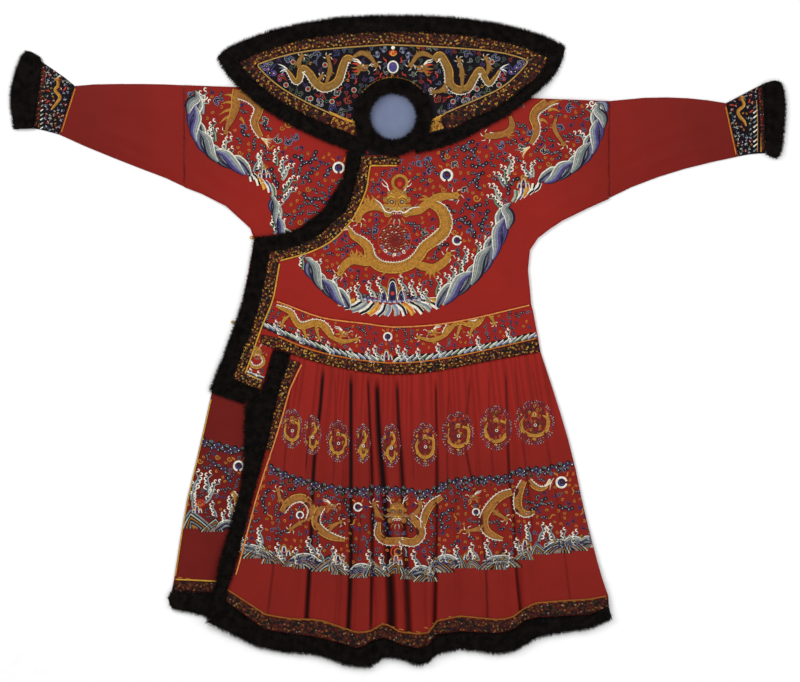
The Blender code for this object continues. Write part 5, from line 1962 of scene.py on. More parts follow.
    def _gathers(self, places: np.ndarray) -> np.ndarray:
        """Fine uneven gathers that die out below the waist, from -1 to 1.

        Args:
            places: the places, in pixels.

        Returns:
            A value for each place.
        """
        fade = np.clip((self.gathers_end + 55 - places[:, 1]) / 60, 0, 1)
        lean = places[:, 0] - (places[:, 0] - 410) * (places[:, 1] - 370) * 0.0012
        uneven = 9 * np.sin(lean * 0.11) + 5 * np.sin(lean * 0.29 + 1.0)
        wave = np.sin((lean + 0.35 * uneven) * 2 * math.pi / 7.2)
        return wave * fade


@dataclass
class BackSkirt:
    """The back skirt, whose side shows beside the front one."""

    creases: tuple[Crease, ...] = (
        Crease(((226, 404), (214, 470), (200, 590)), 7 * MM, 1.6 * MM),
        Crease(((238, 410), (232, 470), (224, 560)), 5 * MM, 1.0 * MM),
    )
    under_creases: tuple[Crease, ...] = (
        Crease(((300, 360), (280, 470), (262, 600)), 8 * MM, 1.3 * MM),
        Crease(((345, 370), (335, 480), (330, 610)), 9 * MM, 1.3 * MM),
        Crease(((400, 380), (402, 480), (400, 620)), 7 * MM, 1.3 * MM),
        Crease(((440, 370), (452, 480), (460, 600)), 9 * MM, 1.3 * MM),
        Crease(((480, 360), (505, 470), (530, 590)), 8 * MM, 1.3 * MM),
        Crease(((250, 370), (225, 470), (205, 570)), 8 * MM, 1.3 * MM),
    )
    cloth: bpy.types.Object | None = None

    def build(self) -> "BackSkirt":
        """Build the panel and its trims.

        Returns:
            The back skirt.
        """
        self.cloth = Panel("skirt_back", RED_BACK, "red_silk", 9 * MM, self.creases, 0.6 * MM,
                           (), self.under_creases, 8.0).build()
        FurStrip("back_hem_fur", seed=91, gap=1.9 * MM, inset=0.0).build()
        Brocade("back_hem_brocade", seed=92, threads=DULL_THREADS).build()
        Cord("back_hem_cord").build()
        Cord("back_edge_cord", spread=0.7 * MM, strand=1.0 * MM).build()
        LOG.info("built the back skirt")
        return self


@dataclass(frozen=True)
class GiltFinish(Finish):
    """Worn gilt metal with engraved lines."""

    name: str = "worn_gilt"
    colour: Tone = (0.55, 0.34, 0.10)

    def dress(self, tree: Tree, shader: Shader) -> None:
        """Darken the metal in its worn lines.

        Args:
            tree: the material's node tree.
            shader: the material's shader.
        """
        wear = noise_mask(tree, {"Scale": 420.0})
        dark = tuple(0.35 * value for value in self.colour)
        colour = ramp_between(tree, wear, dark, self.colour, 0.35, 0.6)
        tree.links.new(colour, shader.inputs["Base Color"])
        set_inputs(shader, {"Metallic": 0.9, "Roughness": 0.38})
        bump(tree, wear, 0.4, 0.0005, shader)


@dataclass
class Buttons:
    """The two ball buttons of the closing."""

    nodes: tuple[str, str] = ("button_upper", "button_lower")
    finish: GiltFinish = GiltFinish()

    def build(self) -> "Buttons":
        """Give the turned buttons their finish.

        Returns:
            The buttons.
        """
        for node in self.nodes:
            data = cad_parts[node].data
            data.materials.clear()
            data.materials.append(self.finish.material())
            LOG.info("dressed %s", node)
        return self


SKY_SWELL = (Thread.WHITE, Thread.GREY, Thread.PALE, Thread.GREY, Thread.PALE, Thread.SKY,
             Thread.GREY, Thread.NAVY, Thread.BLUE, Thread.NAVY)
GREY_SWELL = (Thread.WHITE, Thread.GREY, Thread.PALE, Thread.GREY, Thread.PALE, Thread.GREY,
              Thread.PALE, Thread.GREY, Thread.NAVY, Thread.BLACK)
GREEN_SWELL = (Thread.PALE, Thread.GREY, Thread.WHITE, Thread.GREY, Thread.PALE, Thread.GREEN,
               Thread.PALE, Thread.NAVY, Thread.PURPLE, Thread.BLACK)
TUSK_TONES = ((Thread.WHITE, Thread.PALE, Thread.GREY, Thread.PALE, Thread.GREY, Thread.PALE,
               Thread.GREY, Thread.SKY, Thread.GREY, Thread.BLUE, Thread.NAVY),
              (Thread.WHITE, Thread.GREY, Thread.PALE, Thread.GREY, Thread.PALE, Thread.GREY,
               Thread.GREY, Thread.GREEN, Thread.GREY, Thread.NAVY, Thread.BLACK),
              (Thread.WHITE, Thread.PALE, Thread.GREY, Thread.PALE, Thread.SKY, Thread.GREY,
               Thread.SKY, Thread.BLUE, Thread.PURPLE, Thread.BLUE, Thread.NAVY))
Swell = tuple[tuple[Point, ...], float, tuple[Thread, ...]]


@dataclass
class Motifs:
    """The robe's embroidered motifs: traditional figures in this file's own drawing."""

    work: Stitchery
    random: np.random.Generator
    swell_scale: float = 1.25
    gold: Thread = Thread.GOLD

    @classmethod
    def on(cls, name: str, grounds: list[bpy.types.Object], seed: int,
           gold: Thread = Thread.GOLD) -> "Motifs":
        """Start an embroidery of a name on dressed pieces."""
        return cls(Stitchery(name, Ground(grounds)), np.random.default_rng(seed), gold=gold)

    def swell(self, places: list[Point], width: float, tones: tuple[Thread, ...],
              taper: tuple[float, float] = (0.25, 0.25), level: int = 1) -> None:
        """Lay a broad wave whose fine tones run side by side across it.

        Args:
            places: its middle line.
            width: its width.
            tones: its threads, from one side of the line to the other.
            taper: share of the width left at its two ends.
            level: how many layers of stitches lie below it.
        """
        line = curve(np.array(places, float), 2.0)
        ends = (line[0] + 1.8 * (line[0] - line[1]), line[-1] + 1.8 * (line[-1] - line[-2]))
        line = curve(np.vstack([ends[0], line, ends[1]]), 2.0)
        width = width * self.swell_scale
        side = across(line)
        at = np.linspace(0, 1, len(line))
        full = np.minimum(1.0, np.minimum(taper[0] + 2.6 * at, taper[1] + 2.6 * (1 - at)))
        band = width / len(tones)
        self.work.stroke([tuple(place) for place in line], ((width + 1.0) * full).tolist(),
                         Thread.NAVY, level, fine=2.0, smooth=False)
        for index, tone in enumerate(tones):
            offset = (index + 0.5) * band - width / 2
            run = line + side * (offset * full)[:, None]
            self.work.stroke([tuple(place) for place in run], (band * 1.05 * full).tolist(),
                             tone, level + 1, fine=2.0, smooth=False)

    def braid(self, border: list[Point], centre: Point, pitch: float, width: float,
              height: float, level: int = 1) -> None:
        """Lay tusks of water along a border: each rises from it and bends along it.

        Args:
            border: the outer edge that they rise from.
            centre: the side that they rise to.
            pitch: distance between them.
            width: width of each one.
            height: how far they rise.
            level: how many layers of stitches lie below them.
        """
        line = curve(np.array(border, float), 1.0)
        side = across(line)
        inward = np.array(centre) - line
        side = side * np.sign((side * inward).sum(axis=1))[:, None]
        for number in range(int(len(line) / pitch) + 1):
            start = min(int(number * pitch), len(line) - 2)
            end = min(start + int(2.0 * pitch), len(line) - 1)
            before = max(start - int(0.75 * pitch), 0)
            middle = (start + end) // 2
            size = 1.0 + 0.1 * math.sin(2.3 * number)
            path = curve(np.array([
                line[before] + 0.6 * side[before],
                line[start] + 0.34 * size * width * side[start],
                line[middle] + 0.95 * size * height * side[middle],
                line[end] + 0.66 * size * height * side[end]]), 1.5)
            normal = across(path)
            if (normal[len(path) // 2] * side[middle]).sum() < 0:
                normal = -normal
            tones = TUSK_TONES[(number * 2 + number // 3) % len(TUSK_TONES)]
            at = np.linspace(0, 1, len(path))
            full = width * size * np.interp(at, [0, 0.3, 0.62, 1.0], [0.2, 0.9, 0.95, 0.12])
            self.work.stroke([tuple(place) for place in path], (full + 1.0).tolist(),
                             Thread.NAVY, level + 1, fine=2.0, smooth=False)
            for index, tone in enumerate(tones):
                share = 0.5 - (index + 0.5) / len(tones)
                run = path + normal * (share * full)[:, None]
                self.work.stroke([tuple(place) for place in run],
                                 (full / len(tones) * 1.15).tolist(), tone,
                                 level + 2 + number % 2, fine=2.0, smooth=False)

    def spray(self, x: float, y: float, turn: float, size: float = 5.0,
              curls: int = 5, tone: Thread = Thread.GREY) -> None:
        """Lay a wave's crest: a tapering horn of water with white curls along one side.

        Args:
            x: its place to the right, in pixels.
            y: its place downward, in pixels.
            turn: direction of its tip, in degrees.
            size: its size.
            curls: number of its curls.
            tone: thread of its horn.
        """
        angle = math.radians(turn)
        size = 1.12 * size
        ahead = np.array([math.cos(angle), -math.sin(angle)])
        way = 1.0 if ahead[0] >= 0 else -1.0
        aside = np.array([-ahead[1], ahead[0]]) * way
        tip = np.array([x, y])
        root = tip - 2.7 * size * ahead + 0.8 * size * aside
        places = [root, root + 1.0 * size * ahead - 0.45 * size * aside,
                  tip - 0.9 * size * ahead - 0.3 * size * aside, tip]
        for shift, widths, end, thread, level in (
                (0.0, (0.82, 0.68, 0.46), 0.5, Thread.BLACK, 0),
                (0.04, (0.6, 0.48, 0.3), 0.3, tone, 1),
                (0.16, (0.13, 0.12, 0.1), 0.2, Thread.PALE, 2),
                (-0.1, (0.12, 0.12, 0.1), 0.2, Thread.NAVY, 2)):
            self.work.stroke([tuple(place + shift * size * aside) for place in places],
                             [wide * size for wide in widths] + [end], thread, level)
        line = curve(np.array(places), 0.7)
        for index in range(curls):
            share = 0.12 + 0.88 * index / (curls - 1)
            place = line[int(share * (len(line) - 1))]
            reach = 0.6 * size * (1.1 - 0.25 * share)
            start = place - 0.22 * size * (1.0 - 0.7 * share) * aside
            middle = start - 0.8 * reach * aside + 0.05 * size * ahead
            end = middle + 0.55 * reach * ahead - 0.05 * reach * aside
            back = end + 0.1 * reach * ahead + 0.4 * reach * aside
            self.work.stroke([tuple(start), tuple(middle), tuple(end), tuple(back)],
                             [0.95, 1.25, 1.1, 0.6], Thread.WHITE, 2, fine=1.0)

    def beads(self, places: list[Point], radius: float = 2.0,
              thread: Thread = Thread.NAVY) -> None:
        """Lay a winding chain of dark drops, each with a small painted highlight in light thread.

        Args:
            places: its middle line.
            radius: size of its drops.
            thread: its thread.
        """
        line = resample(np.array(places, float), 1.75 * radius)
        side = across(line)
        tints = (thread, Thread.PURPLE, Thread.GREY, Thread.BLUE)
        for index, (place, away) in enumerate(zip(line, side)):
            x, y = place + away * radius * (0.45 if index % 2 else -0.45)
            self.work.dot(x, y, radius * 1.15, Thread.BLACK, 1)
            self.work.ring(x, y, radius * 0.78, radius * 0.26, tints[index % 4], 2,
                           90 * index, 90 * index + 230)
            # Painted highlight: a small white or pale dot in the middle of each drop.
            self.work.dot(x, y, radius * 0.3, Thread.WHITE if index % 2 else Thread.PALE, 3, 4)

    def cloud(self, x: float, y: float, size: float, threads: tuple[Thread, Thread],
              turn: float = 0.0, lobes: int = 3) -> None:
        """Lay a small curled cloud: dark lobes in coloured rims, small lights and a tail.

        Args:
            x: its place to the right, in pixels.
            y: its place downward, in pixels.
            size: its size.
            threads: threads of its rims and its lobes.
            turn: its direction, in degrees.
            lobes: number of its lobes.
        """
        angle = math.radians(turn)
        along = (math.cos(angle), -math.sin(angle))
        tail = [(x - along[0] * size * 0.6, y - along[1] * size * 0.6),
                (x + along[1] * size * 0.4, y - along[0] * size * 0.4),
                (x + along[0] * size * 1.5, y + along[1] * size * 1.5)]
        self.work.stroke(tail, [size * 0.8, size * 0.7, 0.6], threads[0], 0)
        self.work.stroke(tail, [size * 0.5, size * 0.4, 0.3], Thread.BLACK, 1)
        for index in range(lobes):
            way = angle + math.pi + (index - (lobes - 1) / 2) * 1.15
            cx, cy = x + 0.68 * size * math.cos(way), y - 0.68 * size * math.sin(way)
            self.work.dot(cx, cy, size * 0.56, threads[0], 1, 8)
            self.work.dot(cx, cy, size * 0.42, Thread.BLACK if index % 2 else threads[1], 2, 7)
            self.work.dot(cx, cy, max(0.4, size * 0.15), Thread.WHITE, 3, 4)

    def swirl(self, x: float, y: float, radius: float, thread: Thread = Thread.GOLD,
              turn: float = 0.0, way: int = 1) -> None:
        """Lay a spiral.

        Args:
            x: its place to the right, in pixels.
            y: its place downward, in pixels.
            radius: its radius.
            thread: its thread.
            turn: angle of its start, in degrees.
            way: 1 for clockwise or -1.
        """
        angles = np.linspace(0, 2.6 * math.pi, 14)
        radii = radius * np.linspace(1.0, 0.12, 14)
        start = math.radians(turn)
        self.work.stroke([(x + r * math.cos(start + way * a), y + r * math.sin(start + way * a))
                          for a, r in zip(angles, radii)], max(0.7, radius * 0.34), thread, 2)

    def flame(self, x: float, y: float, turn: float, length: float,
              thread: Thread = Thread.CORAL) -> None:
        """Lay a small wavering flame.

        Args:
            x: its place to the right, in pixels.
            y: its place downward, in pixels.
            turn: its direction, in degrees.
            length: its length.
            thread: its thread.
        """
        angle = math.radians(turn)
        ax, ay = math.cos(angle), -math.sin(angle)
        self.work.stroke([(x, y), (x + 0.4 * length * ax - 0.14 * length * ay,
                                   y + 0.4 * length * ay + 0.14 * length * ax),
                          (x + 0.7 * length * ax + 0.1 * length * ay,
                           y + 0.7 * length * ay - 0.1 * length * ax),
                          (x + length * ax, y + length * ay)],
                         [0.5, 1.5, 1.1, 0.3], thread, 1, fine=1.1)

    def pearl(self, x: float, y: float, radius: float, opening: float = 90.0) -> None:
        """Lay a pearl: a white ring, dark within, with a coloured heart and flames.

        Args:
            x: its place to the right, in pixels.
            y: its place downward, in pixels.
            radius: its radius.
            opening: angle of its ring's gap, in degrees.
        """
        self.work.dot(x, y, radius * 0.8, Thread.NAVY, 0, 10)
        self.work.ring(x, y, radius * 0.42, radius * 0.2, Thread.BLUE, 1, 40, 220)
        self.work.dot(x + radius * 0.12, y - radius * 0.1, radius * 0.22, Thread.MAROON, 2, 6)
        self.work.ring(x, y, radius * 0.84, radius * 0.34, Thread.WHITE, 2,
                       opening + 14, opening + 346)
        for turn in (55.0, 125.0):
            angle = math.radians(turn)
            self.flame(x + radius * 1.2 * math.cos(angle), y - radius * 1.2 * math.sin(angle),
                       turn, radius * 0.9, Thread.ORANGE)

    def serpent(self, places: list[Point], widths: list[float], spine: int = 1,
                teeth: bool = True) -> None:
        """Lay a dragon's body: gold scales in a dark outline, with a white toothed spine.

        Args:
            places: its middle line, from the neck to the tail.
            widths: its width at each place.
            spine: side of the spine, 1 for the left of the line's direction or -1.
            teeth: whether the spine has teeth.
        """
        self.work.stroke(places, [width + 1.3 for width in widths], Thread.DARK_RED, 0)
        self.work.stroke(places, widths, self.gold, 1)
        given = np.array(places, float)
        line = curve(given, 0.8)
        known = lengths(given) / lengths(given)[-1]
        wide = np.interp(lengths(line) / lengths(line)[-1], known, widths)
        side = across(line)
        ahead = np.gradient(line, axis=0)
        for k in range(2, len(line) - 2, 2):
            row = (k // 2) % 2
            for offset in ((-0.3, 0.06, 0.38) if row else (-0.12, 0.22)):
                middle = line[k] + side[k] * wide[k] * offset * spine
                reach = side[k] * (0.13 * wide[k] + 0.1)
                back = ahead[k] / np.linalg.norm(ahead[k]) * 0.5
                self.work.stroke([tuple(middle - reach - back), tuple(middle + back),
                                  tuple(middle + reach - back)], 0.42, Thread.DEEP_GOLD, 2,
                                 fine=2.0, smooth=False)
        rim = line - side * (spine * wide * 0.44)[:, None]
        self.work.stroke([tuple(p) for p in rim[::2]], 0.55, Thread.YELLOW, 2, smooth=False)
        if not teeth:
            return
        rim = line + side * (spine * (wide * 0.5 + 0.1))[:, None]
        self.work.stroke([tuple(p) for p in rim[::2]], 0.7, Thread.WHITE, 2, smooth=False)
        for k in range(2, len(line) - 2, 4):
            root = line[k] + side[k] * spine * (wide[k] * 0.5)
            tip = root + side[k] * spine * 1.5 + ahead[k] / np.linalg.norm(ahead[k]) * 0.5
            self.work.stroke([tuple(root), tuple(tip)], [1.1, 0.25], Thread.WHITE, 2, fine=1.2)

    def tuft(self, start: Point, end: Point, shift: Point, rim: list[float],
             core: list[float]) -> None:
        """Lay a pointed gold tuft in a dark rim; shift bends its middle sideways."""
        middle = ((start[0] + end[0]) / 2 + shift[0], (start[1] + end[1]) / 2 + shift[1])
        self.work.stroke([start, middle, end], rim, Thread.DARK_RED, 0)
        self.work.stroke([start, middle, end], core, Thread.GOLD, 1)

    def leg(self, places: list[Point], width: float, paw: float, toes: int = 4,
            spread: float = 210.0) -> None:
        """Lay a leg with gold tufts at its joint and a paw with white-tipped claws.

        Args:
            places: its middle line, from the body to the paw.
            width: its width.
            paw: size of its paw.
            toes: number of its toes.
            spread: angle between its outer toes, in degrees.
        """
        widths = [width * 0.5] + [width] * (len(places) - 2) + [width * 0.55]
        self.work.stroke(places, [value + 1.2 for value in widths], Thread.DARK_RED, 1)
        self.work.stroke(places, widths, self.gold, 2)
        middle = places[len(places) // 2]
        (x0, y0), (x, y) = places[-2], places[-1]
        way = math.atan2(y - y0, x - x0)
        for index in range(4):
            angle = way + math.pi + (index - 1.5) * 0.5
            reach = width * (1.5 - 0.15 * abs(index - 1.5))
            self.work.stroke([middle, (middle[0] + 0.6 * reach * math.cos(angle + 0.2),
                                       middle[1] + 0.6 * reach * math.sin(angle + 0.2)),
                              (middle[0] + reach * math.cos(angle),
                               middle[1] + reach * math.sin(angle))],
                             [width * 0.4, width * 0.3, 0.3], self.gold, 2)
        self.work.stroke(places, 0.5, Thread.DEEP_GOLD, 3)
        self.work.dot(x, y, paw * 0.62, Thread.DARK_RED, 2, 8)
        self.work.dot(x, y, paw * 0.5, self.gold, 3, 8)
        self.work.dot(x, y, paw * 0.16, Thread.DEEP_GOLD, 4, 5)
        for index in range(toes):
            angle = way + math.radians(spread) * (index / max(toes - 1, 1) - 0.5)
            reach = paw * 1.25
            bend = angle + 0.45
            knuckle = (x + 0.62 * reach * math.cos(angle), y + 0.62 * reach * math.sin(angle))
            tip = (x + reach * math.cos(bend), y + reach * math.sin(bend))
            self.work.stroke([(x, y), knuckle], [1.5, 1.3], self.gold, 3)
            self.work.stroke([knuckle, tip], [0.9, 0.25], Thread.WHITE, 4, fine=1.0)

    def side_head(self, x: float, y: float, way: int, size: float) -> None:
        """Lay a dragon's head from the side; way is 1 to face right or -1 to face left.

        Args:
            x: its place to the right, in pixels.
            y: its place downward, in pixels.
            way: 1 to face right or -1 to face left.
            size: its size.
        """
        def at(dx: float, dy: float) -> Point:
            """A place on the head."""
            return (x + way * dx * size, y + dy * size)

        for index, (dx, dy, bend) in enumerate(((-6.8, -4.4, -1.5), (-8.2, -2.2, -0.8),
                                                (-8.4, 0.4, 0.4), (-7.6, 2.6, 1.2),
                                                (-5.8, 4.4, 2.0))):
            thread = Thread.CORAL if index % 2 else self.gold
            rest = [at(dx * 0.6, dy * 0.8 + bend), at(dx, dy)]
            self.work.stroke([at(-1.2, dy * 0.3)] + rest, [1.9 * size, 1.4 * size, 0.3],
                             thread, 1)
            self.work.stroke([at(-1.4, dy * 0.3)] + rest, [0.5, 0.45, 0.2], Thread.DARK_RED, 2)
        self.work.patch([at(-3, -1.6), at(-0.5, -2.6), at(2.0, -1.7), at(4.6, -1.9),
                         at(5.4, -0.6), at(3.6, 0.3), at(1.2, 0.6), at(-2.0, 1.8)],
                        self.gold, 3)
        self.work.stroke([at(-1.2, 2.0), at(1.6, 2.5), at(4.2, 1.9)],
                         [1.5 * size, 1.3 * size, 0.7 * size], self.gold, 3)
        self.work.stroke([at(0.6, 1.2), at(2.4, 1.3), at(4.4, 0.9)],
                         [0.6 * size, 1.0 * size, 0.5 * size], Thread.RED, 3)
        for dx in (2.0, 3.1, 4.1):
            self.work.dot(*at(dx, 0.75), 0.34 * size, Thread.WHITE, 4, 4)
        self.work.dot(*at(0.9, -1.0), 0.8 * size, Thread.WHITE, 4, 6)
        self.work.dot(*at(1.1, -0.95), 0.42 * size, Thread.BLACK, 5, 5)
        self.work.stroke([at(-0.6, -2.0), at(1.0, -2.4), at(2.4, -1.6)], 0.45 * size,
                         Thread.DEEP_GOLD, 4)
        self.work.stroke([at(2.6, -1.5), at(4.6, -1.3), at(5.2, -0.5)], 0.4 * size,
                         Thread.DEEP_GOLD, 4)
        self.work.ring(*at(-1.6, 0.6), 0.9 * size, 0.4 * size, Thread.DEEP_GOLD, 4, 0, 280)
        for lift in (0.0, 1.5):
            self.work.stroke([at(-0.6, -2.2 - lift * 0.3), at(-3.4, -4.0 - lift),
                              at(-6.0, -4.4 - lift), at(-7.4, -5.6 - lift)],
                             [0.9 * size, 0.8 * size, 0.6 * size, 0.25], Thread.WHITE, 3)
        self.work.stroke([at(5.0, -0.6), at(7.0, -2.4), at(8.6, -1.4)], 0.45 * size,
                         Thread.WHITE, 3)
        self.work.stroke([at(4.2, 2.4), at(5.6, 4.0), at(4.8, 5.4)], 0.45 * size,
                         Thread.PALE, 3)

    def front_head(self, x: float, y: float, size: float) -> None:
        """Lay a dragon's head from the front, with antlers, a gold mane and a short beard.

        Args:
            x: its place to the right, in pixels.
            y: its place downward, in pixels.
            size: its size.
        """
        def spots_at(places: list[Point], side: int = 1) -> list[Point]:
            """Places on one side of the head."""
            return [(x + side * dx * size, y + dy * size) for dx, dy in places]

        for side in (-1, 1):
            for index in range(8):
                turn = math.radians(-50 + 19 * index)
                reach = 15.5 - 0.5 * abs(index - 4)
                bend = turn + (0.3 if index % 2 else -0.25)
                run = spots_at([(7 * math.cos(turn), 7 * math.sin(turn)),
                                (11 * math.cos(bend), 11 * math.sin(bend)),
                                (reach * math.cos(turn), reach * math.sin(turn))], side)
                self.work.stroke(run, [3.2 * size, 2.5 * size, 0.4], Thread.DARK_RED, 1)
                self.work.stroke(run, [2.5 * size, 1.8 * size, 0.3],
                                 Thread.GREEN if index in (2, 5) else self.gold, 2)
                self.work.stroke(run, 0.4, Thread.DEEP_GOLD, 3)
            self.work.stroke(spots_at([(4.6, -9), (7.6, -12.6), (8.6, -17), (12.6, -21.5)], side),
                             [1.1 * size, 1.0 * size, 0.9 * size, 0.3], Thread.WHITE, 3)
            self.work.stroke(spots_at([(8.2, -14.6), (11.6, -16), (13.4, -18.6)], side),
                             [0.9 * size, 0.8 * size, 0.25], Thread.WHITE, 3)
            for centre, radius in (((8.2, 9.0), 3.4), ((10.4, 3.0), 2.8), ((9.6, -3.2), 2.6)):
                (cx, cy), = spots_at([centre], side)
                self.work.dot(cx, cy, radius * size, self.gold, 3, 9)
                self.work.ring(cx, cy, radius * 0.55 * size, 0.45 * size, Thread.DEEP_GOLD, 4,
                               0, 300)
        self.work.patch(spots_at([(-9.4, -5), (-6.6, -10.4), (0, -12.4), (6.6, -10.4), (9.4, -5),
                                  (6.8, 2.6), (6.6, 9), (0, 12), (-6.6, 9), (-6.8, 2.6)]),
                        self.gold, 3)
        for index in range(5):
            (cx, cy), = spots_at([(-6.8 + 3.4 * index, -9.6 - 1.2 * (2 - abs(index - 2)))])
            self.work.dot(cx, cy, 1.9 * size, self.gold, 4, 7)
            self.work.ring(cx, cy, 1.1 * size, 0.4 * size, Thread.DEEP_GOLD, 5, 0, 300)
        for side in (-1, 1):
            self.work.stroke(spots_at([(1.6, -4.6), (5.2, -6.4), (8.8, -4.2)], side),
                             [0.9 * size, 1.6 * size, 0.6 * size], Thread.YELLOW, 5)
            self.work.stroke(spots_at([(1.6, -3.6), (5.2, -5.2), (8.4, -3.2)], side),
                             0.45 * size, Thread.DARK_RED, 5)
            (cx, cy), = spots_at([(4.4, -1.4)], side)
            self.work.dot(cx, cy, 1.9 * size, Thread.DARK_RED, 5, 8)
            self.work.dot(cx, cy, 0.95 * size, Thread.WHITE, 6, 8)
            self.work.dot(cx - side * 0.1 * size, cy + 0.1 * size, 0.6 * size, Thread.BLACK, 7, 6)
            self.work.stroke(spots_at([(3.4, 5.0), (8.4, 3.6), (13.6, 4.4), (19, -0.5)], side),
                             [0.55 * size, 0.5 * size, 0.4 * size, 0.2], Thread.PALE, 5)
            self.work.stroke(spots_at([(1.6, 14.0), (2.8, 17), (2.0, 20)], side),
                             [1.1 * size, 0.9 * size, 0.25], Thread.PALE, 3)
            self.work.stroke(spots_at([(4.4, 13.0), (6.6, 15.6), (7.4, 18.6)], side),
                             [1.2 * size, 0.9 * size, 0.25], self.gold, 3)
            self.work.stroke(spots_at([(0.9, -3.0), (1.3, 1.0), (2.6, 3.8)], side),
                             0.4 * size, Thread.DARK_RED, 5)
            (cx, cy), = spots_at([(1.9, 4.3)], side)
            self.work.dot(cx, cy, 1.4 * size, Thread.YELLOW, 5, 7)
            self.work.dot(cx, cy + 0.3 * size, 0.5 * size, Thread.BLACK, 6, 5)
        self.work.patch(spots_at([(-4.6, 8.2), (0, 7.2), (4.6, 8.2), (3.4, 11.8), (0, 13.2),
                                  (-3.4, 11.8)]), Thread.RED, 4)
        self.work.stroke(spots_at([(-5.8, 8.6), (-3, 6.6), (0, 7.6), (3, 6.6), (5.8, 8.6)]),
                         0.9 * size, Thread.WHITE, 5)
        for dx in (-3.0, -1.0, 1.0, 3.0):
            (cx, cy), = spots_at([(dx, 9.0)])
            self.work.dot(cx, cy, 0.55 * size, Thread.WHITE, 6, 4, 1.4)

    def stripes(self, rows: list[tuple[Point, Point, Thread, Thread]], width: float = 5.0,
                bend: float = 1.6) -> None:
        """Lay standing water: slanting two-tone stripes with white edges.

        Args:
            rows: upper end, lower end and two threads for each stripe.
            width: width of a stripe.
            bend: how far a stripe bows sideways.
        """
        for (x0, y0), (x1, y1), first, second in rows:
            side = np.array([y1 - y0, x0 - x1], float)
            side /= max(np.linalg.norm(side), 1e-9)
            middle = np.array([(x0 + x1) / 2, (y0 + y1) / 2]) + side * bend
            for offset, thread, wide in ((-0.27, first, 0.46), (0.2, second, 0.5)):
                shift = side * offset * width
                self.work.stroke([(x0 + shift[0], y0 + shift[1]), tuple(middle + shift),
                                  (x1 + shift[0], y1 + shift[1])], wide * width, thread, 1)
            shift = side * 0.48 * width
            self.work.stroke([(x0 + shift[0], y0 + shift[1]), tuple(middle + shift),
                              (x1 + shift[0], y1 + shift[1])], 0.6, Thread.WHITE, 2)

    def scallops(self, places: list[Point], radius: float = 3.2,
                 tones: tuple[Thread, ...] = (Thread.BLUE, Thread.SKY, Thread.WHITE)) -> None:
        """Lay a row of nested half rings along a line.

        Args:
            places: the line.
            radius: radius of its rings.
            tones: threads of its rings, outer one first.
        """
        line = resample(np.array(places, float), radius * 1.7)
        for index, (x, y) in enumerate(line):
            for ring, tone in enumerate(tones):
                size = radius * (1 - 0.3 * ring)
                self.work.ring(x, y, size * 0.86, max(0.7, size * 0.34), tone,
                               1 + ring % 2, 175, 365)
            self.work.dot(x, y, radius * 0.24, Thread.CORAL if index % 2 else Thread.GOLD, 2, 5)

    def mountain(self, x: float, y: float, size: float) -> None:
        """Lay a rock in three gold-edged peaks, with a coral knot on the middle one.

        Args:
            x: its place to the right, in pixels.
            y: its place downward, in pixels.
            size: its size.
        """
        for dx, high, wide in ((-3.6, 6.0, 4.6), (3.6, 6.0, 4.6), (0.0, 9.6, 5.6)):
            left, right = x + (dx - wide / 2) * size, x + (dx + wide / 2) * size
            top = y - high * size
            self.work.patch([(left, y), (x + (dx - wide * 0.3) * size, top + 1.4 * size),
                             (x + dx * size, top), (x + (dx + wide * 0.3) * size,
                                                    top + 1.4 * size), (right, y)],
                            Thread.NAVY, 1, smooth=False)
            for inset, thread in ((0.0, Thread.GOLD), (1.4, Thread.WHITE), (2.6, Thread.BLUE)):
                self.work.stroke([(left + inset * size * 0.5, y),
                                  (x + (dx - wide * 0.28) * size + inset * 0.22 * size,
                                   top + (1.6 + inset) * size),
                                  (x + dx * size, top + inset * size),
                                  (x + (dx + wide * 0.28) * size - inset * 0.22 * size,
                                   top + (1.6 + inset) * size),
                                  (right - inset * size * 0.5, y)], 0.75, thread, 2)
        self.work.dot(x, y - 3.2 * size, 0.9 * size, Thread.CORAL, 3, 6)

    def roundel(self, x: float, y: float, wide: float, high: float) -> None:
        """Lay a round badge: a curling dragon on dark curls, in rings of small dots.

        Args:
            x: its place to the right, in pixels.
            y: its place downward, in pixels.
            wide: half its width, in pixels.
            high: half its height, in pixels.
        """
        share = wide / high

        def at(radius: float, degrees: float) -> Point:
            """A place on the badge, by share of its radius and angle."""
            turn = math.radians(degrees)
            return (x + radius * wide * math.cos(turn), y + radius * high * math.sin(turn))

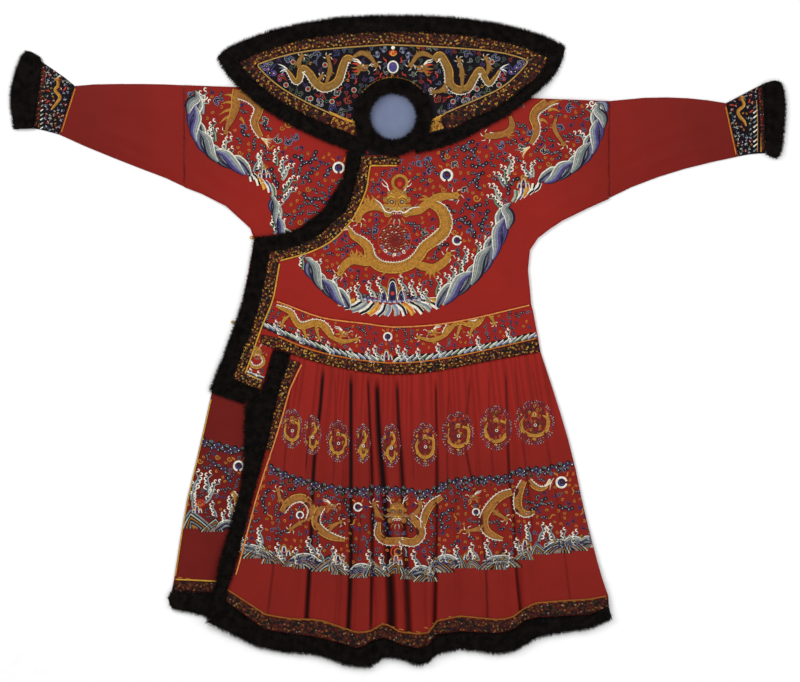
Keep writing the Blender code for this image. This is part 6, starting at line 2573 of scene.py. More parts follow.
        self.work.patch([at(1.0, 30 * index) for index in range(12)], Thread.MAROON, 0)
        threads = (Thread.PALE, Thread.CORAL, Thread.SKY, Thread.PALE, Thread.PURPLE)
        for radius, size, shift in ((0.97, 0.65, 0), (0.88, 0.6, 2), (0.79, 0.5, 1)):
            count = max(14, int((wide + high) * radius * 1.25))
            for index in range(count):
                px, py = at(radius, 360 * (index + 0.5 * (shift > 0)) / count)
                px += 0.5 * math.sin(5.0 * index + shift)
                self.work.dot(px, py, size, threads[(index * 2 + shift) % 5], 1, 4)
        for index in range(int(2.4 * wide)):
            px, py = at(0.74 * math.sqrt(self.random.random()), 360 * self.random.random())
            tone = (Thread.DEEP_GOLD, Thread.GOLD, Thread.NAVY, Thread.CORAL)[index % 4]
            self.swirl(px, py, 1.6, tone, 90 * index, 1)
        if wide > 10.5:
            body = [at(0.40, -50), at(0.66, -15), at(0.66, 30), at(0.58, 75), at(0.60, 125),
                    at(0.66, 170), at(0.52, 205)]
            crown = (x, y - 0.36 * high)
        else:
            body = [at(0.60, -75), at(0.46, -35), at(0.05, 0), at(0.42, 150), at(0.60, 110),
                    at(0.62, 60), at(0.44, 30)]
            crown = (x + 0.1 * wide, y - 0.55 * high)
        self.work.stroke(body, [2.8, 3.4, 4.0, 4.0, 3.8, 3.0, 1.2], Thread.DARK_RED, 1)
        self.work.stroke(body, [1.9, 2.4, 2.9, 2.9, 2.7, 2.0, 0.8], Thread.GOLD, 2)
        self.work.stroke(body, 0.5, Thread.DEEP_GOLD, 3)
        rim = np.array(body)
        rim = rim + (rim - np.array([x, y])) * 0.13
        self.work.stroke([tuple(place) for place in rim], 0.5, Thread.YELLOW, 3)
        for degrees in (-150, -30, 30, 90, 150):
            px, py = at(0.70, degrees)
            for toe in range(4):
                turn = math.radians(degrees + (toe - 1.5) * 45)
                self.work.stroke([(px, py), (px + 2.6 * share * math.cos(turn),
                                             py + 2.6 * math.sin(turn))], [1.0, 0.4],
                                 Thread.YELLOW if toe % 2 else Thread.GOLD, 3, fine=1.2)
        cx, cy = crown
        self.work.dot(cx, cy, 3.0 * math.sqrt(share), Thread.GOLD, 3, 9)
        self.work.dot(cx, cy, 1.2, Thread.DEEP_GOLD, 4, 6)
        for side in (-1, 1):
            self.work.dot(cx + side * 1.1 * share, cy - 0.6, 0.45, Thread.WHITE, 5, 4)
            for dy in (-2.0, 0.4, 2.4):
                self.work.stroke([(cx + side * 1.8 * share, cy + dy * 0.6),
                                  (cx + side * 4.6 * share, cy + dy * 1.4)], [1.3, 0.3],
                                 Thread.GOLD if dy > -1 else Thread.CORAL, 3, fine=1.0)
        px, py = at(0.12, 70)
        self.work.ring(px, py, 1.3, 0.6, Thread.WHITE, 4, 0, 360)
        self.work.dot(px, py, 0.6, Thread.NAVY, 4, 5)

    def hill(self, x: float, y: float, size: float, shift: int = 0) -> None:
        """Lay a hill of nested stripes, as standing water before a rock.

        Args:
            x: its place to the right, in pixels.
            y: its place downward, in pixels.
            size: its size.
            shift: which of its tones comes first.
        """
        tones = (Thread.GREY, Thread.BLACK, Thread.PALE, Thread.BLACK, Thread.BRONZE,
                 Thread.BLACK, Thread.GREY, Thread.BLACK, Thread.WARM_GOLD)
        band = size / len(tones)
        lean = 0.3 * size * (1 if shift % 2 else -1)
        for index in range(len(tones)):
            reach = size - index * band
            high = 0.95 * reach
            places = [(x - reach, y + 1.6), (x - reach * 0.55 + lean * 0.5, y - high * 0.45),
                      (x + lean - 0.4, y - high), (x + lean + 0.4, y - high),
                      (x + reach * 0.55 + lean * 0.5, y - high * 0.45), (x + reach, y + 1.6)]
            self.work.stroke(places, band * 1.2, tones[(index + shift) % len(tones)], 1,
                             fine=1.8)

    def filler(self, region: list[Point], count: int, clear: float = 3.0, size: float = 2.1,
               swirls: float = 0.35, lit: bool = False) -> None:
        """Fill the free ground of a region with small clouds, curls and drops.

        Args:
            region: outline of the region.
            count: how many places to try.
            clear: free distance that a small motif needs.
            size: size of the small motifs.
            swirls: share of gold curls among them.
            lit: whether all of them are light, for a dark ground.
        """
        outline = np.array(region, float)
        low, high = outline.min(axis=0), outline.max(axis=0)
        fine = 0.5
        wide, tall = (int(value / fine) + 2 for value in high - low)
        taken = np.zeros((tall, wide), bool)

        def mark(x: float, y: float, reach: float) -> None:
            """Mark the cells about a place as taken.

            Args:
                x: its place to the right, in pixels.
                y: its place downward, in pixels.
                reach: half the size of the marked square.
            """
            column, row = int((x - low[0]) / fine), int((y - low[1]) / fine)
            span = int(reach / fine)
            taken[max(row - span, 0):max(row + span + 1, 0),
                  max(column - span, 0):max(column + span + 1, 0)] = True

        for x, y, _ in self.work.points:
            mark(PHOTO_MIDDLE[0] + x / PIXEL, PHOTO_MIDDLE[1] - y / PIXEL, clear * 0.8)
        places = low + (high - low) * self.random.random((count * 4, 2))
        places = places[inside(places, [outline])]
        rims = (Thread.BLUE, Thread.PURPLE, Thread.GREY, Thread.SKY)
        if lit:
            rims = (Thread.SKY, Thread.PURPLE, Thread.CORAL, Thread.GREEN, Thread.PALE)
        for x, y in places:
            if taken[int((y - low[1]) / fine), int((x - low[0]) / fine)]:
                continue
            mark(x, y, clear * 1.75)
            pick = self.random.random()
            turn = 360 * self.random.random()
            rim = rims[self.random.integers(len(rims))]
            if pick < swirls:
                thread = Thread.GOLD if self.random.random() < 0.6 else Thread.ORANGE
                self.swirl(x, y, size * 0.8, thread, turn, self.random.choice([-1, 1]))
            elif pick < swirls + 0.3 or lit:
                self.cloud(x, y, size, (rim, Thread.NAVY), turn, 2 if pick < 0.7 else 3)
            else:
                angle = math.radians(turn)
                shift = (size * 1.1 * math.cos(angle), size * 1.1 * math.sin(angle))
                self.beads([(x - shift[0], y - shift[1]), (x + shift[0], y + shift[1])],
                           size * 0.62, rim)


@dataclass
class YokeWork:
    """Embroidery of the shoulders and chest."""

    borders: tuple[tuple[Point, ...], ...] = (
        ((248, 177), (230, 168), (218, 163), (207, 155), (196, 143), (189, 126), (187, 104),
         (188, 90)),
        ((541, 184), (560, 180), (575, 171), (592, 156), (602, 136), (607, 114), (606, 102)),
        ((440, 308), (455, 298), (471, 286), (488, 268), (500, 249), (510, 226), (518, 206)),
        ((347, 309), (339, 303), (331, 298), (318, 287), (308, 274), (299, 262)),
        ((292, 238), (279, 234), (273, 217), (269, 204), (266, 197)),
    )
    tusks: tuple[tuple[float, float, float], ...] = (
        (15.0, 10.5, 11.0), (14.5, 10.5, 11.0), (17.0, 11.5, 12.0), (14.0, 10.0, 10.0),
        (11.0, 6.5, 6.5),
    )
    sprays: tuple[tuple[float, float, float, float], ...] = (
        (207, 92, 60, 7), (209, 103, 20, 5.5), (216, 122, 70, 6), (217, 132, 20, 6),
        (232, 140, 40, 6), (234, 149, 70, 5.5), (256, 156, 100, 5), (263, 153, 70, 5),
        (280, 150, 60, 5), (288, 159, 50, 5.5), (294, 167, 30, 5.5), (298, 180, 20, 6),
        (296, 191, 20, 5), (284, 202, 60, 5), (279, 214, 50, 5), (285, 222, 30, 5),
        (508, 157, 110, 5.5), (500, 168, 130, 5.5), (494, 175, 150, 5), (489, 187, 150, 5.5),
        (488, 198, 160, 5), (496.7, 203, 120, 5), (500, 212, 150, 5.5), (491, 226, 140, 6),
        (500, 230, 70, 4.5), (484, 239, 130, 5), (475, 243, 120, 5), (463, 249, 110, 5),
        (471, 257, 120, 5), (457, 261, 120, 5), (450, 269, 120, 5), (444, 276, 130, 5),
        (436, 279, 110, 5), (526, 163, 90, 5), (536, 163, 60, 4.5), (586, 108, 130, 6),
        (575, 135, 160, 6), (569, 152, 120, 5.5), (583, 144, 100, 5),
        (360, 285, 80, 5.5), (371, 283, 90, 5), (381, 279, 90, 5), (403, 277, 90, 5),
        (414, 282, 80, 5), (422, 285, 90, 5), (340, 276, 60, 5.5), (322, 262, 60, 5),
        (306, 254, 60, 5), (428, 291, 80, 4.5), (352, 290, 60, 4.5),
    )
    chains: tuple[tuple[Point, ...], ...] = (
        ((295, 157), (301, 156), (303.5, 164), (299, 168)),
        ((311, 172), (303.5, 177), (310, 180)), ((315, 152), (315, 159), (307, 163)),
        ((303.5, 195), (311, 201), (319, 198), (327, 203.5)),
        ((472, 141), (461, 149.5), (475, 149.5), (472.5, 159)), ((472.5, 166.5), (486.5, 164)),
        ((482, 172.5), (475, 181), (479, 189)), ((447, 207.6), (453.5, 212)),
        ((465.5, 205), (473, 210), (479.4, 204)), ((464.6, 217), (460, 220.5), (469, 223)),
        ((475, 236), (469, 223)), ((487, 211), (485, 220), (479.4, 225), (483, 230)),
        ((446.6, 243.6), (439, 247)), ((442, 152.5), (443.6, 160)),
        ((358.5, 298.6), (363, 297), (368, 296), (377.5, 295)),
        ((423.5, 298.6), (419, 297), (414, 296), (404.5, 295)),
        ((264, 126), (270, 130)), ((242, 132), (248, 136)), ((322, 215), (315, 222), (320, 230)),
        ((330, 168), (326, 176)), ((340, 190), (346, 184)),
    )
    swirls: tuple[tuple[float, float, float], ...] = (
        (308, 189, 3), (447, 156, 3), (443.6, 189.5, 3), (476.6, 198, 4), (288, 124, 4),
        (240, 153, 3), (548.7, 163.6, 3), (330, 214, 3), (345, 178, 3), (282, 128, 2.6),
        (455, 232, 3), (430, 180, 2.6), (430, 268, 2.6), (352, 253, 2.6), (300, 222, 3),
    )
    clouds: tuple[tuple[float, float, float], ...] = (
        (218, 101, 4), (192, 95, 4), (278, 139, 4), (288, 141, 4), (295, 137, 3.5), (264, 121, 4),
        (243, 128, 3.5), (486, 104, 4), (520, 104, 4), (570, 108, 4), (600, 106, 4),
        (545, 150, 4), (530, 132, 3.6), (500, 145, 4), (520, 148, 3.6), (560, 128, 3.6),
        (428, 160, 3.6), (455, 165, 3.6), (430, 171, 3.2), (420, 163, 3.4), (345, 205, 3.4),
        (335, 235, 3.4), (325, 246, 3.4), (352, 190, 3), (365, 184, 3), (470, 232, 3.4),
        (465, 190, 3.2), (456, 198, 3), (408, 236, 3), (425, 232, 3.2), (375, 230, 3.2),
    )

    def build(self, grounds: list[bpy.types.Object]) -> None:
        """Stitch the shoulders and chest on the dressed fronts.

        Args:
            grounds: the dressed pieces to stitch on.
        """
        motifs = Motifs.on("yoke_embroidery", grounds, 101, Thread.WARM_GOLD)
        for border, (pitch, width, height) in zip(self.borders, self.tusks):
            motifs.braid(list(border), (396.0, 150.0), pitch, width, height)
        self._shoulder_dragons(motifs)
        self._mountains(motifs)
        motifs.gold = Thread.GOLD
        self._front_dragon(motifs)
        tints = (Thread.GREY, Thread.PALE, Thread.GREEN)
        for index, (x, y, turn, size) in enumerate(self.sprays):
            motifs.spray(x, y, turn, size, tone=tints[index % 3])
        for chain in self.chains:
            motifs.beads(list(chain))
        for x, y, radius in self.swirls:
            motifs.swirl(x, y, radius)
        pairs = ((Thread.SKY, Thread.NAVY), (Thread.GREY, Thread.BLUE), (Thread.PALE, Thread.NAVY))
        for index, (x, y, size) in enumerate(self.clouds):
            motifs.cloud(x, y, size, pairs[index % 3], 40 * index)
        for x, y, radius, opening in ((338.6, 167.7, 6, 90), (446.6, 175.3, 6.5, 90),
                                      (457, 240.4, 5, 0)):
            motifs.pearl(x, y, radius, opening=opening)
        motifs.filler([(189, 90), (238, 92), (262, 118), (300, 148), (345, 158), (356, 172),
                       (352, 205), (330, 232), (290, 250), (268, 190), (232, 160), (200, 140)],
                      900, 3.0, 2.3)
        motifs.filler([(606, 103), (566, 98), (545, 108), (500, 138), (440, 152), (400, 160),
                       (405, 172), (455, 200), (452, 250), (420, 275), (430, 295), (478, 262),
                       (500, 240), (515, 196), (560, 165), (590, 140)], 1500, 3.0, 2.3)
        motifs.filler([(374, 172), (410, 166), (450, 200), (450, 250), (415, 290), (370, 290),
                       (330, 285), (305, 258), (345, 235), (366, 195)], 1300, 2.8, 2.2)
        motifs.work.finish("red_silk")
        welts = Stitchery("sleeve_seam_welts", Ground(grounds))
        for x, y0, y1 in ((184.4, 86, 164), (609.2, 96, 197)):
            welts.stroke([(x, y0), (x, y1)], 2.6, Thread.SEAM, 0, fine=3.0)
        welts.finish("red_silk")
        self._neck_tuft(grounds)
        LOG.info("embroidered the shoulders and chest")

    def _shoulder_dragons(self, motifs: Motifs) -> None:
        """The limbs and curls of the dragons that reach over the shoulders.

        Args:
            motifs: the embroidery to add to.
        """
        for start, end in (((236, 99), (224, 95)), ((236, 104), (221, 104)),
                           ((234, 110), (219, 115)), ((232, 116), (219, 124)),
                           ((551, 104), (563, 100)), ((548, 110), (560, 112)),
                           ((240, 118), (245, 126)), ((540, 120), (548, 124))):
            motifs.tuft(start, end, (0, -2), [4.6, 3.2, 0.4], [3.8, 2.5, 0.3])
        motifs.serpent([(238, 90), (236, 98), (235, 108), (231, 119), (228, 126)],
                       [11, 10, 9, 7, 4], -1, teeth=False)
        motifs.leg([(233, 112), (228, 124), (226, 132)], 4.4, 5)
        motifs.serpent([(238, 94), (246, 96), (254, 101), (259, 108), (257, 115), (254.4, 122),
                        (257, 130), (261, 137)], [9, 10, 9.5, 9, 8.5, 8, 6.5, 4.5], 1)
        motifs.serpent([(558, 99), (550, 101), (542, 106), (536, 111), (533.5, 118), (536, 126),
                        (536, 134), (531, 144)], [8, 9, 9.5, 9, 8.5, 8, 6.5, 4], -1)
        motifs.leg([(556, 118), (554.6, 129), (563.5, 144)], 4.5, 5)
        motifs.leg([(510, 116), (512, 126), (506, 133), (492, 136), (487, 136)], 6.5, 6, 5, 260)
        for x0, y0, way in ((261, 138, 1), (530, 147, -1)):
            for index in range(6):
                lift = -2 + 2.2 * index
                motifs.work.stroke([(x0, y0), (x0 + way * 5, y0 + 2 + lift * 0.4),
                                    (x0 + way * (12 - index), y0 + 3 + lift)],
                                   [1.2, 1.0, 0.3], Thread.YELLOW if index % 2 else Thread.WHITE, 2)
        motifs.swirl(204, 97, 3.5, Thread.WHITE)
        motifs.swirl(592, 103, 3.5, Thread.WHITE)
        for x, y, turn in ((282, 118, 40), (292, 124, 10), (276, 146, 200), (478, 120, 140)):
            motifs.flame(x, y, turn, 8, Thread.GOLD)

    def _neck_tuft(self, grounds: list[bpy.types.Object]) -> None:
        """Fill the corner between the neck's fur and the opening's with short dark hair.

        Args:
            grounds: the dressed pieces to stitch on.
        """
        tuft = Stitchery("neck_fur_tuft", Ground(grounds))
        corner = [(350, 147), (398, 147), (398.5, 154.5), (366, 155.5), (359, 159), (350, 160)]
        tuft.patch(corner, Thread.BLACK, 0, smooth=False)
        random = np.random.default_rng(107)
        places = random.uniform((350, 148), (399, 159), (260, 2))
        for x, y in places[inside(places, [np.array(corner, float)])]:
            lean = random.uniform(-1.2, 1.2)
            tuft.stroke([(x, y - 1.6), (x + 0.5 * lean, y), (x + lean, y + 1.7)],
                        [1.3, 1.1, 0.3], Thread.BLACK, 1, fine=2.0, smooth=False)
        tuft.finish("dark_fur")

    def _mountains(self, motifs: Motifs) -> None:
        """The rocks and standing water at both sides and at the foot.

        Args:
            motifs: the embroidery to add to.
        """
        pairs = ((Thread.WHITE, Thread.NAVY), (Thread.WHITE, Thread.BLACK),
                 (Thread.YELLOW, Thread.ORANGE), (Thread.WHITE, Thread.BLUE),
                 (Thread.PALE, Thread.GREEN))
        for x, foot, crest, drops, water in (
                (264, 178, 166, [(256.5, 170), (271, 170), (275, 180), (278, 187)],
                 [((246, 171), (252, 181)), ((252, 174), (259, 185)), ((258, 178), (265, 189)),
                  ((264, 181), (270, 192)), ((270, 184), (274, 196))]),
                (523.5, 188, 177, [(517, 178), (507, 186.5), (509, 193)],
                 [((540, 182), (533, 191)), ((534, 184), (528, 194)), ((528, 186), (522, 197)),
                  ((522, 188), (518, 199)), ((516, 190), (513, 202))])):
            motifs.mountain(x, foot, 1.15)
            motifs.swirl(x, crest, 3.5)
            motifs.beads(drops, 2.1)
            motifs.stripes([(*ends, *pair) for ends, pair in zip(water, pairs)], 4.6)
        middle = 391.0
        left = [((355, 300.6), (337.5, 303.0), Thread.YELLOW, Thread.GOLD),
                ((361, 301.0), (344.0, 307.4), Thread.WHITE, Thread.NAVY),
                ((367, 302.0), (351.5, 310.4), Thread.PALE, Thread.GREY),
                ((373, 302.6), (359.5, 312.8), Thread.WHITE, Thread.BLACK),
                ((379, 303.4), (368.5, 314.4), Thread.YELLOW, Thread.ORANGE),
                ((384.6, 304), (377.0, 315.2), Thread.WHITE, Thread.NAVY),
                ((389.0, 304.6), (385.4, 315.6), Thread.PALE, Thread.SKY)]
        right = [((2 * middle - x0, y0), (2 * middle - x1, y1), first, second)
                 for (x0, y0), (x1, y1), first, second in left]
        motifs.stripes(left + right, 5.4)
        motifs.scallops([(360, 299), (370, 301), (391, 303), (412, 301), (424, 299)], 3.0)
        motifs.mountain(392.5, 301, 2.4)
        for x, y, radius, tone in ((381, 296.5, 3.2, Thread.SKY), (404, 296.5, 3.2, Thread.SKY),
                                   (385.5, 289.5, 2.8, Thread.GOLD), (399.5, 289.5, 2.8, Thread.GOLD),
                                   (377, 302, 2.6, Thread.PALE), (408, 302, 2.6, Thread.PALE)):
            motifs.swirl(x, y, radius, tone, 60 if x < 392 else 200)

    def _front_dragon(self, motifs: Motifs) -> None:
        """The frontal dragon of the chest.

        Args:
            motifs: the embroidery to add to.
        """
        places = [(424, 203), (434, 205), (442, 211), (446, 222), (443, 232.6), (433.7, 240.7),
                  (424.5, 247.5), (418, 257), (408, 265), (394.7, 268), (380, 266),
                  (370.6, 258), (368, 247.5), (361.4, 240.7), (353.4, 236), (350, 230),
                  (346.5, 225.7)]
        widths = [5, 9, 11.5, 12.5, 12, 11.5, 11, 11, 11, 11, 11, 10.5, 9.5, 8, 6, 4, 1.5]
        motifs.serpent(places[:6], widths[:6], -1)
        motifs.serpent(places[4:], widths[4:], 1)
        for index in range(4):
            motifs.work.stroke([(348, 229), (343 - index, 224 + 2.2 * index),
                                (338 - index, 220 + 3.6 * index)], [1.4, 1.2, 0.3],
                               Thread.WHITE if index % 2 else Thread.CORAL, 2)
        for start, end in (((378, 206), (371, 195)), ((372, 206), (364, 197)),
                           ((426, 206), (424, 196)), ((432, 202), (433, 192)),
                           ((366, 262), (358, 251)), ((360, 261), (348, 254)),
                           ((404, 268), (398, 276)), ((388, 268), (381, 276)),
                           ((424, 266), (430, 276)), ((432, 268), (441, 275))):
            motifs.tuft(start, end, (1, 0), [5.0, 3.4, 0.4], [4.2, 2.7, 0.3])
        motifs.leg([(386, 211), (377, 206), (367, 207), (360, 212), (358, 220)], 9, 6.4, 5, 240)
        motifs.leg([(408, 214), (419, 210), (430, 202), (440, 197), (456, 195.4)],
                   8.5, 7, 5, 260)
        motifs.leg([(380, 262), (366, 262), (353, 260), (345, 265), (340, 273)], 8.5, 6.4, 5, 240)
        motifs.leg([(410, 262), (422, 266), (434, 268), (444, 262), (448.6, 255)], 8.5, 6.4, 5,
                   240)
        x, y = 394.7, 239.5
        motifs.work.dot(x, y, 17.0, Thread.MAROON, 0, 22)
        motifs.work.ring(x, y, 16.5, 0.9, Thread.CORAL, 1, 0, 360)
        specks = (Thread.GOLD, Thread.CORAL, Thread.ORANGE, Thread.WHITE, Thread.CORAL)
        for index in range(110):
            turn = 2.4 * index
            reach = 15.4 * math.sqrt((index + 0.5) / 110)
            px, py = x + reach * math.cos(turn), y + reach * math.sin(turn)
            motifs.work.stroke([(px - 0.9, py + 0.5), (px, py - 0.6), (px + 0.9, py + 0.3)], 0.6,
                               specks[index % 5], 1, fine=1.2)
        for index in range(7):
            turn = math.radians(30 + 20 * index)
            motifs.swirl(x + 14.5 * math.cos(turn), y + 15.5 * math.sin(turn), 2.2,
                         Thread.WHITE if index % 2 else Thread.SKY, 40 * index)
        motifs.work.ring(399.8, 182.7, 7.2, 2.8, Thread.GOLD, 3, 120, 420)
        motifs.work.ring(399.8, 182.7, 5.2, 0.9, Thread.DEEP_GOLD, 4, 120, 420)
        motifs.work.dot(399.8, 184, 2.6, Thread.CORAL, 3, 7)
        motifs.front_head(396.8, 203.5, 1.12)
        motifs.work.stroke([(375, 199), (381, 204), (385, 211), (391, 213)], [0.5, 1.2, 1.3, 1],
                           Thread.WHITE, 7)
        motifs.work.stroke([(420, 207), (412, 208), (406, 212), (402, 213)], [0.5, 1.2, 1.3, 1],
                           Thread.WHITE, 7)


@dataclass
class CapeWork:
    """Embroidery of the cape collar: two dragons with a pearl between them."""

    left_body: tuple[Point, ...] = (
        (352, 60), (347, 58.5), (343, 66), (338.5, 80), (331, 86), (323, 87.6), (315, 82),
        (309, 73), (302, 68.5), (299, 80), (295, 81.5), (290, 74), (286, 69))
    right_body: tuple[Point, ...] = (
        (434, 60), (440, 55), (446, 64), (449, 72), (450, 84), (458, 90), (468, 88), (474, 78),
        (480, 70), (485, 78), (489, 84), (495, 78), (500, 70))
    colours: tuple[Thread, ...] = (Thread.SKY, Thread.BLUE, Thread.GREEN, Thread.CORAL,
                                   Thread.PALE)

    def build(self, grounds: list[bpy.types.Object]) -> None:
        """Stitch the cape.

        Args:
            grounds: the dressed pieces to stitch on.
        """
        motifs = Motifs.on("cape_embroidery", grounds, 102, Thread.OLD_GOLD)
        widths = [7, 7.5, 8, 8.5, 8.5, 8.5, 8, 7.5, 7, 6, 5, 3.5, 1.8]
        motifs.serpent(list(self.left_body), widths, -1)
        motifs.serpent(list(self.right_body), widths, 1)
        motifs.side_head(362, 67, 1, 1.35)
        motifs.side_head(423, 68, -1, 1.35)
        for places, paw in ((((352, 58), (361, 53), (369, 56), (376, 65)), 5),
                            (((434, 58), (424, 53.5), (417, 56), (411, 65)), 5),
                            (((300, 68), (299, 62), (302, 56)), 4),
                            (((326, 84), (330, 70), (328, 57)), 4),
                            (((320, 86), (316, 84), (322, 76)), 3.6),
                            (((462, 88), (462, 72), (459, 60)), 4),
                            (((486, 76), (489, 66), (486, 58)), 4),
                            (((447, 82), (442, 90), (434, 92)), 4)):
            motifs.leg(list(places), 4.6, paw)
        for x, way in ((287, -1), (500, 1)):
            for index in range(4):
                motifs.work.stroke([(x, 69), (x + way * 4, 66 + index * 2),
                                    (x + way * (9 - index), 64 + index * 4)], [1.3, 1.2, 0.3],
                                   Thread.SKY if index % 2 else Thread.WHITE, 2)
        self._pearl(motifs)
        left = ((289, 58.5, 4), (272, 70, 5.5), (298.5, 93, 4), (320, 96, 4), (319, 103, 4),
                (317, 55, 3.6), (333, 108, 4), (343, 112, 4), (348, 100, 3.6), (337, 92, 3.4),
                (264, 66, 4), (336, 53, 3.4), (306, 61, 3), (282, 78, 4), (309, 100, 3.4))
        for index, (x, y, size) in enumerate(left + tuple((785 - x, y - 1.5, size)
                                                          for x, y, size in left)):
            pair = (self.colours[index % 5], (Thread.NAVY, Thread.PURPLE, Thread.BLACK)[index % 3])
            motifs.cloud(x, y, size, pair, 53 * index, 3)
        for x, y in ((286, 85), (308, 89), (310.6, 98.5), (332, 101.5), (354, 90), (293, 62),
                     (325, 65)):
            for px in (x, 785 - x):
                motifs.work.dot(px, y, 2.2, Thread.RED, 1, 8)
                motifs.work.ring(px, y, 2.3, 0.7, Thread.PALE, 2, 0, 360)
        for x, y, turn in ((337, 91, 30), (354, 84, 60), (332, 97, 0), (348, 78, 80)):
            motifs.flame(x, y, turn, 7)
            motifs.flame(785 - x, y, 180 - turn, 7)
        self._border_ends(motifs)
        motifs.filler([(256, 65), (320, 52), (393, 45), (465, 49), (529, 61), (490, 92),
                       (440, 116), (436, 98), (393, 79), (354, 96), (352, 118), (300, 98)],
                      2600, 2.7, 2.3, 0.15, lit=True)
        motifs.work.finish("dark_silk")
        LOG.info("embroidered the cape collar")

    def _border_ends(self, motifs: Motifs) -> None:
        """The last of the border and its cord, where they run in under the neck's fur.

        Args:
            motifs: the embroidery to add to.
        """
        for outline, cord in ((((328, 110.5), (356, 122.5), (357, 137), (330, 125)),
                               ((329, 112), (342, 118), (356, 122.8))),
                              (((442, 115), (430, 120.5), (429, 133), (442, 128)),
                               ((443, 115.6), (436, 118.6), (430, 121)))):
            motifs.work.patch(list(outline), Thread.DARK_RED, 0, smooth=False)
            low, high = np.min(outline, axis=0), np.max(outline, axis=0)
            for index in range(80):
                place = low + (high - low) * motifs.random.random(2)
                if inside(place[None], [np.array(outline, float)])[0]:
                    thread = (Thread.GOLD, Thread.BRONZE, Thread.YELLOW)[index % 3]
                    motifs.swirl(place[0], place[1], 1.5, thread, 60 * index)
            motifs.work.stroke(list(cord), 2.0, Thread.YELLOW, 3)
            motifs.work.stroke(list(cord), 0.5, Thread.ORANGE, 5)

    def _pearl(self, motifs: Motifs) -> None:
        """The flaming pearl in the middle of the cape.

        Args:
            motifs: the embroidery to add to.
        """
        motifs.work.dot(393, 67, 4.2, Thread.BLUE, 1, 10, 1.15)
        motifs.work.ring(393, 67, 5.0, 1.5, Thread.WHITE, 2, 0, 360, 1.15)
        motifs.flame(393, 68, 90, 5, Thread.CORAL)
        motifs.work.dot(393, 53, 4.4, Thread.CORAL, 1, 9, 0.72)
        motifs.swirl(393, 53, 3.2, Thread.YELLOW)
        motifs.work.dot(393, 47.7, 2.0, Thread.WHITE, 2, 7)
        for x, y, turn in ((386, 63, 110), (400, 63, 70), (383, 73, 230), (402, 72, 310),
                           (388, 75, 260), (398, 75, 280)):
            motifs.flame(x, y, turn, 6.5)
        for x, y, turn in ((383.5, 49, 160), (403, 50, 20), (376.5, 54.7, 190), (409, 55.4, -10)):
            motifs.cloud(x, y, 3.0, (Thread.SKY, Thread.GREY), turn)


@dataclass
class CuffWork:
    """Embroidery of the horse-hoof cuffs."""

    def build(self, grounds: list[bpy.types.Object]) -> None:
        """Stitch both cuffs.

        Args:
            grounds: the dressed pieces to stitch on.
        """
        motifs = Motifs.on("cuff_embroidery", grounds, 103)
        widths = [2.0, 2.6, 2.8, 2.8, 2.4, 1.2]
        motifs.serpent([(57.7, 80), (58, 86), (55, 90), (60, 97), (56, 104), (51, 110)],
                       widths, -1, teeth=False)
        motifs.serpent([(741, 98), (744, 105), (738, 111), (740, 117), (744, 121), (746, 126)],
                       widths, 1, teeth=False)
        motifs.side_head(57, 79, -1, 0.62)
        motifs.side_head(742, 97, 1, 0.62)
        for x, y, turn in ((50, 92, 150), (63, 90, 40), (50, 101, 200), (734, 106, 160),
                           (749, 112, 20), (748, 103, 60)):
            motifs.flame(x, y, turn, 5, Thread.CORAL)
        for index in range(8):
            y = 96 + 4.4 * index
            motifs.work.stroke([(40.4 - 0.03 * index, y + 2), (43.2, y)], [1.4, 0.8],
                               Thread.WHITE if index % 2 else Thread.PALE, 1, smooth=False)
        for index in range(10):
            y = 105 + 4.8 * index
            motifs.work.stroke([(757.6, y), (753.4, y + 3.4)], [0.9, 1.5],
                               Thread.WHITE if index % 3 else Thread.GREY, 1, smooth=False)
        motifs.work.stroke([(42, 72), (39.5, 90), (38.4, 127)], 1.2, Thread.ORANGE, 1)
        motifs.work.stroke([(759, 92), (761.4, 120), (761, 152)], 1.4, Thread.GOLD, 1)
        motifs.work.stroke([(756.4, 100), (757.6, 125), (757.4, 152)], 0.8, Thread.GOLD, 1)
        for region in ([(46, 64), (72, 84), (58, 133), (38, 127)],
                       [(728, 102), (757, 88), (757, 150), (739, 154)]):
            motifs.filler(region, 1200, 1.9, 1.45, 0.15, lit=True)
        motifs.work.finish("dark_silk")
        LOG.info("embroidered the cuffs")


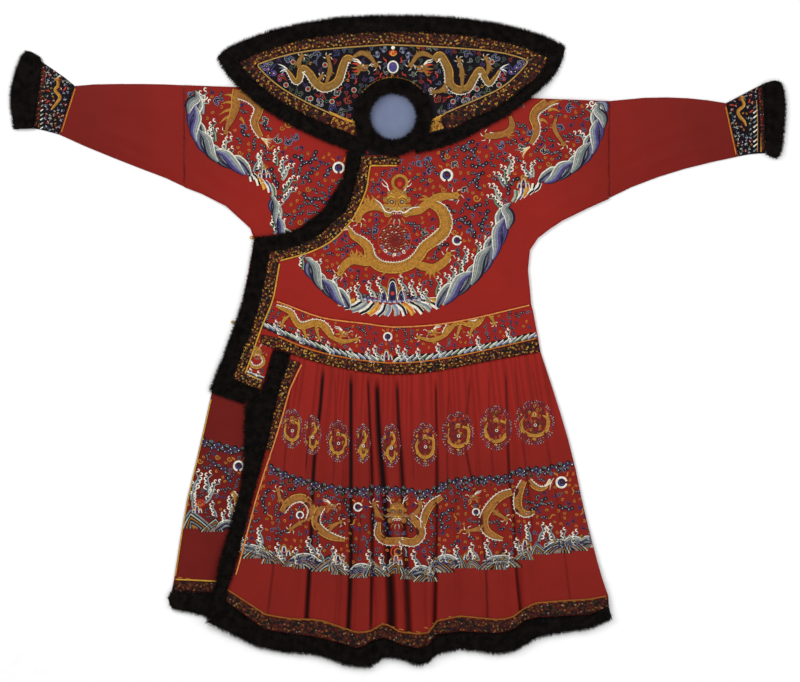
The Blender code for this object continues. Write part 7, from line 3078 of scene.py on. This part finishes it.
@dataclass
class WaistWork:
    """Embroidery of the waist band and the flap."""

    top: tuple[Point, ...] = (
        (265, 298), (310, 316), (345, 325), (388, 329), (433, 327), (480, 319.5), (531, 307))
    ropes: tuple[tuple[tuple[Point, ...], int], ...] = (
        (((265, 325), (292, 336.5), (329, 350), (357, 356.5), (381, 359.5)), 1),
        (((397, 359.5), (433, 357), (477, 349), (538, 335)), -1))
    middle: float = 388.0

    def build(self, grounds: list[bpy.types.Object]) -> None:
        """Stitch the band and the flap.

        Args:
            grounds: the dressed pieces to stitch on.
        """
        motifs = Motifs.on("waist_embroidery", grounds, 104)
        for places, tilt in self.ropes:
            self._rope(motifs, resample(np.array(places, float), 6.4), tilt)
        self._dragon(motifs, 1)
        self._dragon(motifs, -1)
        motifs.mountain(386.4, 360, 1.1)
        for x, y in ((377, 347), (370, 350), (400, 347), (407, 350), (330, 343), (440, 345),
                     (300, 331), (480, 338), (352, 350), (420, 350), (510, 330), (278, 322)):
            motifs.spray(x, y, 90, 4.4)
        motifs.pearl(387.7, 336.7, 4.6)
        low = [(x, y + 26) for x, y in self.top[::-1]]
        motifs.filler(list(self.top) + low, 1500, 2.7, 1.9, 0.3)
        self._flap(motifs)
        motifs.work.finish("red_silk")
        LOG.info("embroidered the waist band")

    def _rope(self, motifs: Motifs, line: np.ndarray, tilt: int) -> None:
        """A row of slanting turns of water; tilt is 1 where they fall to the right.

        Args:
            motifs: the embroidery to add to.
            line: its middle line.
            tilt: 1 where they fall to the right or -1.
        """
        threads = (Thread.PALE, Thread.GREY, Thread.GREEN, Thread.SKY, Thread.GREY)
        for k, (x, y) in enumerate(line):
            motifs.work.dot(x, y, 4.6, Thread.BLACK, 0, 8, 0.95)
            for shift, tone, wide in ((0.0, threads[(k * 3) % 5], 3.8), (-1.2, Thread.WHITE, 1.1),
                                      (0.3, Thread.PALE, 0.8), (1.5, Thread.NAVY, 0.8)):
                motifs.work.stroke([(x - 3.8, y - 2.9 * tilt + shift), (x, y + shift),
                                    (x + 3.8, y + 2.9 * tilt + shift)],
                                   [0.5 * wide, wide, 0.5 * wide], tone,
                                   1 if wide > 2 else 2, fine=1.5)

    def _dragon(self, motifs: Motifs, way: int) -> None:
        """A running dragon; way is 1 for the left one or -1 for the right one.

        Args:
            motifs: the embroidery to add to.
            way: 1 for the left one or -1 for the right one.
        """
        def at(places: tuple[Point, ...]) -> list[Point]:
            """Places on this dragon's side."""
            if way > 0:
                return list(places)
            return mirrored([(x, y - 1.5) for x, y in places], self.middle)

        motifs.serpent(at(((331, 336), (328, 330), (322.5, 324.5), (314, 322.8), (307, 325),
                           (300, 325.5), (295, 320), (291, 312.5), (283, 308.5), (276, 305.7))),
                       [6, 6.5, 7, 7, 7, 6.5, 6, 5.5, 4, 1.6], way)
        (x, y), = at(((343, 333.5),))
        motifs.side_head(x, y, way, 1.15)
        motifs.leg(at(((322, 328), (332, 337), (344, 341.5), (357, 339))), 4.4, 3.8)
        for places in (((290, 315), (284, 320), (282, 325)), ((301, 326), (304, 331), (306, 336)),
                       ((315, 325), (317, 331), (319, 338))):
            motifs.leg(at(places), 3.2, 3.2)

    def _flap(self, motifs: Motifs) -> None:
        """The small dragon and waves of the square flap.

        Args:
            motifs: the embroidery to add to.
        """
        motifs.serpent([(262, 356), (264, 362), (259, 367), (252, 366), (250, 360)],
                       [2.2, 2.8, 3.0, 2.6, 1.2], 1)
        motifs.front_head(257, 352, 0.4)
        motifs.spray(252, 370, 80, 4)
        motifs.spray(260, 373, 80, 4)
        motifs.swell([(247, 373), (255, 377), (264, 379)], 4.5, SKY_SWELL)
        motifs.filler([(258, 340), (268, 344), (264, 380), (247, 374)], 160, 2.5, 1.6)


@dataclass
class SkirtWork:
    """Embroidery of the front skirt: a row of badges and a wide band of dragons and waves."""

    badges: tuple[tuple[float, float, float, float], ...] = (
        (292, 428.5, 10.6, 20), (312.5, 435, 8.7, 20), (338, 441, 11.5, 21), (363, 443.5, 7.5, 20),
        (391, 445.5, 9.5, 22), (425, 444.5, 13, 22), (458, 433.5, 16, 22), (496, 428, 16, 22.5),
        (534.5, 422.5, 20, 22.5))
    cloud_row: tuple[Point, ...] = (
        (270.6, 467), (286, 475), (301, 480), (321.6, 485.5), (337, 488), (350, 490), (362, 490.6),
        (373, 487), (387, 489), (404.5, 489), (419, 493), (433, 491), (445, 483), (458.6, 480),
        (474, 478.5), (492, 478.5), (508, 477), (517, 471), (531, 469.5), (546, 469), (558, 465.6),
        (572, 463.4))
    foot: tuple[Point, ...] = (
        (240, 550.5), (258, 556), (276, 562), (293.6, 564.5), (316.5, 567), (336, 571), (355, 575),
        (367.6, 576), (380, 572), (393, 571), (410, 577), (424, 580), (438, 570), (458.6, 565),
        (484, 566), (500, 568), (519, 559), (536, 552), (561.6, 550), (591, 545))
    sprays: tuple[tuple[float, float, float], ...] = (
        (263, 528, 70), (248, 538, 60), (256, 540, 100), (311, 539, 90), (322, 547, 80),
        (331, 549, 100), (371, 552, 90), (404.5, 540, 80), (416, 552, 90), (427, 559, 100),
        (446, 548, 90), (489.5, 541.6, 80), (504, 553, 110), (531, 525, 70), (541, 525, 100),
        (552.6, 526, 80), (280, 545, 90), (298, 550, 80), (345, 556, 90), (384, 556, 90),
        (459, 548, 80), (474, 545, 90), (519, 540, 90), (566, 530, 80), (578, 532, 70))
    swells: tuple[Swell, ...] = (
        (((243, 547), (258, 551), (270, 557)), 8, GREY_SWELL),
        (((293, 560), (306, 558), (318, 562)), 8, SKY_SWELL),
        (((352, 571), (362, 568), (373, 572)), 8, SKY_SWELL),
        (((412, 573), (422, 570), (432, 575)), 8, GREY_SWELL),
        (((436, 563), (446, 559), (456, 562)), 8, SKY_SWELL),
        (((486, 562), (500, 560), (513, 560)), 8, GREY_SWELL),
        (((547, 548), (556, 544), (566, 545)), 8, GREEN_SWELL),
        (((564, 545), (573, 541), (583, 543)), 8, SKY_SWELL),
        (((580, 544), (586, 540), (592, 541)), 7, GREY_SWELL))
    dashes: tuple[Point, ...] = (
        (239, 602), (256, 610), (272, 619), (319, 621), (356, 634), (366, 635), (384, 624),
        (415, 634), (434, 624), (448, 617), (494, 621), (509, 620), (526, 609), (540, 604),
        (592, 600))

    def build(self, grounds: list[bpy.types.Object]) -> None:
        """Stitch the skirt.

        Args:
            grounds: the dressed pieces to stitch on.
        """
        motifs = Motifs.on("skirt_embroidery", grounds, 105, Thread.WARM_GOLD)
        for badge in self.badges:
            motifs.roundel(*badge)
        pairs = ((Thread.SKY, Thread.NAVY), (Thread.CORAL, Thread.DARK_RED),
                 (Thread.GREY, Thread.BLUE), (Thread.GREEN, Thread.BLACK))
        row = resample(np.array(self.cloud_row, float), 7.0)
        motifs.beads([tuple(place) for place in row], 2.3, Thread.BLUE)
        for index, (x, y) in enumerate(row):
            if index % 3:
                motifs.beads([(x - 2, y + 3.4), (x + 2.5, y + 4.2)], 1.7, Thread.PURPLE)
            motifs.cloud(x, y + 5.0, 2.4, pairs[index % 4], 90 + 60 * math.sin(2.1 * index), 2)
        foot = resample(np.array(self.foot, float), 17.0)
        for index, (x, y) in enumerate(foot):
            motifs.hill(x, y + 1, 12.0 + 3.0 * math.sin(1.7 * index), index)
        for index, (x, y) in enumerate(resample(np.array(self.foot, float), 9.0)):
            py = y - 8 - 2 * math.sin(2.3 * index)
            tone = (Thread.YELLOW, Thread.SKY, Thread.WHITE)[index % 3]
            motifs.work.dot(x, py, 2.2, Thread.BLACK, 3, 7)
            motifs.work.ring(x, py, 1.6, 0.5, tone, 4, 0, 300)
            motifs.work.dot(x, py, 0.6, Thread.WHITE, 4, 4)
        for places, width, tones in self.swells:
            motifs.swell(list(places), width, tones)
        for x, y in ((284, 562), (338, 571), (396, 571), (470, 566), (525, 556)):
            motifs.mountain(x, y - 6, 1.2)
        self._dragons(motifs)
        for x, y, turn in self.sprays:
            motifs.spray(x, y, turn, 5.2)
        for x, y, radius, opening in ((358, 507, 4.6, 0), (561.6, 482.4, 6, 0),
                                      (300, 515, 4, 90), (476, 512, 4, 90)):
            motifs.pearl(x, y, radius, opening=opening)
        for chain in (((459, 489), (469, 489)), ((452, 509), (440.6, 516), (442, 527)),
                      ((559.6, 507), (572, 509)), ((545, 498), (538, 506), (527, 514.5)),
                      ((345, 500), (350, 515)), ((290, 490), (296, 487)), ((372, 515), (376, 528)),
                      ((268, 490), (262, 500), (266, 512)), ((412, 530), (408, 520))):
            motifs.beads(list(chain), 1.9)
        region = [(x, y + 5) for x, y in self.cloud_row]
        region += [(x, y - 12) for x, y in self.foot[::-1]]
        motifs.filler(region, 3600, 2.9, 2.2, 0.4)
        dashes = resample(np.array(self.dashes, float), 9.0)
        for x, y in dashes:
            motifs.work.stroke([(x - 2.2, y - 0.6), (x + 2.2, y + 0.4)], 0.9, Thread.GOLD, 0,
                               smooth=False)
        edge = resample(np.array([(270.6, 456), (262, 486), (252, 520), (240, 558)], float), 5.0)
        for a, b in zip(edge[::2], edge[1::2]):
            motifs.work.stroke([tuple(a), tuple(b)], 0.8, Thread.ORANGE, 0, smooth=False)
        motifs.work.finish("red_silk")
        LOG.info("embroidered the front skirt")

    def _dragons(self, motifs: Motifs) -> None:
        """The dragons of the wide band.

        Args:
            motifs: the embroidery to add to.
        """
        motifs.serpent([(282, 512), (288, 503), (295, 498.5), (303, 498), (309, 503), (312, 511),
                        (308, 521)], [6, 7.5, 8, 8, 8, 7.5, 5], 1)
        motifs.leg([(285, 506), (280, 498), (278, 490)], 4, 4.4)
        motifs.leg([(306, 520), (298, 524), (291, 529)], 4, 4.4)
        motifs.serpent([(322, 506), (317, 514), (316, 524), (323, 532), (332, 537), (345, 540)],
                       [7, 8, 8.5, 8, 7, 3], -1)
        motifs.side_head(331, 506, 1, 1.1)
        motifs.leg([(328, 534), (333, 526), (341, 522)], 4, 4.4)
        x, y = 398, 552
        motifs.work.dot(x, y, 8.0, Thread.DARK_RED, 1, 12)
        motifs.work.ring(x, y, 7.0, 1.4, Thread.CORAL, 2, 0, 360)
        motifs.work.ring(x, y, 3.6, 1.0, Thread.ORANGE, 2, 0, 360)
        motifs.work.dot(x, y, 1.6, Thread.NAVY, 3, 6)
        motifs.serpent([(410, 516), (418, 524), (421, 534), (414, 542), (402, 541), (386, 541),
                        (378, 534), (379, 522)], [7.5, 8.5, 8.5, 8, 7.5, 7.5, 7, 4], -1)
        motifs.front_head(397, 513, 0.82)
        motifs.leg([(384, 520), (377, 512), (374, 504)], 4.4, 4.6, 5, 240)
        motifs.leg([(411, 518), (418, 510), (420, 503)], 4.4, 4.6, 5, 240)
        motifs.serpent([(442, 497), (433, 503), (427, 511), (424, 520), (423, 529)],
                       [5, 7, 8, 7, 3.5], 1)
        motifs.serpent([(512, 492), (503, 495), (495, 501), (488, 510), (484, 519), (486, 530),
                        (494, 536), (503, 539)], [6, 8, 8.5, 9, 8.5, 8, 6.5, 3], 1)
        motifs.side_head(474, 497, -1, 1.0)
        motifs.leg([(490, 508), (498, 514), (506, 519)], 4.4, 4.8)
        motifs.leg([(486, 524), (477, 529), (468, 531)], 4.4, 4.8)
        motifs.serpent([(524, 481), (520, 490), (518, 499), (519, 509), (526, 514), (535, 512)],
                       [6, 8, 8.5, 8, 6.5, 3], 1)
        motifs.serpent([(529, 480), (534, 486), (541, 489), (548, 486)], [4, 5.5, 4.5, 2], -1)
        for index in range(5):
            motifs.work.stroke([(545, 487), (550, 483 - index), (554 - index, 478 + 3 * index)],
                               [1.2, 1.0, 0.3], Thread.YELLOW if index % 2 else Thread.WHITE, 2)
        for x, y, turn in ((468, 505, 60), (465, 530, 200), (350, 525, 40), (272, 520, 120),
                           (572, 495, 80), (580, 515, 60), (556, 515, 200), (455, 522, 90)):
            motifs.flame(x, y, turn, 9, Thread.GOLD)


@dataclass
class BackSkirtWork:
    """Embroidery of the part of the back skirt that shows."""

    def build(self, grounds: list[bpy.types.Object]) -> None:
        """Stitch the band.

        Args:
            grounds: the dressed pieces to stitch on.
        """
        motifs = Motifs.on("back_skirt_embroidery", grounds, 106)
        row = [(203, 440), (211, 443), (219, 445), (227, 447.5), (236, 449), (243, 450)]
        motifs.beads(row, 2.4, Thread.BLUE)
        motifs.beads([(x - 1, y + 4) for x, y in row[::2]], 1.9, Thread.PURPLE)
        motifs.swirl(217.5, 457, 2.8)
        motifs.swirl(229.5, 459, 2.8)
        motifs.swirl(200, 461, 3.0)
        motifs.beads([(213, 463), (219, 467), (225, 469), (228, 475), (229.5, 481)], 2.0,
                     Thread.BLUE)
        motifs.pearl(238.5, 466, 5.5)
        for x, y, turn, size in ((196, 472, 100, 6), (212, 474, 60, 6), (220, 483, 35, 5.5),
                                 (218, 493, 20, 5), (191, 484, 110, 5), (190, 494, 120, 4.5),
                                 (214.5, 503, 80, 4.5), (234, 497, 60, 5), (236, 506, 50, 4.5),
                                 (226, 512, 70, 4)):
            motifs.spray(x, y, turn, size)
        motifs.work.dot(200, 503, 4.8, Thread.RED, 1, 9, 0.7)
        motifs.work.ring(200, 503, 4.6, 1.2, Thread.CORAL, 2, 0, 360, 0.7)
        motifs.swirl(200, 503, 2.6)
        motifs.serpent([(232, 492), (236, 498), (237, 505), (232, 511)], [4, 5.5, 5, 2.5], -1)
        motifs.hill(196, 527, 17, 0)
        motifs.hill(212, 530, 12, 1)
        motifs.hill(184, 526, 8, 1)
        motifs.mountain(197, 513, 0.9)
        motifs.swell([(218, 529), (226, 524), (236, 526)], 7, GREY_SWELL)
        motifs.filler([(208, 446), (242, 455), (234, 530), (185, 520), (196, 470)], 700, 2.8, 2.0)
        for x, y in ((180, 577.5), (188, 578.5), (197, 580), (206, 582), (214, 584)):
            motifs.work.stroke([(x - 2, y), (x + 2, y + 0.4)], 0.9, Thread.GOLD, 0, smooth=False)
        motifs.work.finish("red_silk")
        LOG.info("embroidered the back skirt")


@dataclass
class Studio:
    """The pale floor, the soft lights and the camera."""

    floor_half: float = 4.0
    camera_height: float = 3.0
    picture_width: float = PHOTO_SIZE[0] * PIXEL
    air: float = 0.55
    lamps: tuple[tuple[str, tuple[float, float, float], float, float], ...] = (
        ("soft_key", (-1.6, 1.5, 2.6), 2.2, 62.0),
        ("soft_fill", (1.9, 0.6, 2.4), 2.6, 34.0),
        ("soft_low", (0.2, -2.4, 2.2), 2.4, 22.0),
    )

    def build(self) -> None:
        """Build the floor, the lights and the camera."""
        self._floor()
        self._lights()
        self._camera()

    def _floor(self) -> None:
        """Lay the pale floor just below the robe."""
        half = self.floor_half
        data = bpy.data.meshes.new("studio_floor")
        data.from_pydata([(-half, -half, -MM), (half, -half, -MM), (half, half, -MM),
                          (-half, half, -MM)], [], [[0, 1, 2, 3]])
        floor = bpy.data.objects.new("studio_floor", data)
        bpy.context.scene.collection.objects.link(floor)
        material, tree, shader = new_material("pale_floor")
        grain = noise_mask(tree, {"Scale": 30.0})
        colour = ramp_between(tree, grain, (0.86, 0.86, 0.86), (0.9, 0.9, 0.9), 0.3, 0.7)
        tree.links.new(colour, shader.inputs["Base Color"])
        set_inputs(shader, {"Roughness": 0.9})
        floor.data.materials.append(material)

    def _lights(self) -> None:
        """Hang the soft lamps, each turned to the robe, in white air."""
        for name, at, size, power in self.lamps:
            lamp = bpy.data.lights.new(name, "AREA")
            lamp.size = size
            lamp.energy = power
            item = bpy.data.objects.new(name, lamp)
            item.location = at
            item.rotation_euler = (-Vector(at)).to_track_quat("-Z", "Y").to_euler()
            bpy.context.scene.collection.objects.link(item)
        world = bpy.data.worlds.new("studio_air")
        bpy.context.scene.world = world
        world.use_nodes = True
        set_inputs(world.node_tree.nodes["Background"],
                   {"Color": (1.0, 1.0, 1.0, 1.0), "Strength": self.air})

    def _camera(self) -> None:
        """Set the camera straight above the middle of the photograph."""
        lens = bpy.data.cameras.new("camera")
        lens.type = "ORTHO"
        lens.ortho_scale = self.picture_width
        camera = bpy.data.objects.new("camera", lens)
        camera.location = (*spot(PHOTO_SIZE[0] / 2, PHOTO_SIZE[1] / 2), self.camera_height)
        bpy.context.scene.collection.objects.link(camera)
        bpy.context.scene.camera = camera
        bpy.context.scene.view_settings.view_transform = "Standard"


def main() -> None:
    """Build the robe's looks piece by piece."""
    logging.basicConfig(level=logging.INFO, format="%(name)s: %(message)s")
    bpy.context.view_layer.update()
    Studio().build()
    body = Body().build()
    sleeves = Sleeves().build()
    cape = Cape().build()
    Closing().build()
    waist = Waist().build()
    skirt = FrontSkirt().build()
    back_skirt = BackSkirt().build()
    Buttons().build()
    YokeWork().build(body.pieces)
    CapeWork().build([cape.panel])
    CuffWork().build([sleeves.pieces["cuff_left"], sleeves.pieces["cuff_right"]])
    WaistWork().build(waist.pieces)
    SkirtWork().build([skirt.cloth])
    BackSkirtWork().build([back_skirt.cloth])


if __name__ == "__main__":
    main()
